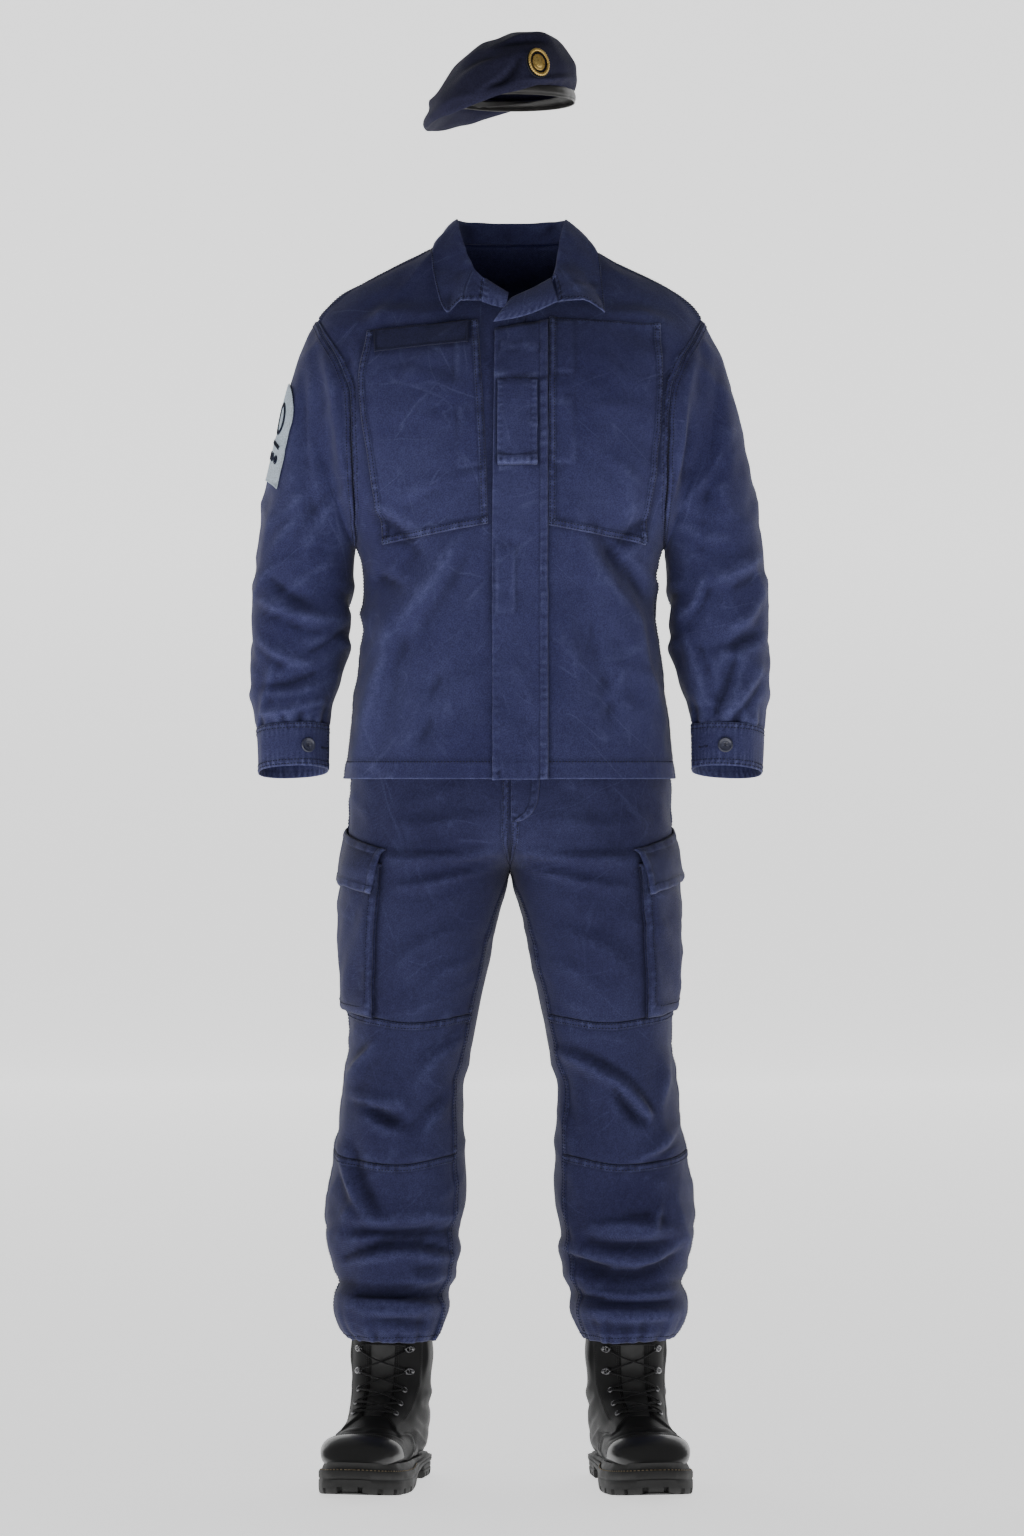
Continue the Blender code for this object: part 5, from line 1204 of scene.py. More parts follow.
def jacket_front(word, side, edge_x):
    heights = rows_between(HEM_HEIGHT + SEAM_GAP, FRONT_TOP_HEIGHT, seam_high=False)
    outer = np.where(heights >= SHOULDER_HEIGHT, FORWARD_SEAM_ANGLE, armhole_angle(heights))
    turn = np.where(heights <= ARMPIT_HEIGHT, SIDE_TURN, EDGE_TURN)
    inner = torso_angle(np.full_like(heights, edge_x), heights)
    neck_low = NECKLINE.rows[0, 0]
    neck = torso_angle(NECKLINE.read("across", np.maximum(heights, neck_low)), heights)
    inner = np.where(heights > neck_low, np.maximum(neck, inner), inner)
    angles = spread(inner, outer - turn, near_edges(0.225, low=False))
    panel = Panel(f"front_{word}", side_torso(side), angles, heights[:, None], side=side)
    panel.shade_beside(outline_of(CHEST_POCKETS[word], side))
    panel.shade_beside(outline_of(PLACKET))
    panel.seam("right", "lap", seed=3 + side)
    panel.seam("bottom", "hem", seed=5 + side)
    stitch_edge(panel, jacket_stitches, "right", LAP_ROWS)
    stitch_edge(panel, jacket_stitches, "bottom", HEM_ROW)
    cloth_piece(panel, jacket_twill, "jacket_cloth", f"jacket_front_{word}")


def jacket_back():
    heights = rows_between(HEM_HEIGHT + SEAM_GAP, NECK_BACK_HEIGHT, seam_high=False, coarse=0.0060)
    low = np.where(heights >= SHOULDER_HEIGHT, FORWARD_SEAM_ANGLE, 180 - armhole_angle(heights))
    low = low + np.where(heights <= ARMPIT_HEIGHT, SIDE_TURN, EDGE_TURN)
    panel = Panel("back", torso, spread(low, 360 - low, near_edges(0.62, coarse=0.0060)), heights[:, None])
    for edge in ("left", "right"):
        panel.seam(edge, "groove")
    panel.seam("bottom", "hem", seed=9)
    stitch_edge(panel, jacket_stitches, "bottom", HEM_ROW)
    for edge in ("left", "right"):
        stitch_edge(panel, jacket_stitches, edge, LAP_ROWS, above=SHOULDER_HEIGHT)
    cloth_piece(panel, jacket_twill, "jacket_cloth", "jacket_back")


def sleeve(word, side):
    angles = np.linspace(0, 360, 100, endpoint=False)
    stations = 10.0 * near_edges(0.56)
    panel = Panel(f"arm_{word}", sleeve_surface[side], angles[None, :], stations[:, None], side=side,
                  wraps=True)
    panel.seam("bottom", "lap", seed=12 + side)
    stitch_edge(panel, jacket_stitches, "bottom", (0.0026, 0.0078))
    # small uneven pleats where the cloth is sewn into the cuff
    near_cuff = bump_at(panel.from_top, 0.026)
    turn = np.radians(angles)[None, :]
    pleats = np.sin(7 * turn + 0.6 * side + 1.2 * np.sin(2 * turn)) + 0.5 * np.sin(16 * turn + 1.1)
    panel.push(near_cuff * 0.0015 * pleats)
    panel.push(-0.0010 * bump_at(panel.from_top, 0.003))
    # painted shade where the sleeve goes into the cuff
    panel.painted_shade += 0.8 * bump_at(panel.from_top, 0.0030)
    for shift in (0, 1.6):
        line = panel.sample(np.arange(len(stations)), np.full(len(stations), len(angles) * 200 / 360 + shift))
        jacket_stitches.row(line)
    panel.tuck("bottom")
    cloth_piece(panel, jacket_twill, "jacket_cloth", f"sleeve_{word}")


def cuff_piece(word, side, end_angle, stand_off):
    """A cuff that wraps round and laps over itself, with its free end to the front."""
    lap_degrees = 62.0
    turns = np.linspace(end_angle - lap_degrees, end_angle + 360, 190)
    stations = 2 * near_edges(0.050, coarse=0.0030)
    under = smooth(-(turns - end_angle), 0, 22)
    over = smooth(turns, end_angle + 360 - 40, end_angle + 360)
    lift = (0.0006 - 0.0026 * under + stand_off * over ** 2)[None, :] * np.ones((len(stations), 1))
    turn = np.radians(turns)[None, :]
    middle = np.sin(np.pi * stations / 2)[:, None] ** 0.6
    lift = lift + 0.00022 * middle * np.sin(17 * turn + 2.1 * np.sin(4 * turn + side) + stations[:, None])
    lift = lift + 0.0011 * np.sin(3 * turn + 2 * side + 1.1 * np.sin(2 * turn)) * middle
    panel = Panel(f"cuff_band_{word}", cuff, turns[None, :], stations[:, None], side=side, lift=lift)
    for edge in ("bottom", "top", "right"):
        panel.seam(edge, "edge", seed=13 + side)
    # painted shade along a line inside each edge's stitching, and a painted shadow under the free end
    for away in (panel.from_top, panel.from_bottom):
        panel.painted_shade += 0.35 * bump_at(away - 0.0085, 0.0016)
    panel.painted_shade += 0.7 * bump_at(turns[None, :] - end_angle, 1.6)
    # the drawn-in edges have worn in short upright streaks, with painted shade between them
    streak = np.sin(44 * turn + 2.2 * np.sin(5 * turn + side))
    by_edges = bump_at(panel.from_top - 0.0110, 0.0090) + bump_at(panel.from_bottom - 0.0090, 0.0080)
    panel.wear += 0.34 * by_edges * np.clip(streak, 0, 1)
    panel.painted_shade += 0.25 * by_edges * np.clip(-streak, 0, 1)
    stitch_edge(panel, jacket_stitches, "bottom", (0.0025, 0.0070))
    stitch_edge(panel, jacket_stitches, "top", (0.0030, 0.0080))
    stitch_edge(panel, jacket_stitches, "right", (0.0028, 0.0080))
    cloth_piece(panel, patch_twill, "jacket_cloth", f"cuff_{word}",
                wall=DOUBLE_CLOTH)
    return panel


PLACKET = Table("share left_x left_z right_x right_z", [
    (0.0, -0.0215, 0.8850, 0.0470, 0.8860),
    (0.5, -0.0218, 1.1600, 0.0465, 1.1600),
    (1.0, -0.0190, 1.4470, 0.0470, 1.4590),
])
CHEST_POCKET_LEFT = Table("share inner_x inner_z outer_x outer_z", [
    (0.0, 0.0475, 1.2020, 0.1690, 1.1790),
    (0.4, 0.0475, 1.2900, 0.1840, 1.2800),
    (0.7, 0.0480, 1.3850, 0.1920, 1.3800),
    (1.0, 0.0490, 1.4640, 0.1870, 1.4540),
])
CHEST_POCKET_RIGHT = Table("share inner_x inner_z outer_x outer_z", [
    (0.0, 0.0270, 1.2040, 0.1590, 1.1785),
    (0.4, 0.0295, 1.2900, 0.1770, 1.2800),
    (0.7, 0.0350, 1.3850, 0.1890, 1.3800),
    (1.0, 0.0400, 1.4600, 0.1790, 1.4470),
])
CHEST_POCKETS = {"left": CHEST_POCKET_LEFT, "right": CHEST_POCKET_RIGHT}
NAME_TAPE = Table("share inner_x inner_z outer_x outer_z", [
    (0.0, 0.0520, 1.4295, 0.1680, 1.4180),
    (1.0, 0.0520, 1.4565, 0.1690, 1.4450),
])
RANK_TAB = Table("share left_x left_z right_x right_z", [
    (0.0, -0.0150, 1.2790, 0.0330, 1.2790),
    (1.0, -0.0155, 1.3840, 0.0340, 1.3840),
])


def four_sided(table, share, columns, place):
    """Grid of surface coordinates inside an outline given by its two long edges."""
    x0, z0, x1, z1 = table.read_all(share)
    across, height = spread(x0, x1, columns), spread(z0, z1, columns)
    return place(across, height)


def chest_pocket(word, side, table, pressed):
    up, across = near_edges(0.27), near_edges(0.15)
    u, v = four_sided(table, up, across, on_torso_front)
    soft = np.sin(np.pi * up)[:, None] * np.sin(np.pi * across)[None, :]
    panel = Panel(f"chest_patch_{word}", side_torso(side), u, v, side=side, lift=0.0010 + 0.0016 * soft)
    for edge in ("left", "right", "bottom"):
        panel.seam(edge, "double", seed=17 + side)
    panel.seam("top", "edge", seed=18)
    for across, height, half_width, half_height in pressed:
        panel.press(across, height, half_width, half_height, size=0.0013)
    if side < 0:
        panel.shade_beside(outline_of(NAME_TAPE, side), width=0.0026)
    for edge in ("left", "right", "bottom"):
        stitch_edge(panel, jacket_stitches, edge, LAP_ROWS)
    stitch_edge(panel, jacket_stitches, "top", (0.0025,))
    cloth_piece(panel, jacket_twill, "jacket_cloth", f"chest_pocket_{word}")


def placket():
    up, across = near_edges(0.57, high=False), near_edges(0.066, coarse=0.0030)
    u, v = four_sided(PLACKET, up, across, on_torso_front)
    panel = Panel("placket", torso, u, v, lift=np.full(u.shape, 0.0022))
    panel.seam("left", "edge", seed=23)
    panel.seam("right", "double", seed=24)
    panel.seam("bottom", "hem", seed=25)
    panel.press(-0.0057, 1.134, 0.0120, 0.0400, size=0.0012)
    panel.press(0.0120, 1.425, 0.0235, 0.0040, size=0.0010)
    # the slot that the rank tab comes out of, with a pale worn lip and a painted shadow under it
    slot = panel.points[..., 2] - 1.3870
    panel.push(0.0012 * bump_at(slot - 0.0020, 0.0022))
    panel.wear += 0.6 * bump_at(slot - 0.0012, 0.0012)
    panel.painted_shade += 0.9 * bump_at(slot + 0.0016, 0.0018)
    panel.shade_beside(outline_of(RANK_TAB), width=0.0046, amount=0.98)
    # the tab's second edge shows under its foot
    under = bump_at(panel.points[..., 2] - 1.2722, 0.0010) * (panel.points[..., 0] > -0.0140)
    under = under * (panel.points[..., 0] < 0.0320)
    panel.push(0.0008 * under)
    panel.wear += 0.8 * under
    # the cloth of the fly bows a little between its closures
    bow = np.sin(panel.points[..., 2] * 2 * math.pi / 0.155 + 0.7)
    panel.push(0.0013 * bow * bump_at(panel.from_left, 0.022))
    stitch_edge(panel, jacket_stitches, "right", LAP_ROWS)
    stitch_edge(panel, jacket_stitches, "left", (0.0022,))
    stitch_edge(panel, jacket_stitches, "bottom", HEM_ROW)
    cloth_piece(panel, patch_twill, "jacket_cloth", "front_placket",
                wall=DOUBLE_CLOTH, outward=True)


def rank_tab():
    """A loop of doubled cloth that stands off the placket, rolled over at its foot."""
    up, across = near_edges(0.112, coarse=0.0030), near_edges(0.048, coarse=0.0030)
    u, v = four_sided(RANK_TAB, up, across, on_torso_front)
    share = up[:, None]
    lift = 0.0058 + 0.0022 * bump_at(share - 0.02, 0.07) - 0.0024 * smooth(share, 0.90, 1.0)
    lift = lift + 0.0006 * np.sin(2 * math.pi * share * 1.6 + 0.5) * np.sin(np.pi * across)[None, :] + 0 * u
    panel = Panel("rank_slide", torso, u, v, lift=lift)
    for edge in ("left", "right", "bottom"):
        panel.seam(edge, "edge", seed=27)
    # the fold line above the roll, with painted shade in it; painted shade also under the slot at the top and
    # along a line by the right edge
    panel.push(-0.0008 * bump_at(panel.from_bottom - 0.0105, 0.0016))
    panel.painted_shade += 0.55 * bump_at(panel.from_bottom - 0.0105, 0.0015) + 0.5 * bump_at(panel.from_top, 0.003)
    panel.wear += 0.15 * bump_at(panel.from_bottom - 0.0080, 0.0012)
    panel.painted_shade += 0.30 * bump_at(panel.from_right - 0.0075, 0.0012)
    stitch_edge(panel, jacket_stitches, "left", (0.0030,))
    stitch_edge(panel, jacket_stitches, "right", (0.0030,))
    # the foot turns under: its underside comes back towards the placket, and is painted in shade
    foot = np.linspace(0, math.pi * 0.75, 7)[1:, None]
    normal, under = panel.normal[:1], unit(panel.points[:1] - panel.points[1:2])
    radius = 0.0021
    roll = (panel.points[:1] + under * (radius * np.sin(foot))[..., None]
            - normal * (radius * (1 - np.cos(foot)))[..., None])
    shown = np.repeat(panel.wear[:1], len(foot), axis=0) * np.linspace(0.5, 0.0, len(foot))[:, None]
    panel.points = np.concatenate([roll[::-1], panel.points])
    panel.wear = np.concatenate([shown[::-1], panel.wear])
    shaded = np.repeat(np.linspace(1.0, 0.5, len(foot))[:, None], u.shape[1], 1)
    panel.painted_shade = np.concatenate([shaded, panel.painted_shade])
    for name in ("normal", "u", "v"):
        field = getattr(panel, name)
        setattr(panel, name, np.concatenate([np.repeat(field[:1], len(foot), axis=0), field]))
    cloth_piece(panel, patch_twill, "jacket_cloth", "rank_tab",
                wall=DOUBLE_CLOTH, outward=True)


def name_tape():
    """A blank tape with a raised, darker border, sewn askew above the pocket."""
    up, across = near_edges(0.027, coarse=0.0020), near_edges(0.118, coarse=0.0030)
    u, v = four_sided(NAME_TAPE, up, across, on_torso_front)
    panel = Panel("name_strip", side_torso(-1), u, v, side=-1, lift=np.full(u.shape, 0.0034))
    edge = panel.from_any_edge()
    border = 1 - smooth(edge, 0.0016, 0.0028)
    panel.push(0.0006 * border)
    # the border is made darker through the painted-shade field, and a thin painted shadow lies just inside it
    panel.painted_shade += 0.62 * border + 0.3 * bump_at(edge - 0.0032, 0.0008)
    cloth_piece(panel, tape_cloth, "jacket_cloth", "name_tape",
                wall=0.0011, outward=True)


SLEEVE_BADGE = Table("station low_angle high_angle", [
    (1.70, 14.0, 30.0), (1.77, 8.0, 38.0), (1.93, 3.0, 44.0), (2.20, 0.0, 47.0), (2.75, -1.0, 47.0),
    (3.58, -2.0, 44.0),
])


def sleeve_badge():
    """A pale arched patch with a plain device of its own: a ring, a bar and three dots."""
    stations = np.linspace(1.70, 3.58, 60)
    angles = spread(SLEEVE_BADGE.read("low_angle", stations), SLEEVE_BADGE.read("high_angle", stations), 36)
    panel = Panel("arm_patch", sleeve_surface[-1], angles, stations[:, None], side=-1,
                  lift=np.full(angles.shape, 0.0012))
    edge = panel.from_any_edge()
    panel.push(0.0005 * (1 - smooth(edge, 0.0006, 0.0024)))
    for side_name in ("left", "right", "top"):
        stitch_edge(panel, jacket_stitches, side_name, (0.0012,))
    cloth_piece(panel, badge_cloth, "badge_cloth", "sleeve_badge",
                wall=0.0010, outward=True)
    # the device is raised satin stitch
    marks = []
    turn = np.linspace(0, 2 * math.pi, 40)
    marks.append((21 + 8.5 * np.cos(turn), 17 + 6.5 * np.sin(turn)))
    marks.append((np.array([36.0, 36.0]), np.array([9.0, 26.0])))
    for column in (11.0, 17.5, 24.0):
        marks.append((44 + 1.6 * np.cos(turn), column + 1.3 * np.sin(turn)))
    device = Stitching()
    for row, column in marks:
        fine = np.linspace(0, len(row) - 1, 90)
        at = np.arange(len(row))
        points, normals = panel.sample(np.interp(fine, at, row), np.interp(fine, at, column))
        way = unit(np.gradient(points, axis=0))
        aside = unit(np.cross(way, normals))
        for shift in (-0.0018, 0.0, 0.0018):
            device.row((points + aside * shift + normals * 0.0012, normals), pitch=0.0013, length=0.0019)
    mark = device.piece("arm_patch_device", radius=0.0009)
    finished(mark, badge_thread, "badge_cloth")


# root is sewn to the neckline, roll is the fold line, edge is free
COLLAR = Table("station root_x root_y root_z roll_x roll_y roll_z edge_x edge_y edge_z", [
    (0.0, -0.0340, -0.0800, 1.4975, -0.0310, -0.0830, 1.5130, -0.0330, -0.0960, 1.4850),
    (1.0, -0.0500, -0.0640, 1.5170, -0.0450, -0.0690, 1.5300, -0.0590, -0.1060, 1.4850),
    (2.0, -0.0600, -0.0460, 1.5380, -0.0560, -0.0470, 1.5580, -0.0780, -0.1120, 1.4690),
    (3.0, -0.0680, -0.0180, 1.5600, -0.0640, -0.0180, 1.5890, -0.0940, -0.0800, 1.5100),
    (3.5, -0.0715, -0.0010, 1.5670, -0.0650, 0.0010, 1.5975, -0.0990, -0.0420, 1.5480),
    (4.0, -0.0730, 0.0180, 1.5685, -0.0660, 0.0200, 1.5985, -0.0970, 0.0100, 1.5530),
    (5.0, -0.0540, 0.0490, 1.5675, -0.0480, 0.0560, 1.5980, -0.0790, 0.0780, 1.5560),
    (6.0, 0.0000, 0.0625, 1.5675, 0.0000, 0.0690, 1.5975, 0.0000, 0.0960, 1.5600),
    (7.0, 0.0540, 0.0490, 1.5675, 0.0500, 0.0560, 1.5980, 0.0820, 0.0780, 1.5560),
    (8.0, 0.0730, 0.0180, 1.5685, 0.0690, 0.0200, 1.5985, 0.1040, 0.0100, 1.5550),
    (8.5, 0.0715, -0.0010, 1.5670, 0.0685, 0.0010, 1.5975, 0.1120, -0.0360, 1.5450),
    (9.0, 0.0680, -0.0180, 1.5600, 0.0670, -0.0180, 1.5890, 0.1150, -0.0680, 1.5130),
    (10.0, 0.0600, -0.0460, 1.5380, 0.0610, -0.0460, 1.5600, 0.1190, -0.1080, 1.4690),
    (11.0, 0.0530, -0.0620, 1.5170, 0.0580, -0.0660, 1.5340, 0.0900, -0.1160, 1.4850),
    (12.0, 0.0440, -0.0760, 1.4985, 0.0560, -0.0800, 1.5180, 0.0600, -0.1110, 1.4820),
])
COLLAR_BACK = 6     # the station at the middle of the back
COLLAR_WAYS = Table("way root roll", [      # the edge has the rest
    (0.0, 1.0, 0.0), (0.5, 0.45, 0.55), (1.0, 0.02, 0.98), (1.35, 0.0, 0.84), (2.0, 0.0, 0.35),
    (3.0, 0.0, 0.0),
])


def collar_surface(station, way):
    """A point of the collar; way 0 is the neckline, 1 the roll and 3 the free edge."""
    root_x, root_y, root_z, roll_x, roll_y, roll_z, edge_x, edge_y, edge_z = COLLAR.read_all(station)
    root, roll = COLLAR_WAYS.read_all(way)
    edge = 1 - root - roll
    # the fall bows away from the chest, most at its points
    bow = 0.0060 * np.sin(np.pi * np.clip((way - 1) / 2, 0, 1))
    turn = np.pi * (station - COLLAR_BACK) / COLLAR_BACK
    return stacked(root * root_x + roll * roll_x + edge * edge_x + 0.8 * bow * np.sin(turn),
                   root * root_y + roll * roll_y + edge * edge_y - bow * np.cos(turn / 2 + np.pi),
                   root * root_z + roll * roll_z + edge * edge_z + 0.3 * bow)


def collar():
    stations = np.linspace(0, 12, 150)
    ways = steps_through((0, 0.9, 1.4, 3.0), (10, 10, 26))
    u, v = np.meshgrid(ways, stations)
    panel = Panel("collar_fall", lambda way, station: collar_surface(station, way), u, v)
    # the roll is round, not creased
    near_roll = (bump_at(ways - 1.08, 0.42) * 0.5)[None, 1:-1, None]
    for _ in range(14):
        middle = (panel.points[:, :-2] + panel.points[:, 2:]) / 2
        panel.points[:, 1:-1] += near_roll * (middle - panel.points[:, 1:-1])
    panel.measure()
    panel.normal = -panel.normal
    panel.push(ripples(panel.points, 41, 0.045, 0.0010))
    panel.seam("right", "edge", seed=42)
    panel.seam("top", "edge", seed=43)
    panel.seam("bottom", "edge", seed=44)
    # the seam where each front's facing meets the collar
    for station in (0.95, 11.15):
        at = np.abs(panel.v - station) * 0.0295
        shown = smooth(panel.u, 1.2, 1.5)
        panel.push(-0.0009 * bump_at(at, 0.0012) * shown)
        panel.wear += 0.5 * shown * bump_at(at - 0.0018, 0.0012)
    stitch_edge(panel, jacket_stitches, "right", (0.0055,))
    for edge in ("top", "bottom"):
        stitch_edge(panel, jacket_stitches, edge, (0.0045,))
    cloth_piece(panel, patch_twill, "jacket_cloth", "collar",
                wall=DOUBLE_CLOTH, flipped=True)


# the turned top of each front: low edge lies on the chest, high edge is the fold at the throat
LAPEL_RIGHT = Table("share low_x low_y low_z high_x high_y high_z", [
    (0.0, -0.0350, -0.0985, 1.4830, -0.0315, -0.0790, 1.5130),
    (1.0, -0.0040, -0.1025, 1.4745, -0.0020, -0.0940, 1.4930),
])
LAPEL_LEFT = Table("share low_x low_y low_z high_x high_y high_z", [
    (0.0, -0.0210, -0.1235, 1.4560, 0.0020, -0.1010, 1.4860),
    (1.0, 0.0600, -0.1130, 1.4820, 0.0515, -0.0785, 1.5130),
])


def lapel(word, table, bulge, curve):
    share = np.linspace(0, 1, 40)
    x0, y0, z0, x1, y1, z1 = table.read_all(share)
    low, high = np.stack([x0, y0, z0], -1), np.stack([x1, y1, z1], -1)
    way = np.linspace(0, 1, 18)

    def surface(across, up):
        index = np.asarray(across, dtype=float)
        ends = [along_line(index, share, end) for end in (low, high)]
        up = np.asarray(up, dtype=float)[..., None]
        point = ends[0] * (1 - up) + ends[1] * up
        out = np.sin(np.pi * np.clip(up, 0, 1)) * bulge
        dip = np.sin(np.pi * np.clip(index, 0, 1))[..., None] * curve * (1 - up)
        return point + np.concatenate([0 * up, -out, 0 * up - dip], axis=-1)

    panel = Panel(f"turned_front_{word}", surface, share[None, :], way[:, None])
    panel.push(ripples(panel.points, 45, 0.030, 0.0006))
    panel.seam("bottom", "edge", seed=46)
    panel.seam("left", "edge", seed=47)
    stitch_edge(panel, jacket_stitches, "bottom", (0.0035,))
    cloth_piece(panel, patch_twill, "jacket_cloth", f"lapel_{word}",
                wall=DOUBLE_CLOTH, outward=True)


def turned_disc(name, profile, centre, normal, steps=40, holes=0, stretch=1.0):
    """A turned piece: profile is (distance from the axis, height above its seat)."""
    rows = [(max(distance, 0.00002), height) for distance, height in profile]
    turn = np.linspace(0, 2 * math.pi, steps, endpoint=False)
    distance = np.array([row[0] for row in rows])[:, None]
    height = np.array([row[1] for row in rows])[:, None]
    local = np.stack([distance * np.cos(turn) + 0 * height, distance * np.sin(turn) + 0 * height,
                      height + 0 * turn[None, :]], -1)
    for hole in range(holes):
        at = 2 * math.pi * (hole + 0.5) / holes
        away = np.hypot(local[..., 0] - 0.0016 * math.cos(at), local[..., 1] - 0.0016 * math.sin(at))
        local[..., 2] -= np.where(height > 0.0005, 0.0012 * bump_at(away, 0.00075), 0)
    normal = unit(np.asarray(normal, dtype=float))
    up = np.array([0, 0, 1.0]) - normal * normal[2]
    up = unit(up) if np.linalg.norm(up) > 1e-6 else np.array([0, 1.0, 0])
    aside = np.cross(up, normal)
    points = (np.asarray(centre) + local[..., :1] * aside + local[..., 1:2] * stretch * up
              + local[..., 2:] * normal)
    faces = grid_faces(len(rows), steps, True, False).tolist()
    faces.append(list(range(steps))[::-1])
    faces.append([(len(rows) - 1) * steps + step for step in range(steps)])
    piece = new_mesh(name, points, faces)
    outward_faces(piece)
    return piece


def outward_faces(piece):
    """Make all faces of a closed piece look outwards."""
    shape = bmesh.new()
    shape.from_mesh(piece.data)
    bmesh.ops.recalc_face_normals(shape, faces=shape.faces)
    shape.to_mesh(piece.data)
    shape.free()


BUTTON_PROFILE = [(0.0086, 0.0), (0.0094, 0.0008), (0.0095, 0.0019), (0.0089, 0.0028), (0.0078, 0.0029),
                  (0.0068, 0.0022), (0.0056, 0.0018), (0.0042, 0.0017), (0.0030, 0.0017), (0.0020, 0.0017),
                  (0.0010, 0.0017), (0.0, 0.0017)]


def button_on(name, node, panel, row, column, lift=0.0006):
    points, normals = panel.sample(np.array([row]), np.array([column]))
    centre = points[0] + normals[0] * lift
    piece = turned_disc(name, BUTTON_PROFILE, centre, normals[0], holes=4)
    finished(piece, button_plastic, "button_plastic", node)
    thread = Stitching()
    aside = unit(np.cross(normals[0], [0, 0, 1.0]))
    up = np.cross(aside, normals[0])
    for shift in (-0.0011, 0.0011):
        middle = centre + normals[0] * 0.0020 + up * shift
        line = np.stack([middle - aside * 0.0018, middle + aside * 0.0018])
        thread.row((line, np.stack([normals[0]] * 2)), pitch=0.0035, length=0.0032)
    cross = thread.piece(f"{name}_thread", radius=0.00045)
    finished(cross, dark_thread_as_pit_shade, "button_plastic")


def buttonhole(panel, row, column):
    """A worked slot beside the button."""
    points, normals = panel.sample(np.array([row, row]), np.array([column - 4.0, column + 4.0]))
    for shift in (-0.0007, 0.0007):
        jacket_stitches.row((points + np.array([0, 0, shift]), normals), pitch=0.0011, length=0.0016)


jacket_front("left", 1, FRONT_OVERLAP_X + SEAM_GAP)
jacket_front("right", -1, -FRONT_OVERLAP_X)
jacket_back()
for word, side in SIDES:
    sleeve(word, side)
cuffs = {"left": cuff_piece("left", 1, 160.0, 0.0040), "right": cuff_piece("right", -1, 168.0, 0.0022)}
# pressed marks: across, height, half width, half height
chest_pocket("left", 1, CHEST_POCKET_LEFT, [(0.0660, 1.425, 0.0140, 0.0340), (0.0660, 1.319, 0.0140, 0.0400)])
chest_pocket("right", -1, CHEST_POCKET_RIGHT,
             [(-0.0540, 1.409, 0.0140, 0.0270), (-0.0500, 1.312, 0.0140, 0.0380)])
placket()
rank_tab()
name_tape()
sleeve_badge()
collar()
lapel("right", LAPEL_RIGHT, 0.0040, 0.0015)
lapel("left", LAPEL_LEFT, 0.0060, 0.0050)
button_on("cuff_stud_left", "cuff_button_left", cuffs["left"], 12.2, 190 * (92 + 360 - 98) / 422)
button_on("cuff_stud_right", "cuff_button_right", cuffs["right"], 12.2, 190 * (112 + 360 - 106) / 422)
buttonhole(cuffs["left"], 12.6, 190 * (128 + 360 - 98) / 422)
buttonhole(cuffs["right"], 12.6, 190 * (150 + 360 - 106) / 422)
finished(jacket_stitches.piece("jacket_topstitching"), dark_thread_as_pit_shade, "jacket_cloth")


# ---------------------------------------------------------------- trouser pieces
trouser_stitches = Stitching()
KNEE_GAP = 0.0002       # either side of a knee seam
LEG_PANELS = (  # name, low, high, knee seam at its foot, at its head, cloth width, cloth length
    ("thigh_front", UPPER_KNEE_SEAM + KNEE_GAP, LEG_TOP_HEIGHT, "upper", None, 0.36, 0.45),
    ("knee_panel", LOWER_KNEE_SEAM + KNEE_GAP, UPPER_KNEE_SEAM - KNEE_GAP, "lower", "upper", 0.32, 0.23),
    ("shin_front", LEG_HEM_HEIGHT, LOWER_KNEE_SEAM - KNEE_GAP, None, "lower", 0.34, 0.28),
)
# both knee seams dip towards the middle of the leg
KNEE_DIP = Table("angle upper lower", [
    (-75, 0.004, 0.006), (-40, -0.002, 0.000), (0, -0.008, -0.008), (35, -0.002, -0.004), (90, 0.008, 0.008),
])


def leg_panels(word, side):
    surface = leg_surface[side]
    for name, low, high, foot_seam, head_seam, width, length in LEG_PANELS:
        heights = rows_between(low, high)
        inner = leg_inner_edge(heights) + np.where(heights < CROTCH_HEIGHT + 0.02, EDGE_TURN, 0)
        angles = spread(inner, np.full_like(heights, 90 - SIDE_TURN), near_edges(0.27))
        # the seams' dip fades out towards the other edge of the panel
        dip = np.zeros(angles.shape)
        share = ((heights - low) / (high - low))[:, None]
        if foot_seam:
            dip = dip + KNEE_DIP.read(foot_seam, angles) * (1 - share) ** 2
        if head_seam:
            dip = dip + KNEE_DIP.read(head_seam, angles) * share ** 2
        panel = Panel(f"{name}_cloth_{word}", surface, angles, heights[:, None] + dip, side=side)
        panel.shade_beside(seen_outline(CARGO_POCKET_EDGE, side), width=0.0045, amount=0.8)
        if foot_seam == "upper":
            panel.seam("bottom", "groove")
        if head_seam:
            panel.seam("left", "lap", seed=57 + side)
            panel.seam("top", "lap", seed=53 + side)
            stitch_edge(panel, trouser_stitches, "top", LAP_ROWS)
        if foot_seam == "lower":
            panel.seam("bottom", "groove")
        if not foot_seam:
            panel.seam("bottom", "edge", seed=54)
            stitch_edge(panel, trouser_stitches, "bottom", BOOT_HEM_ROW)
        panel.seam("right", "groove")
        if head_seam:
            stitch_edge(panel, trouser_stitches, "left", LAP_ROWS)
        else:
            panel.seam("left", "lap", seed=57 + side)
            stitch_edge(panel, trouser_stitches, "left", (0.0020, 0.0076))
            # above the crotch the two legs' edges meet in one seam: the right one goes on under the left
            bridge_middle(panel, smooth(heights, CROTCH_HEIGHT - 0.004, CROTCH_HEIGHT + 0.004))
        cloth_piece(panel, trouser_twill, "trouser_cloth", f"{name}_{word}")


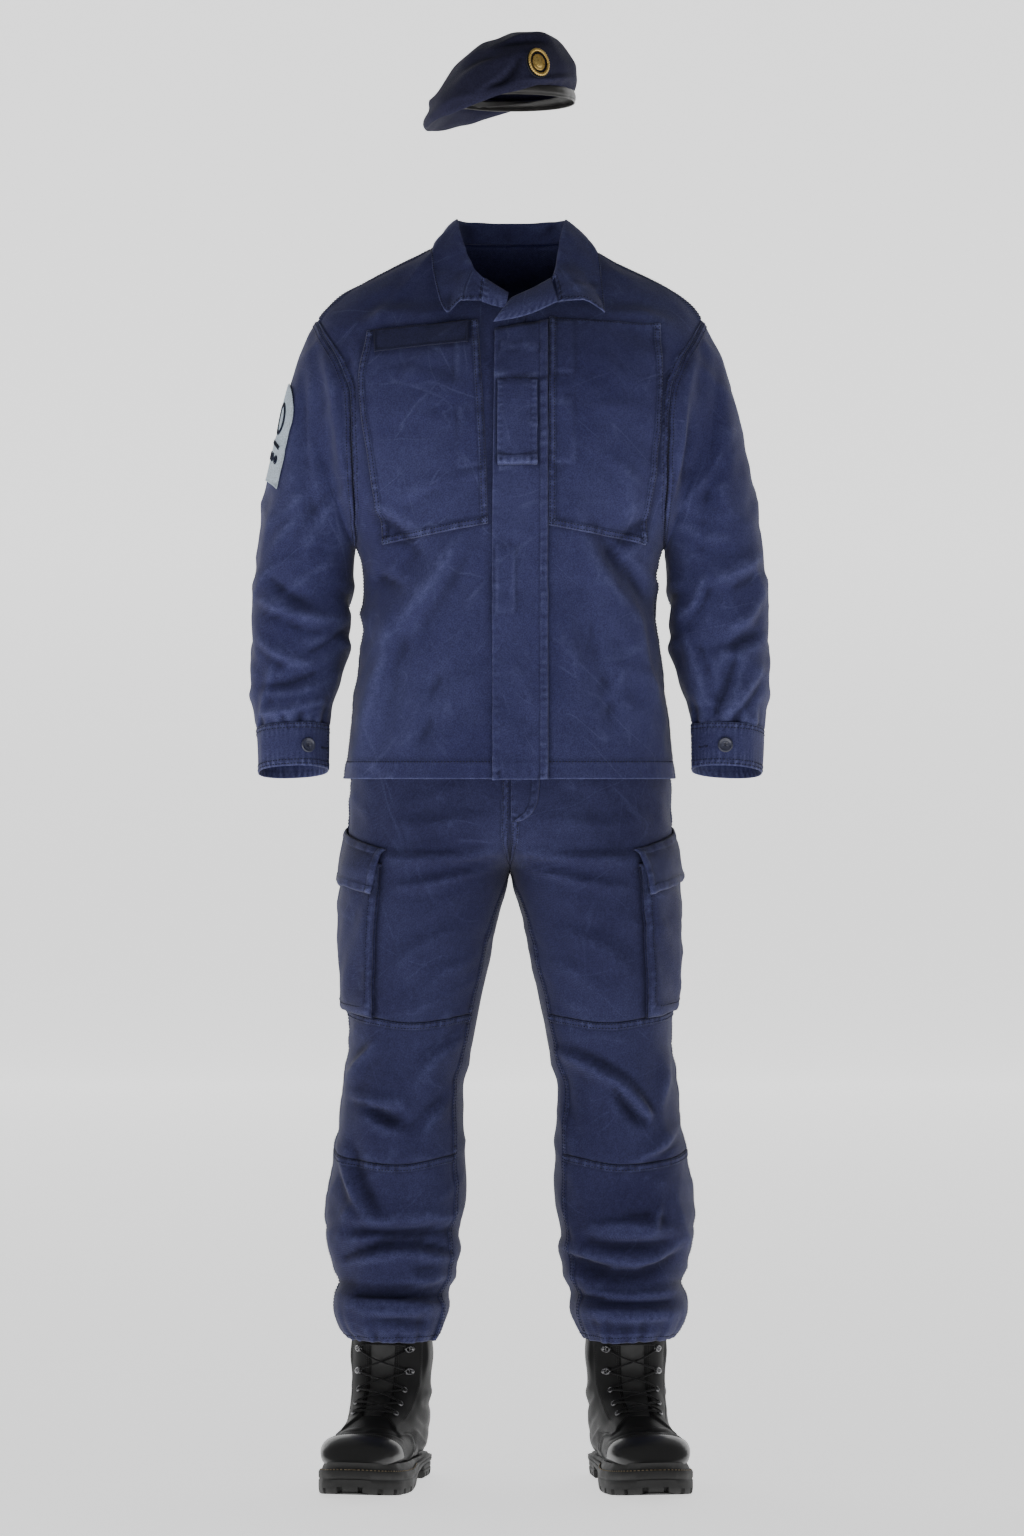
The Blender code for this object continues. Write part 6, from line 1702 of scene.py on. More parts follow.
# the curved double row that holds the fly, as (across, height)
FLY_STITCH = [(0.0350, 0.9900), (0.0352, 0.9200), (0.0350, 0.8800), (0.0330, 0.8580), (0.0260, 0.8440),
              (0.0160, 0.8360), (0.0060, 0.8330)]


def bridge_middle(panel, joined_above):
    """Carry the edge at the middle seam on under the other leg, only where the legs are sewn together."""
    end, normal = panel.points[:, :1], panel.normal[:, :1]
    beyond = end + np.array([-0.0045 * panel.side, 0, 0]) - normal * 0.0016
    joined = joined_above[:, None, None]
    more = beyond * joined + (end - normal * 0.0012) * (1 - joined)
    panel.points = np.concatenate([more, panel.points], axis=1)
    for name in ("normal", "wear", "painted_shade", "u", "v"):
        field = getattr(panel, name)
        setattr(panel, name, np.concatenate([field[:, :1], field], axis=1))


CARGO_POCKET_EDGE = ((32.5, 0.776), (32.5, 0.740), (32.5, 0.690), (32.5, 0.640), (32.5, 0.588), (45.0, 0.590),
                     (65.0, 0.594), (85.0, 0.598), (85.0, 0.640), (85.0, 0.776))
CARGO_FLAP_EDGE = ((34.5, 0.797), (36.0, 0.744), (60.0, 0.751), (90.0, 0.758), (90.0, 0.80))


def seen_outline(places, side):
    """(angle, height) places on the leg, as (across, height) seen from the front."""
    angle, height = np.array(places).T
    return np.stack([side * plain_leg(angle, height)[..., 0], height], -1)


def leg_rear(word, side):
    heights = rows_between(LEG_HEM_HEIGHT, LEG_TOP_HEIGHT, seam_high=False, coarse=0.0064)
    inner = leg_back_inner_edge(heights) - np.where(heights < CROTCH_HEIGHT + 0.02, EDGE_TURN, 0)
    angles = spread(np.full_like(heights, 90 + SIDE_TURN), inner, near_edges(0.30, coarse=0.0062))
    panel = Panel(f"leg_rear_{word}", leg_surface[side], angles, heights[:, None], side=side)
    panel.seam("left", "lap", seed=61 + side)
    panel.seam("right", "groove")
    panel.seam("bottom", "edge", seed=62)
    stitch_edge(panel, trouser_stitches, "left", LAP_ROWS)
    stitch_edge(panel, trouser_stitches, "bottom", BOOT_HEM_ROW)
    cloth_piece(panel, trouser_twill, "trouser_cloth", f"leg_back_{word}")


CARGO_POCKET = Table("share height_low_angle height_high_angle low_angle high_angle lift", [
    (0.0, 0.588, 0.605, 32.5, 140.0, 0.0020),
    (0.5, 0.690, 0.700, 32.5, 140.0, 0.0022),
    (1.0, 0.780, 0.797, 32.5, 138.0, 0.0026),
])
CARGO_FLAP = Table("share height_low_angle height_high_angle low_angle high_angle lift", [
    (0.0, 0.744, 0.772, 35.5, 148.0, 0.0118),
    (0.45, 0.767, 0.804, 34.0, 148.5, 0.0110),
    (0.75, 0.786, 0.828, 33.4, 149.0, 0.0066),
    (1.0, 0.797, 0.845, 33.4, 149.0, 0.0022),
])
# the bellows folds under itself before the pocket's face: distance in, and lift
BELLOWS = ((0.0000, 0.0008), (0.0035, 0.0024), (0.0042, 0.0036), (0.0006, 0.0046), (0.0000, 0.0060),
           (0.0016, 0.0074), (0.0040, 0.0082))


def bellows_edge(low, high):
    """Places along one direction of the pocket, in metres from its low edge, and their lifts."""
    places = [inward for inward, _ in BELLOWS]
    lifts = [lift for _, lift in BELLOWS]
    inner = 0.0085 + (high - low - 0.0170) * near_edges(high - low - 0.0170)
    count = len(inner)
    place = places + list(inner) + [high - low - inward for inward in places[::-1]]
    return np.array(place), np.array(lifts + [0.0084] * count + lifts[::-1])


def cargo_pocket(word, side):
    """A patch pocket on a folded bellows, fuller in its middle."""
    height, width = 0.185, 0.200
    rows, row_lift = bellows_edge(0.0, height)
    columns, column_lift = bellows_edge(0.0, width)
    # under the flap the top of the pocket is flat
    row_lift = np.where(rows > height - 0.012, 0.0080, row_lift)
    share_up, share_across = np.clip(rows / height, 0, 1), np.clip(columns / width, 0, 1)
    low_z, high_z, low_angle, high_angle, _ = CARGO_POCKET.read_all(share_up)
    u = low_angle[:, None] + share_across[None, :] * (high_angle - low_angle)[:, None]
    v = low_z[:, None] + share_across[None, :] * (high_z - low_z)[:, None]
    lift = np.minimum(row_lift[:, None], column_lift[None, :])
    swell = np.sin(np.pi * share_up)[:, None] * np.sin(np.pi * share_across)[None, :]
    panel = Panel(f"cargo_bag_{word}", leg_surface[side], u, v, side=side, lift=lift + 0.0014 * swell)
    inside = np.minimum.outer(np.minimum(rows, height - rows), np.full(len(columns), 1.0))
    inside = np.minimum(inside, np.minimum(columns, width - columns)[None, :])
    panel.push(ripples(panel.points, 71 + side, 0.045, 0.0013) * smooth(inside, 0.004, 0.02))
    along = np.broadcast_to(rows[:, None], u.shape)
    pucker = puckers(along, 0.012, 1.5, 43)
    panel.wear += 0.28 * bump_at(inside - 0.0045, 0.0016) * (0.6 + 0.4 * pucker)
    # painted shade along the bellows' folded edge and along a line inside the stitching
    panel.painted_shade += 0.55 * bump_at(inside - 0.0015, 0.0016)
    panel.painted_shade += 0.40 * bump_at(inside - 0.0125, 0.0016)
    panel.push(0.0005 * pucker * bump_at(inside - 0.008, 0.005))
    panel.shade_beside(seen_outline(CARGO_FLAP_EDGE, side), width=0.0050, amount=0.9)
    # a pressed crease down the middle, pushed in and painted in shade
    middle = bump_at(columns[None, :] - width * 0.5, 0.0030) * smooth(inside, 0.006, 0.02)
    panel.push(-0.0010 * middle)
    panel.painted_shade += 0.4 * middle
    folded_edge = len(BELLOWS)
    row_path = np.arange(folded_edge + 8, len(rows) - 4)
    for at in (0.0100, width - 0.0100):
        column_place = np.interp(at, columns[folded_edge:-folded_edge],
                                 np.arange(folded_edge, len(columns) - folded_edge))
        trouser_stitches.row(panel.sample(row_path, np.full(len(row_path), column_place)))
    bottom_row = folded_edge + 1.2
    column_path = np.arange(folded_edge + 8, len(columns) - folded_edge - 8)
    trouser_stitches.row(panel.sample(np.full(len(column_path), bottom_row), column_path))
    cloth_piece(panel, trouser_twill, "trouser_cloth", f"cargo_pocket_{word}")


def cargo_flap(word, side):
    share, across = near_edges(0.060), near_edges(0.185)
    low_z, high_z, low_angle, high_angle, lift = CARGO_FLAP.read_all(share)
    u, v = spread(low_angle, high_angle, across), spread(low_z, high_z, across)
    across = across[None, :]
    wave = 0.0012 * np.sin(across * 9.0 + 1.2 * side) * (1 - share)[:, None]
    points_lift = lift[:, None] + wave + 0 * u
    panel = Panel(f"cargo_lid_{word}", leg_surface[side], u, v, side=side, lift=points_lift)
    panel.push(ripples(panel.points, 75 + side, 0.04, 0.0007))
    for edge in ("left", "right", "bottom"):
        panel.seam(edge, "double", seed=77 + side)
        stitch_edge(panel, trouser_stitches, edge, LAP_ROWS)
    panel.seam("top", "lap", seed=78)
    stitch_edge(panel, trouser_stitches, "top", LAP_ROWS)
    cloth_piece(panel, trouser_twill, "trouser_cloth", f"cargo_flap_{word}",
                wall=DOUBLE_CLOTH,
                outward=True)


def waist_surface(angle, height):
    """The waist as one ring: the two legs' surfaces, each on its own side."""
    left_half = np.sin(np.radians(angle)) >= 0
    own = plain_leg(np.where(left_half, angle, -np.asarray(angle)), height)
    own[..., 0] *= np.where(left_half, 1, -1)
    return own


def waistband():
    gap = 0.115
    angles = np.linspace(-360 + 8 + gap, 8 - gap, 160)
    heights = np.linspace(WAIST_SEAM_HEIGHT, WAIST_TOP_HEIGHT, 14)
    panel = Panel("waist_band", waist_surface, angles[None, :], heights[:, None])
    for edge in ("top", "bottom"):
        panel.seam(edge, "edge", seed=81)
        stitch_edge(panel, trouser_stitches, edge, (0.0030,))
    cloth_piece(panel, trouser_twill, "trouser_cloth", "waistband",
                wall=DOUBLE_CLOTH)
    return panel


def fly():
    share = near_edges(0.160, high=False)
    height = 0.834 + share * (0.995 - 0.834)
    stitch_across, stitch_height = np.array(FLY_STITCH[::-1]).T
    right = np.interp(height, stitch_height, stitch_across)
    across = spread(np.full_like(share, 0.0015), right + 0.0015, near_edges(0.036, coarse=0.0025))
    surface = leg_surface[1]
    panel = Panel("fly_front", surface, leg_angle(across, height[:, None]), height[:, None] + 0 * across,
                  lift=np.full(across.shape, 0.0006))
    panel.seam("left", "edge", seed=83)
    panel.seam("right", "double", seed=84)
    stitch_edge(panel, trouser_stitches, "left", (0.0060,))
    stitch_edge(panel, trouser_stitches, "right", LAP_ROWS)
    cloth_piece(panel, trouser_twill, "trouser_cloth", "fly",
                outward=True)


for word, side in SIDES:
    leg_panels(word, side)
    leg_rear(word, side)
    cargo_pocket(word, side)
    cargo_flap(word, side)
band = waistband()
fly()
button_on("waist_stud", "waist_button", band, 6.8, 159 * (1.0 + 352) / 360)
finished(trouser_stitches.piece("trouser_topstitching"), dark_thread_as_pit_shade, "trouser_cloth")


# ---------------------------------------------------------------- beret
CROWN_END = 7.0     # the station of the crown's last ring
BERET_TOP = np.array([0.006, 0.008, 1.8305])
BERET_FOLDS = seen_from("front", [
    (-24, 1752, 12, 1786, -6, 7.5, -7.5), (-50, 1738, -90, 1726, -4, 9, 1.8), (0, 1815, 50, 1822, 4, 7, 4),
    (-10, 1806, 45, 1812, 3, 6, -4), (-20, 1790, -75, 1762, -8, 11, -4), (-30, 1815, -85, 1785, 6, 11, 3.5),
    (20, 1760, 75, 1768, -2, 6, 3),
]) + seen_from("back", [
    (-80, 1770, 60, 1780, 6, 12, 5), (-70, 1745, 40, 1752, 3, 8, -5), (30, 1800, -50, 1790, 4, 10, -4),
]) + seen_from("inner", [
    (40, 1745, -50, 1740, 2, 10, 4),
])


def crown_surface(angle, station):
    """The felt crown; past the last ring it closes at the top."""
    ring = section_between(BERET, angle, np.minimum(station, CROWN_END))
    share = np.clip(np.asarray(station, dtype=float) - CROWN_END, 0, 1)[..., None]
    return ring * (1 - share) + BERET_TOP * share


def crown_normal(angle, station):
    return -normal_of(crown_surface, angle, station)


def beret_crown():
    angles = np.linspace(0, 360, 132, endpoint=False)
    stations = steps_through((0, 1, CROWN_END, CROWN_END + 0.97), (12, 62, 8))
    panel = Panel("felt_crown", crown_surface, angles[None, :], stations[:, None], wraps=True)
    panel.normal = -panel.normal
    height = fold_height(panel.points, panel.normal, BERET_FOLDS) + ripples(panel.points, 91, 0.055, 0.0011)
    near_band = smooth(panel.from_bottom, 0.0, 0.012)
    panel.push(height * near_band)
    # the felt turns in and is eased on to the band
    ease = np.sin(np.radians(angles) * 31 + 1.3 * np.sin(np.radians(angles) * 7))[None, :]
    panel.push(0.0005 * ease * bump_at(panel.from_bottom - 0.006, 0.006))
    cloth_piece(panel, beret_felt, "beret_wool", "beret_crown", wall=0.0018,
                flipped=True)


def leather_band():
    angles = np.linspace(0, 360, 140, endpoint=False)
    share = np.concatenate((np.linspace(0, 1, 14), np.linspace(1.1, 1.5, 4)))
    bulge = 0.0016 * np.sin(np.pi * np.clip(share, 0, 1)) + 0.0008

    def band_surface(angle, up):
        """The band; past its top edge it goes on up inside the crown."""
        ring = section_between(BERET_BAND, angle, np.minimum(up, 1.0))
        beyond = np.clip(np.asarray(up, dtype=float) - 1.0, 0, 1)
        crown = crown_surface(angle, beyond)
        inwards = -0.0040 * (beyond / 0.5)[..., None] * unit(crown * np.array([1, 1, 0]))
        return ring + crown - crown_surface(angle, np.zeros_like(beyond)) + inwards

    panel = Panel("leather_band", band_surface, angles[None, :], share[:, None], wraps=True)
    panel.normal = -panel.normal
    panel.push(bulge[:, None] + 0 * panel.from_bottom)
    panel.push(ripples(panel.points, 93, 0.02, 0.0004))
    panel.push(-0.0006 * bump_at(panel.from_bottom - 0.0028, 0.0010))
    stitches = Stitching()
    stitches.row(panel.inset("bottom", 0.0028), pitch=0.0030, length=0.0021)
    cloth_piece(panel, beret_leather, "beret_leather", "beret_band",
                wall=0.0014, flipped=True)
    finished(stitches.piece("band_stitching", radius=0.00035), boot_thread, "beret_leather")


BADGE_ANGLE, BADGE_STATION, BADGE_STRETCH = 62.0, 3.45, 1.30
BADGE_FELT_PROFILE = [(0.0150, -0.0022), (0.0156, -0.0002), (0.0154, 0.0010), (0.0140, 0.0014), (0.0, 0.0014)]
BADGE_DOME_PROFILE = [(0.0086, 0.0012), (0.0086, 0.0022), (0.0074, 0.0032), (0.0066, 0.0026),
                      (0.0058, 0.0034), (0.0040, 0.0044), (0.0020, 0.0050), (0.0, 0.0051)]


def cap_badge():
    """A plain gilt badge of its own: a corded ring round a fluted dome, on felt."""
    at = np.array([BADGE_ANGLE]), np.array([BADGE_STATION])
    centre, normal = crown_surface(*at)[0], crown_normal(*at)[0]
    backing = turned_disc("badge_felt_disc", BADGE_FELT_PROFILE, centre, normal, steps=56,
                          stretch=BADGE_STRETCH)
    finished(backing, badge_felt, "badge_backing", "badge_backing")
    up = unit(np.array([0, 0, 1.0]) - normal * normal[2])
    aside = np.cross(up, normal)
    turn, around = np.meshgrid(np.linspace(0, 2 * math.pi, 168, endpoint=False),
                               np.linspace(0, 2 * math.pi, 12, endpoint=False), indexing="ij")
    wire = 0.0016 * (1 + 0.22 * np.sin(turn * 34 + around))
    distance = 0.0128 + wire * np.cos(around)
    points = (centre + aside * (distance * np.cos(turn))[..., None]
              + up * (distance * np.sin(turn) * BADGE_STRETCH)[..., None]
              + normal * (0.0026 + wire * np.sin(around))[..., None])
    rows, columns = points.shape[:2]
    faces = grid_faces(rows + 1, columns, True, False) % (rows * columns)
    ring = new_mesh("badge_cord", points, faces)
    outward_faces(ring)
    finished(ring, gold, "badge_metal", "badge_ring")
    dome = turned_disc("badge_dome", BADGE_DOME_PROFILE, centre, normal, steps=64, stretch=BADGE_STRETCH)
    finished(dome, gold, "badge_metal", "badge_centre")


beret_crown()
leather_band()
cap_badge()


# ---------------------------------------------------------------- boots
BOOT_END = 10.6         # the station of the upper's last ring
TOE_CLOSED = 10.97      # just before the upper closes at its tip
TOE_TIP = np.array([0, -0.2130, 0.0405])
# angle from the instep at which each line of the boot lies, at each station
THROAT = Table("station degrees", [(0.0, 20.0), (3.0, 18.0), (4.4, 15.5), (5.0, 13.0)])
FACING_SEAM = Table("station degrees", [(0.0, 66.0), (2.4, 64.0), (3.6, 56.0), (4.6, 50.0), (5.6, 44.0)])
COUNTER_SEAM = Table("station degrees", [(2.4, 150.0), (3.4, 138.0), (5.0, 122.0), (6.4, 112.0)])
# station at which the quarter ends over the vamp, at each angle
QUARTER_EDGE = Table("degrees station", [
    (0, 4.88), (12, 4.95), (20, 5.25), (34, 5.85), (48, 6.45), (56, 6.62), (64, 6.30), (76, 6.05), (90, 6.35),
    (104, 6.95), (120, 7.6),
])
LACE_ROWS = Table("row station degrees", [
    (0, 1.5, 36.0), (1, 2.3, 36.0), (2, 3.2, 34.0), (3, 4.0, 32.0), (4, 4.7, 30.0),
])
LACE_RADIUS = 0.0013
HOOK_ROWS = 2           # the top rows have hooks over their holes
BOOT_STITCHES = {"pitch": 0.0024, "length": 0.0017}
BOOT_THREADS = {"radius": 0.00034, "rise": 0.0002}


def boot_surface(across, toe_out):
    """The upper in its place on the floor; past its last ring it closes at the toe."""
    cosine, sine = math.cos(toe_out), math.sin(toe_out)

    def surface(angle, station):
        ring = boot_upper(angle, np.minimum(station, BOOT_END))
        share = (np.clip((np.asarray(station, dtype=float) - BOOT_END) / 0.4, 0, 1) ** 0.7)[..., None]
        point = ring * (1 - share) + TOE_TIP * share
        return placed(point, across, cosine, sine)
    return surface


def placed(point, across, cosine, sine):
    x, y = point[..., 0], point[..., 1]
    return stacked(across + x * cosine - y * sine, ANKLE_Y + x * sine + y * cosine, point[..., 2])


def from_instep(angle):
    """Degrees from the instep line, on either side."""
    return np.abs((np.asarray(angle, dtype=float) + 180) % 360 - 180)


def boot_piece(word):
    across, toe_out = BOOT_PLACES[word]
    side = 1 if word == "left" else -1
    turn = math.radians(toe_out * side)
    surface = boot_surface(across, turn)
    shape_upper(word, surface)
    shape_tongue(word, surface)
    shape_toe_cap(word, surface)
    shape_lacing(word, surface)
    for name, table, outline_step in (("sole", SOLE, 0.026), ("heel", HEEL, 0.017)):
        tread(word, name, table, outline_step, across, math.cos(turn), math.sin(turn))


def shape_upper(word, surface):
    angles = np.linspace(0, 360, 112, endpoint=False)
    stations = steps_through((0, 4.4, 7.2, BOOT_END, TOE_CLOSED), (42, 42, 20, 6))
    panel = Panel(f"boot_leather_{word}", surface, angles[None, :], stations[:, None], wraps=True)
    away, station = from_instep(panel.u), panel.v
    quarter = QUARTER_EDGE.read("station", away) - station
    throat = THROAT.read("degrees", station)
    on_quarter = smooth(quarter, -0.01, 0.06) * smooth(away - throat, -1.2, 0.8) * (away < 122)
    panel.push(0.0015 * on_quarter)
    panel.push(-0.0030 * smooth(throat - away, -1.0, 1.5) * smooth(4.98 - station, -0.05, 0.15))
    # the facing lies over the side, the counter over the heel
    facing = FACING_SEAM.read("degrees", station) - away
    panel.push(0.0008 * smooth(facing, -0.8, 1.2) * on_quarter)
    counter = away - COUNTER_SEAM.read("degrees", station)
    counter_height = smooth(station, 2.4, 2.9) * (1 - smooth(station, 6.2, 6.6))
    panel.push(0.0011 * smooth(counter, -0.8, 1.2) * counter_height)
    # a padded collar at the sides and the back, in two rolls
    roll = (0.0026 * bump_at(station - 0.5, 0.38) + 0.0034 * bump_at(station - 1.75, 0.55)
            - 0.0012 * bump_at(station - 1.05, 0.10))
    panel.push(roll * smooth(away, 66, 74) * (1 - smooth(away, 168, 176)))
    panel.push(0.0014 * bump_at(away - 180, 7.0) * (1 - smooth(station, 4.0, 4.6)))
    # soft creases where the boot bends, and slack in the sides
    for at, low, high, depth in ((6.9, 0, 60, -0.0016), (7.25, 8, 70, 0.0011), (6.5, 0, 40, 0.0009),
                                 (5.7, 70, 118, -0.0020), (5.2, 72, 112, 0.0016), (3.4, 74, 130, -0.0022),
                                 (3.0, 78, 126, 0.0018), (4.2, 70, 120, -0.0014)):
        wander = 0.16 * np.sin(np.radians(panel.u * 2.3 + 40 * at))
        inside = smooth(away, low - 8, low + 8) * (1 - smooth(away, high - 8, high + 8))
        panel.push(depth * inside * bump_at(station - at - wander, 0.16))
    seed = 101 if word == "left" else 102
    panel.push(ripples(panel.points, seed, 0.045, 0.0006) * smooth(9.0 - station, 0, 1.5))
    panel.measure()
    finished(panel.piece(), boot_leather, "boot_leather", f"boot_upper_{word}", wall=LEATHER)
    stitches = Stitching()
    column = len(angles) / 360

    def seam(places):
        """A stitched line through (degrees, station) places, on both sides."""
        places = np.array(places, dtype=float)
        t = np.arange(len(places))
        fine = np.linspace(0, len(places) - 1, 30 * len(places))
        degrees, at = (np.interp(fine, t, places[:, axis]) for axis in (0, 1))
        for way in (1, -1):
            row = np.interp(at, stations, np.arange(len(stations)))
            stitches.row(panel.sample(row, way * degrees * column), **BOOT_STITCHES)

    levels = np.linspace(0.06, 5.2, 24)
    for inward in (1.4, 3.6):
        seam([(THROAT.read("degrees", at) + inward, at) for at in levels if at < 4.9])
    for inward in (1.2, 3.8):
        seam([(FACING_SEAM.read("degrees", at) - inward, at) for at in levels])
    whole_edge, side_of_edge = np.linspace(14, 116, 40), np.linspace(58, 106, 20)
    for inward, edge in ((0.09, whole_edge), (0.20, whole_edge), (0.46, side_of_edge), (0.57, side_of_edge)):
        seam([(degrees, QUARTER_EDGE.read("station", degrees) - inward) for degrees in edge])
    for inward in (1.4, 4.0):
        seam([(COUNTER_SEAM.read("degrees", at) + inward, at) for at in np.linspace(2.7, 6.2, 14)])
    seam([(degrees, 1.08) for degrees in np.linspace(70, 172, 20)])
    seam([(172, at) for at in np.linspace(0.1, 4.2, 14)])
    made = stitches.piece(f"boot_stitching_{word}", **BOOT_THREADS)
    finished(made, boot_thread, "boot_leather")


def shape_tongue(word, surface):
    stations = np.linspace(0, 4.95, 60)
    half = THROAT.read("degrees", stations) + 3.0
    u = spread(-half, half, 22)
    bulge = np.cos(np.linspace(-1, 1, 22) * math.pi / 2)[None, :]
    wave = 0.0007 * np.sin(stations * 5.3)[:, None] * bulge
    lift = -0.0022 + 0.0014 * bulge + wave
    panel = Panel(f"boot_flap_{word}", surface, u, stations[:, None], lift=lift)
    panel.push(ripples(panel.points, 105, 0.022, 0.0004))
    finished(panel.piece(), tongue_leather, "boot_leather", f"boot_tongue_{word}", wall=0.0012)


def shape_toe_cap(word, surface):
    edge = np.linspace(-100, 100, 76)
    start = 7.95 - 0.28 * np.cos(np.radians(edge) * 0.9)
    stations = steps_through((0, 0.30, 0.90, 1), (14, 22, 7))
    v = start[None, :] + stations[:, None] * (TOE_CLOSED - start)[None, :]
    lift = 0.0004 + 0.0014 * smooth(stations, 0.0, 0.035)
    panel = Panel(f"boot_cap_{word}", surface, edge[None, :], v, lift=lift[:, None] + 0 * v)
    fullness = np.sin(np.pi * np.clip(stations * 1.1, 0, 1))[:, None]
    panel.push(0.0010 * fullness * (1 - smooth(np.abs(panel.u), 60, 100)))
    finished(panel.piece(), cap_leather, "boot_leather", f"toe_cap_{word}", wall=0.0014)
    stitches = Stitching()
    for inward in (0.0022, 0.0048):
        place = np.array([np.interp(inward, panel.from_bottom[:, column], np.arange(len(stations)))
                          for column in range(len(edge))])
        stitches.row(panel.sample(place, np.arange(len(edge))), **BOOT_STITCHES)
    made = stitches.piece(f"cap_stitching_{word}", **BOOT_THREADS)
    finished(made, boot_thread, "boot_leather")


def tube(name, places, radius, sides=8):
    """A round cord along a smoothed line, with closed ends."""
    places = np.array(places)
    padded = np.concatenate([[2 * places[0] - places[1]], places, [2 * places[-1] - places[-2]]])
    line = []
    for step in range(1, len(padded) - 2):
        p0, p1, p2, p3 = padded[step - 1:step + 3]
        for t in np.linspace(0, 1, 6, endpoint=False):
            line.append(0.5 * (2 * p1 + (p2 - p0) * t + (2 * p0 - 5 * p1 + 4 * p2 - p3) * t ** 2
                               + (3 * p1 - p0 - 3 * p2 + p3) * t ** 3))
    line = np.array(line + [places[-1]])
    way = unit(np.gradient(line, axis=0))
    first = unit(np.cross(way[0], [0.1, 0.2, 1.0]))
    rings = []
    for point, ahead in zip(line, way):
        first = unit(first - ahead * (first @ ahead))
        second = np.cross(ahead, first)
        turn = np.linspace(0, 2 * math.pi, sides, endpoint=False)[:, None]
        rings.append(point + radius * (np.cos(turn) * first + np.sin(turn) * second))
    faces = grid_faces(len(rings), sides, True, False).tolist()
    faces.append(list(range(sides))[::-1])
    faces.append([(len(rings) - 1) * sides + step for step in range(sides)])
    made = new_mesh(name, np.array(rings), faces)
    outward_faces(made)
    return made


def joined(name, pieces):
    """Several small meshes as one."""
    points, faces = [], []
    for piece in pieces:
        base = len(points)
        points += [tuple(vertex.co) for vertex in piece.data.vertices]
        faces += [[base + corner for corner in face.vertices] for face in piece.data.polygons]
        mesh = piece.data
        bpy.data.objects.remove(piece)
        bpy.data.meshes.remove(mesh)
    return new_mesh(name, np.array(points) + np.array([0, 0, HOLD_HEIGHT]), faces)


RIVET_PROFILE = [(0.0026, 0.0), (0.0026, 0.0010), (0.0018, 0.0017), (0.0, 0.0019)]
EYELET_PROFILE = [(0.0022, -0.0006), (0.0022, 0.0010), (0.0027, 0.0017), (0.0033, 0.0017), (0.0039, 0.0008),
                  (0.0040, -0.0004), (0.0030, -0.0010)]


def ring_piece(name, profile, centre, normal, steps=24):
    """A turned ring with a hole."""
    normal = unit(np.asarray(normal))
    up = unit(np.array([0, 0, 1.0]) - normal * normal[2])
    aside = np.cross(up, normal)
    turn = np.linspace(0, 2 * math.pi, steps, endpoint=False)
    points = np.array([[centre + distance * (math.cos(at) * aside + math.sin(at) * up) + height * normal
                        for at in turn] for distance, height in profile + profile[:1]])
    faces = grid_faces(len(profile) + 1, steps, True, False) % (len(profile) * steps)
    made = new_mesh(name, points[:-1], faces)
    outward_faces(made)
    return made


def shape_lacing(word, surface):
    """Hooks, eyelets and one lace crossed between them."""
    def on_boot(degrees, station, lift):
        at = np.array([float(degrees)]), np.array([float(station)])
        normal = normal_of(surface, *at)[0]
        return surface(*at)[0] + lift * normal, normal

    metal = []
    for row in range(5):
        station, degrees = LACE_ROWS.read("station", row), LACE_ROWS.read("degrees", row)
        for way in (1, -1):
            centre, normal = on_boot(way * degrees, station, 0.0026)
            metal.append(ring_piece("eyelet", EYELET_PROFILE, centre, normal))
            if row < HOOK_ROWS:
                # a loop stands over the two top holes, riveted beside them
                outer, _ = on_boot(way * (degrees + 9), station, 0.0026)
                metal.append(turned_disc("rivet", RIVET_PROFILE, outer, normal, steps=18))
                along = unit(centre - outer)
                high = np.cross(normal, along)
                loop = [outer + normal * 0.0012 + high * 0.0022, centre + normal * 0.0034 + high * 0.0034,
                        centre + normal * 0.0040 + along * 0.0040, centre + normal * 0.0034 - high * 0.0034,
                        outer + normal * 0.0012 - high * 0.0022]
                metal.append(tube("hook", loop, 0.0008, sides=7))
    finished(joined(f"boot_eyelets_{word}", metal), eyelet_steel, "boot_leather")

    def end(row, way, lift=0.0044):
        return on_boot(way * LACE_ROWS.read("degrees", row), LACE_ROWS.read("station", row), lift)[0]

    def crossing(row, share, way, high):
        degrees = way * LACE_ROWS.read("degrees", row + share) * (1 - 2 * share)
        station = LACE_ROWS.read("station", row + share)
        middle = 1 - abs(2 * share - 1)
        return on_boot(degrees, station, 0.0046 + middle * (0.0034 if high else 0.0002))[0]

    def leg_of_lace(way, high):
        route = [end(0, way)]
        for row in range(4):
            route += [crossing(row, share, way, high) for share in (0.15, 0.35, 0.5, 0.65, 0.85)]
            way, high = -way, not high
            route.append(end(row + 1, way))
        return route, way

    down, way = leg_of_lace(1, True)
    up, _ = leg_of_lace(-1, False)
    bottom = [on_boot(way * 30 * share, 4.76 + 0.05 * (1 - abs(share)), 0.0050)[0]
              for share in (0.7, 0.3, -0.3, -0.7)]
    top = [on_boot(way * 36 * share, 1.40 - 0.06 * (1 - share * share), 0.0056)[0]
           for share in (0.8, 0.4, 0.0, -0.4, -0.8)]
    # the straight run across the top row starts and ends behind the loops
    crossed = tube("crossed", down + bottom + up[::-1], LACE_RADIUS)
    straight = tube("across", [end(0, way, 0.0030)] + top + [end(0, -way, 0.0030)], LACE_RADIUS)
    lace = joined(f"boot_lace_{word}", [crossed, straight])
    finished(lace, lace_cord, "lace_cord", f"lace_{word}")


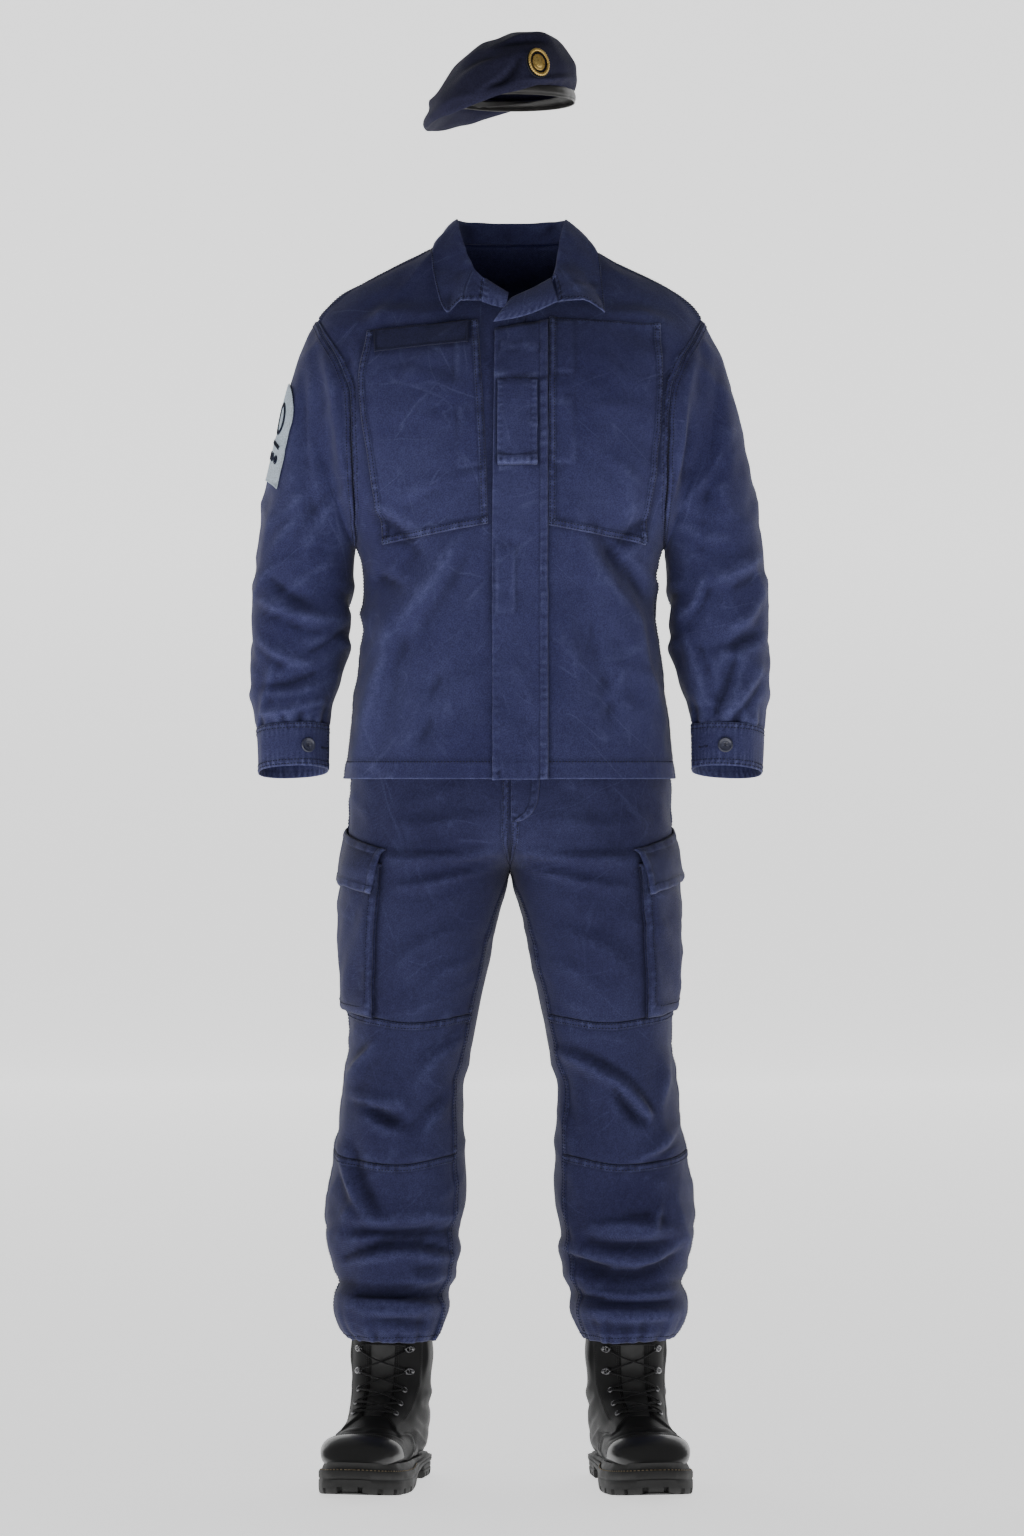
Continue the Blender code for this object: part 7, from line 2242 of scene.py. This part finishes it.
# share of the height, distance in from the edge, part of the notch
TREAD_PROFILE = [
    (0.00, 0.0300, 0), (0.00, 0.0100, 0), (0.00, 0.0022, 1), (0.06, 0.0008, 1), (0.30, 0.0, 1),
    (0.31, 0.0, 0.5), (0.42, 0.0, 0), (0.58, 0.0, 0), (0.62, 0.0009, 0), (0.66, 0.0009, 0), (0.70, 0.0, 0),
    (0.94, 0.0, 0), (1.00, 0.0010, 0),
]
NOTCH_SHARE = 0.31      # of the height, where the notches end
# the sole's rim stands up round the upper
SOLE_RIM = [(1.00, 0.0040, 0), (1.12, 0.0046, 0), (1.34, 0.0068, 0), (1.34, 0.0200, 0)]
HEEL_TOP = [(1.00, 0.0200, 0)]


def tread(word, name, table, pitch, across, cosine, sine):
    """A lugged rubber sole or heel, with a groove round it and notches from below."""
    forward = np.linspace(table.rows[0, 0], table.rows[-1, 0], 90)
    inner, outer, *_ = table.read_all(forward)
    outline = np.concatenate([np.stack([outer, forward], -1), np.stack([-inner, forward], -1)[::-1]])
    closed = np.concatenate([outline, outline[:1]])
    travelled = np.concatenate(([0], np.cumsum(np.linalg.norm(np.diff(closed, axis=0), axis=-1))))
    count = int(travelled[-1] / 0.0016)
    at = np.linspace(0, travelled[-1], count, endpoint=False)
    edge = along_line(at, travelled, closed)
    for _ in range(3):
        edge = (np.roll(edge, 1, axis=0) + 2 * edge + np.roll(edge, -1, axis=0)) / 4
    ahead = unit(np.roll(edge, -1, axis=0) - np.roll(edge, 1, axis=0))
    inward = np.stack([-ahead[:, 1], ahead[:, 0]], -1)
    notches = max(int(round(travelled[-1] / pitch)), 1)
    phase = (at / travelled[-1] * notches) % 1
    lug = smooth(np.abs(phase - 0.5) * travelled[-1] / notches, 0.0022, 0.0030)
    floor = table.read("low", edge[:, 1])
    top = table.read("high", edge[:, 1])
    if name == "sole":
        # the waist of the sole over the heel has no lugs
        lug = np.maximum(lug, 1 - smooth(edge[:, 1], 0.045, 0.060))
    tall = top - floor
    notch_high = 0.0075 if name == "sole" else 0.0095
    profile = TREAD_PROFILE + (SOLE_RIM if name == "sole" else HEEL_TOP)
    rows = []
    for share, inset, part in profile:
        height = floor + share * tall
        if part:
            notch_top = np.minimum(notch_high, 0.5 * tall)
            height = np.minimum(floor + share / NOTCH_SHARE * notch_top, floor + 0.41 * tall)
        cut = inset + 0.0048 * (1 - lug) * (1 if part == 1 else 0)
        spot = edge + inward * np.minimum(cut, 0.45 * (inner.max() + outer.max()) / 2)[:, None]
        if inset > 0.005:
            middle = np.stack([np.zeros(len(edge)) + 0.001, edge[:, 1]], -1)
            toward = np.clip(inset / 0.045, 0, 1)
            spot = edge * (1 - toward) + middle * toward
        rows.append(np.stack([spot[:, 0], -spot[:, 1], height], -1))
    last = rows[-1] * np.array([0.0, 1.0, 1.0])
    first = rows[0] * np.array([0.0, 1.0, 1.0])
    points = placed(np.array([first] + rows + [last]), across, cosine, sine)
    made = new_mesh(f"boot_{name}_tread_{word}", points, grid_faces(len(rows) + 2, len(edge), True, False),
                    smooth_shade=False)
    outward_faces(made)
    made.data.shade_smooth()
    made.data.set_sharp_from_angle(angle=math.radians(38))
    finished(made, boot_rubber, "boot_rubber", f"boot_{name}_{word}")
    if name == "sole":
        stitches = Stitching()
        shown = np.arange(len(edge))[edge[:, 1] > 0.05]
        spot = edge + inward * 0.0018
        line = placed(np.stack([spot[:, 0], -spot[:, 1], top + 0.0001], -1), across, cosine, sine)
        round_toe = np.where(edge[shown, 0] > 0, edge[shown, 1], 2 * edge[:, 1].max() - edge[shown, 1])
        order = np.argsort(round_toe)
        stitches.row((line[shown][order], np.tile([0, 0, 1.0], (len(shown), 1))), pitch=0.0052, length=0.0036)
        made = stitches.piece(f"welt_stitching_{word}", radius=0.0006, rise=0.0004)
        finished(made, welt_thread, "boot_rubber")


for word in ("left", "right"):
    boot_piece(word)


# ---------------------------------------------------------------- floor, light and camera
def soft_light(name, place, aim, width, height, power):
    light = bpy.data.lights.new(name, "AREA")
    light.shape = "RECTANGLE"
    light.size, light.size_y = width, height
    light.energy = power
    lamp = bpy.data.objects.new(name, light)
    bpy.context.scene.collection.objects.link(lamp)
    lamp.location = place
    way = unit(np.array(aim, dtype=float) - np.array(place, dtype=float))
    lamp.rotation_euler = (math.acos(-way[2]), 0, math.atan2(way[0], -way[1]))


def studio():
    """A pale floor that curves up behind, and soft light from the front."""
    back = 9.4
    profile = [(-14.0, -HOLD_HEIGHT), (back, -HOLD_HEIGHT)]
    profile += [(back + 1.6 * math.sin(turn), -HOLD_HEIGHT + 1.6 * (1 - math.cos(turn)))
                for turn in np.linspace(0.1, math.pi / 2, 12)]
    profile += [(back + 1.6, 9.0)]
    points = [(x, y, z + HOLD_HEIGHT) for y, z in profile for x in (-16.0, 16.0)]
    faces = [(2 * row, 2 * row + 1, 2 * row + 3, 2 * row + 2) for row in range(len(profile) - 1)]
    floor = new_mesh("studio_floor", points, faces)
    paper, _, _ = blank_material("studio paper", Base_Color=(0.90, 0.90, 0.90, 1), Roughness=0.9,
                                 Emission_Color=(1, 1, 1, 1), Emission_Strength=1.05)
    floor.data.materials.append(paper)
    world = bpy.data.worlds.new("studio light")
    world.use_nodes = True
    world.node_tree.nodes["Background"].inputs["Color"].default_value = (1, 1, 1, 1)
    world.node_tree.nodes["Background"].inputs["Strength"].default_value = 0.22
    bpy.context.scene.world = world
    soft_light("key light", (-2.6, -3.2, 3.0), (0, 0, -0.4), 1.0, 1.0, 520)
    soft_light("fill light", (3.2, -3.4, 0.6), (0, 0, -0.5), 1.6, 2.4, 60)
    soft_light("low light", (-0.7, -3.8, -0.5), (0, 0, -1.3), 0.7, 0.6, 56)


def camera():
    lens = bpy.data.cameras.new("camera")
    lens.lens = 138.87
    lens.sensor_width = 36
    view = bpy.data.objects.new("camera", lens)
    bpy.context.scene.collection.objects.link(view)
    view.location = (0.0025, -7.5, 0.9 - HOLD_HEIGHT)
    view.rotation_euler = (math.pi / 2, 0, 0)
    bpy.context.scene.camera = view


studio()
camera()
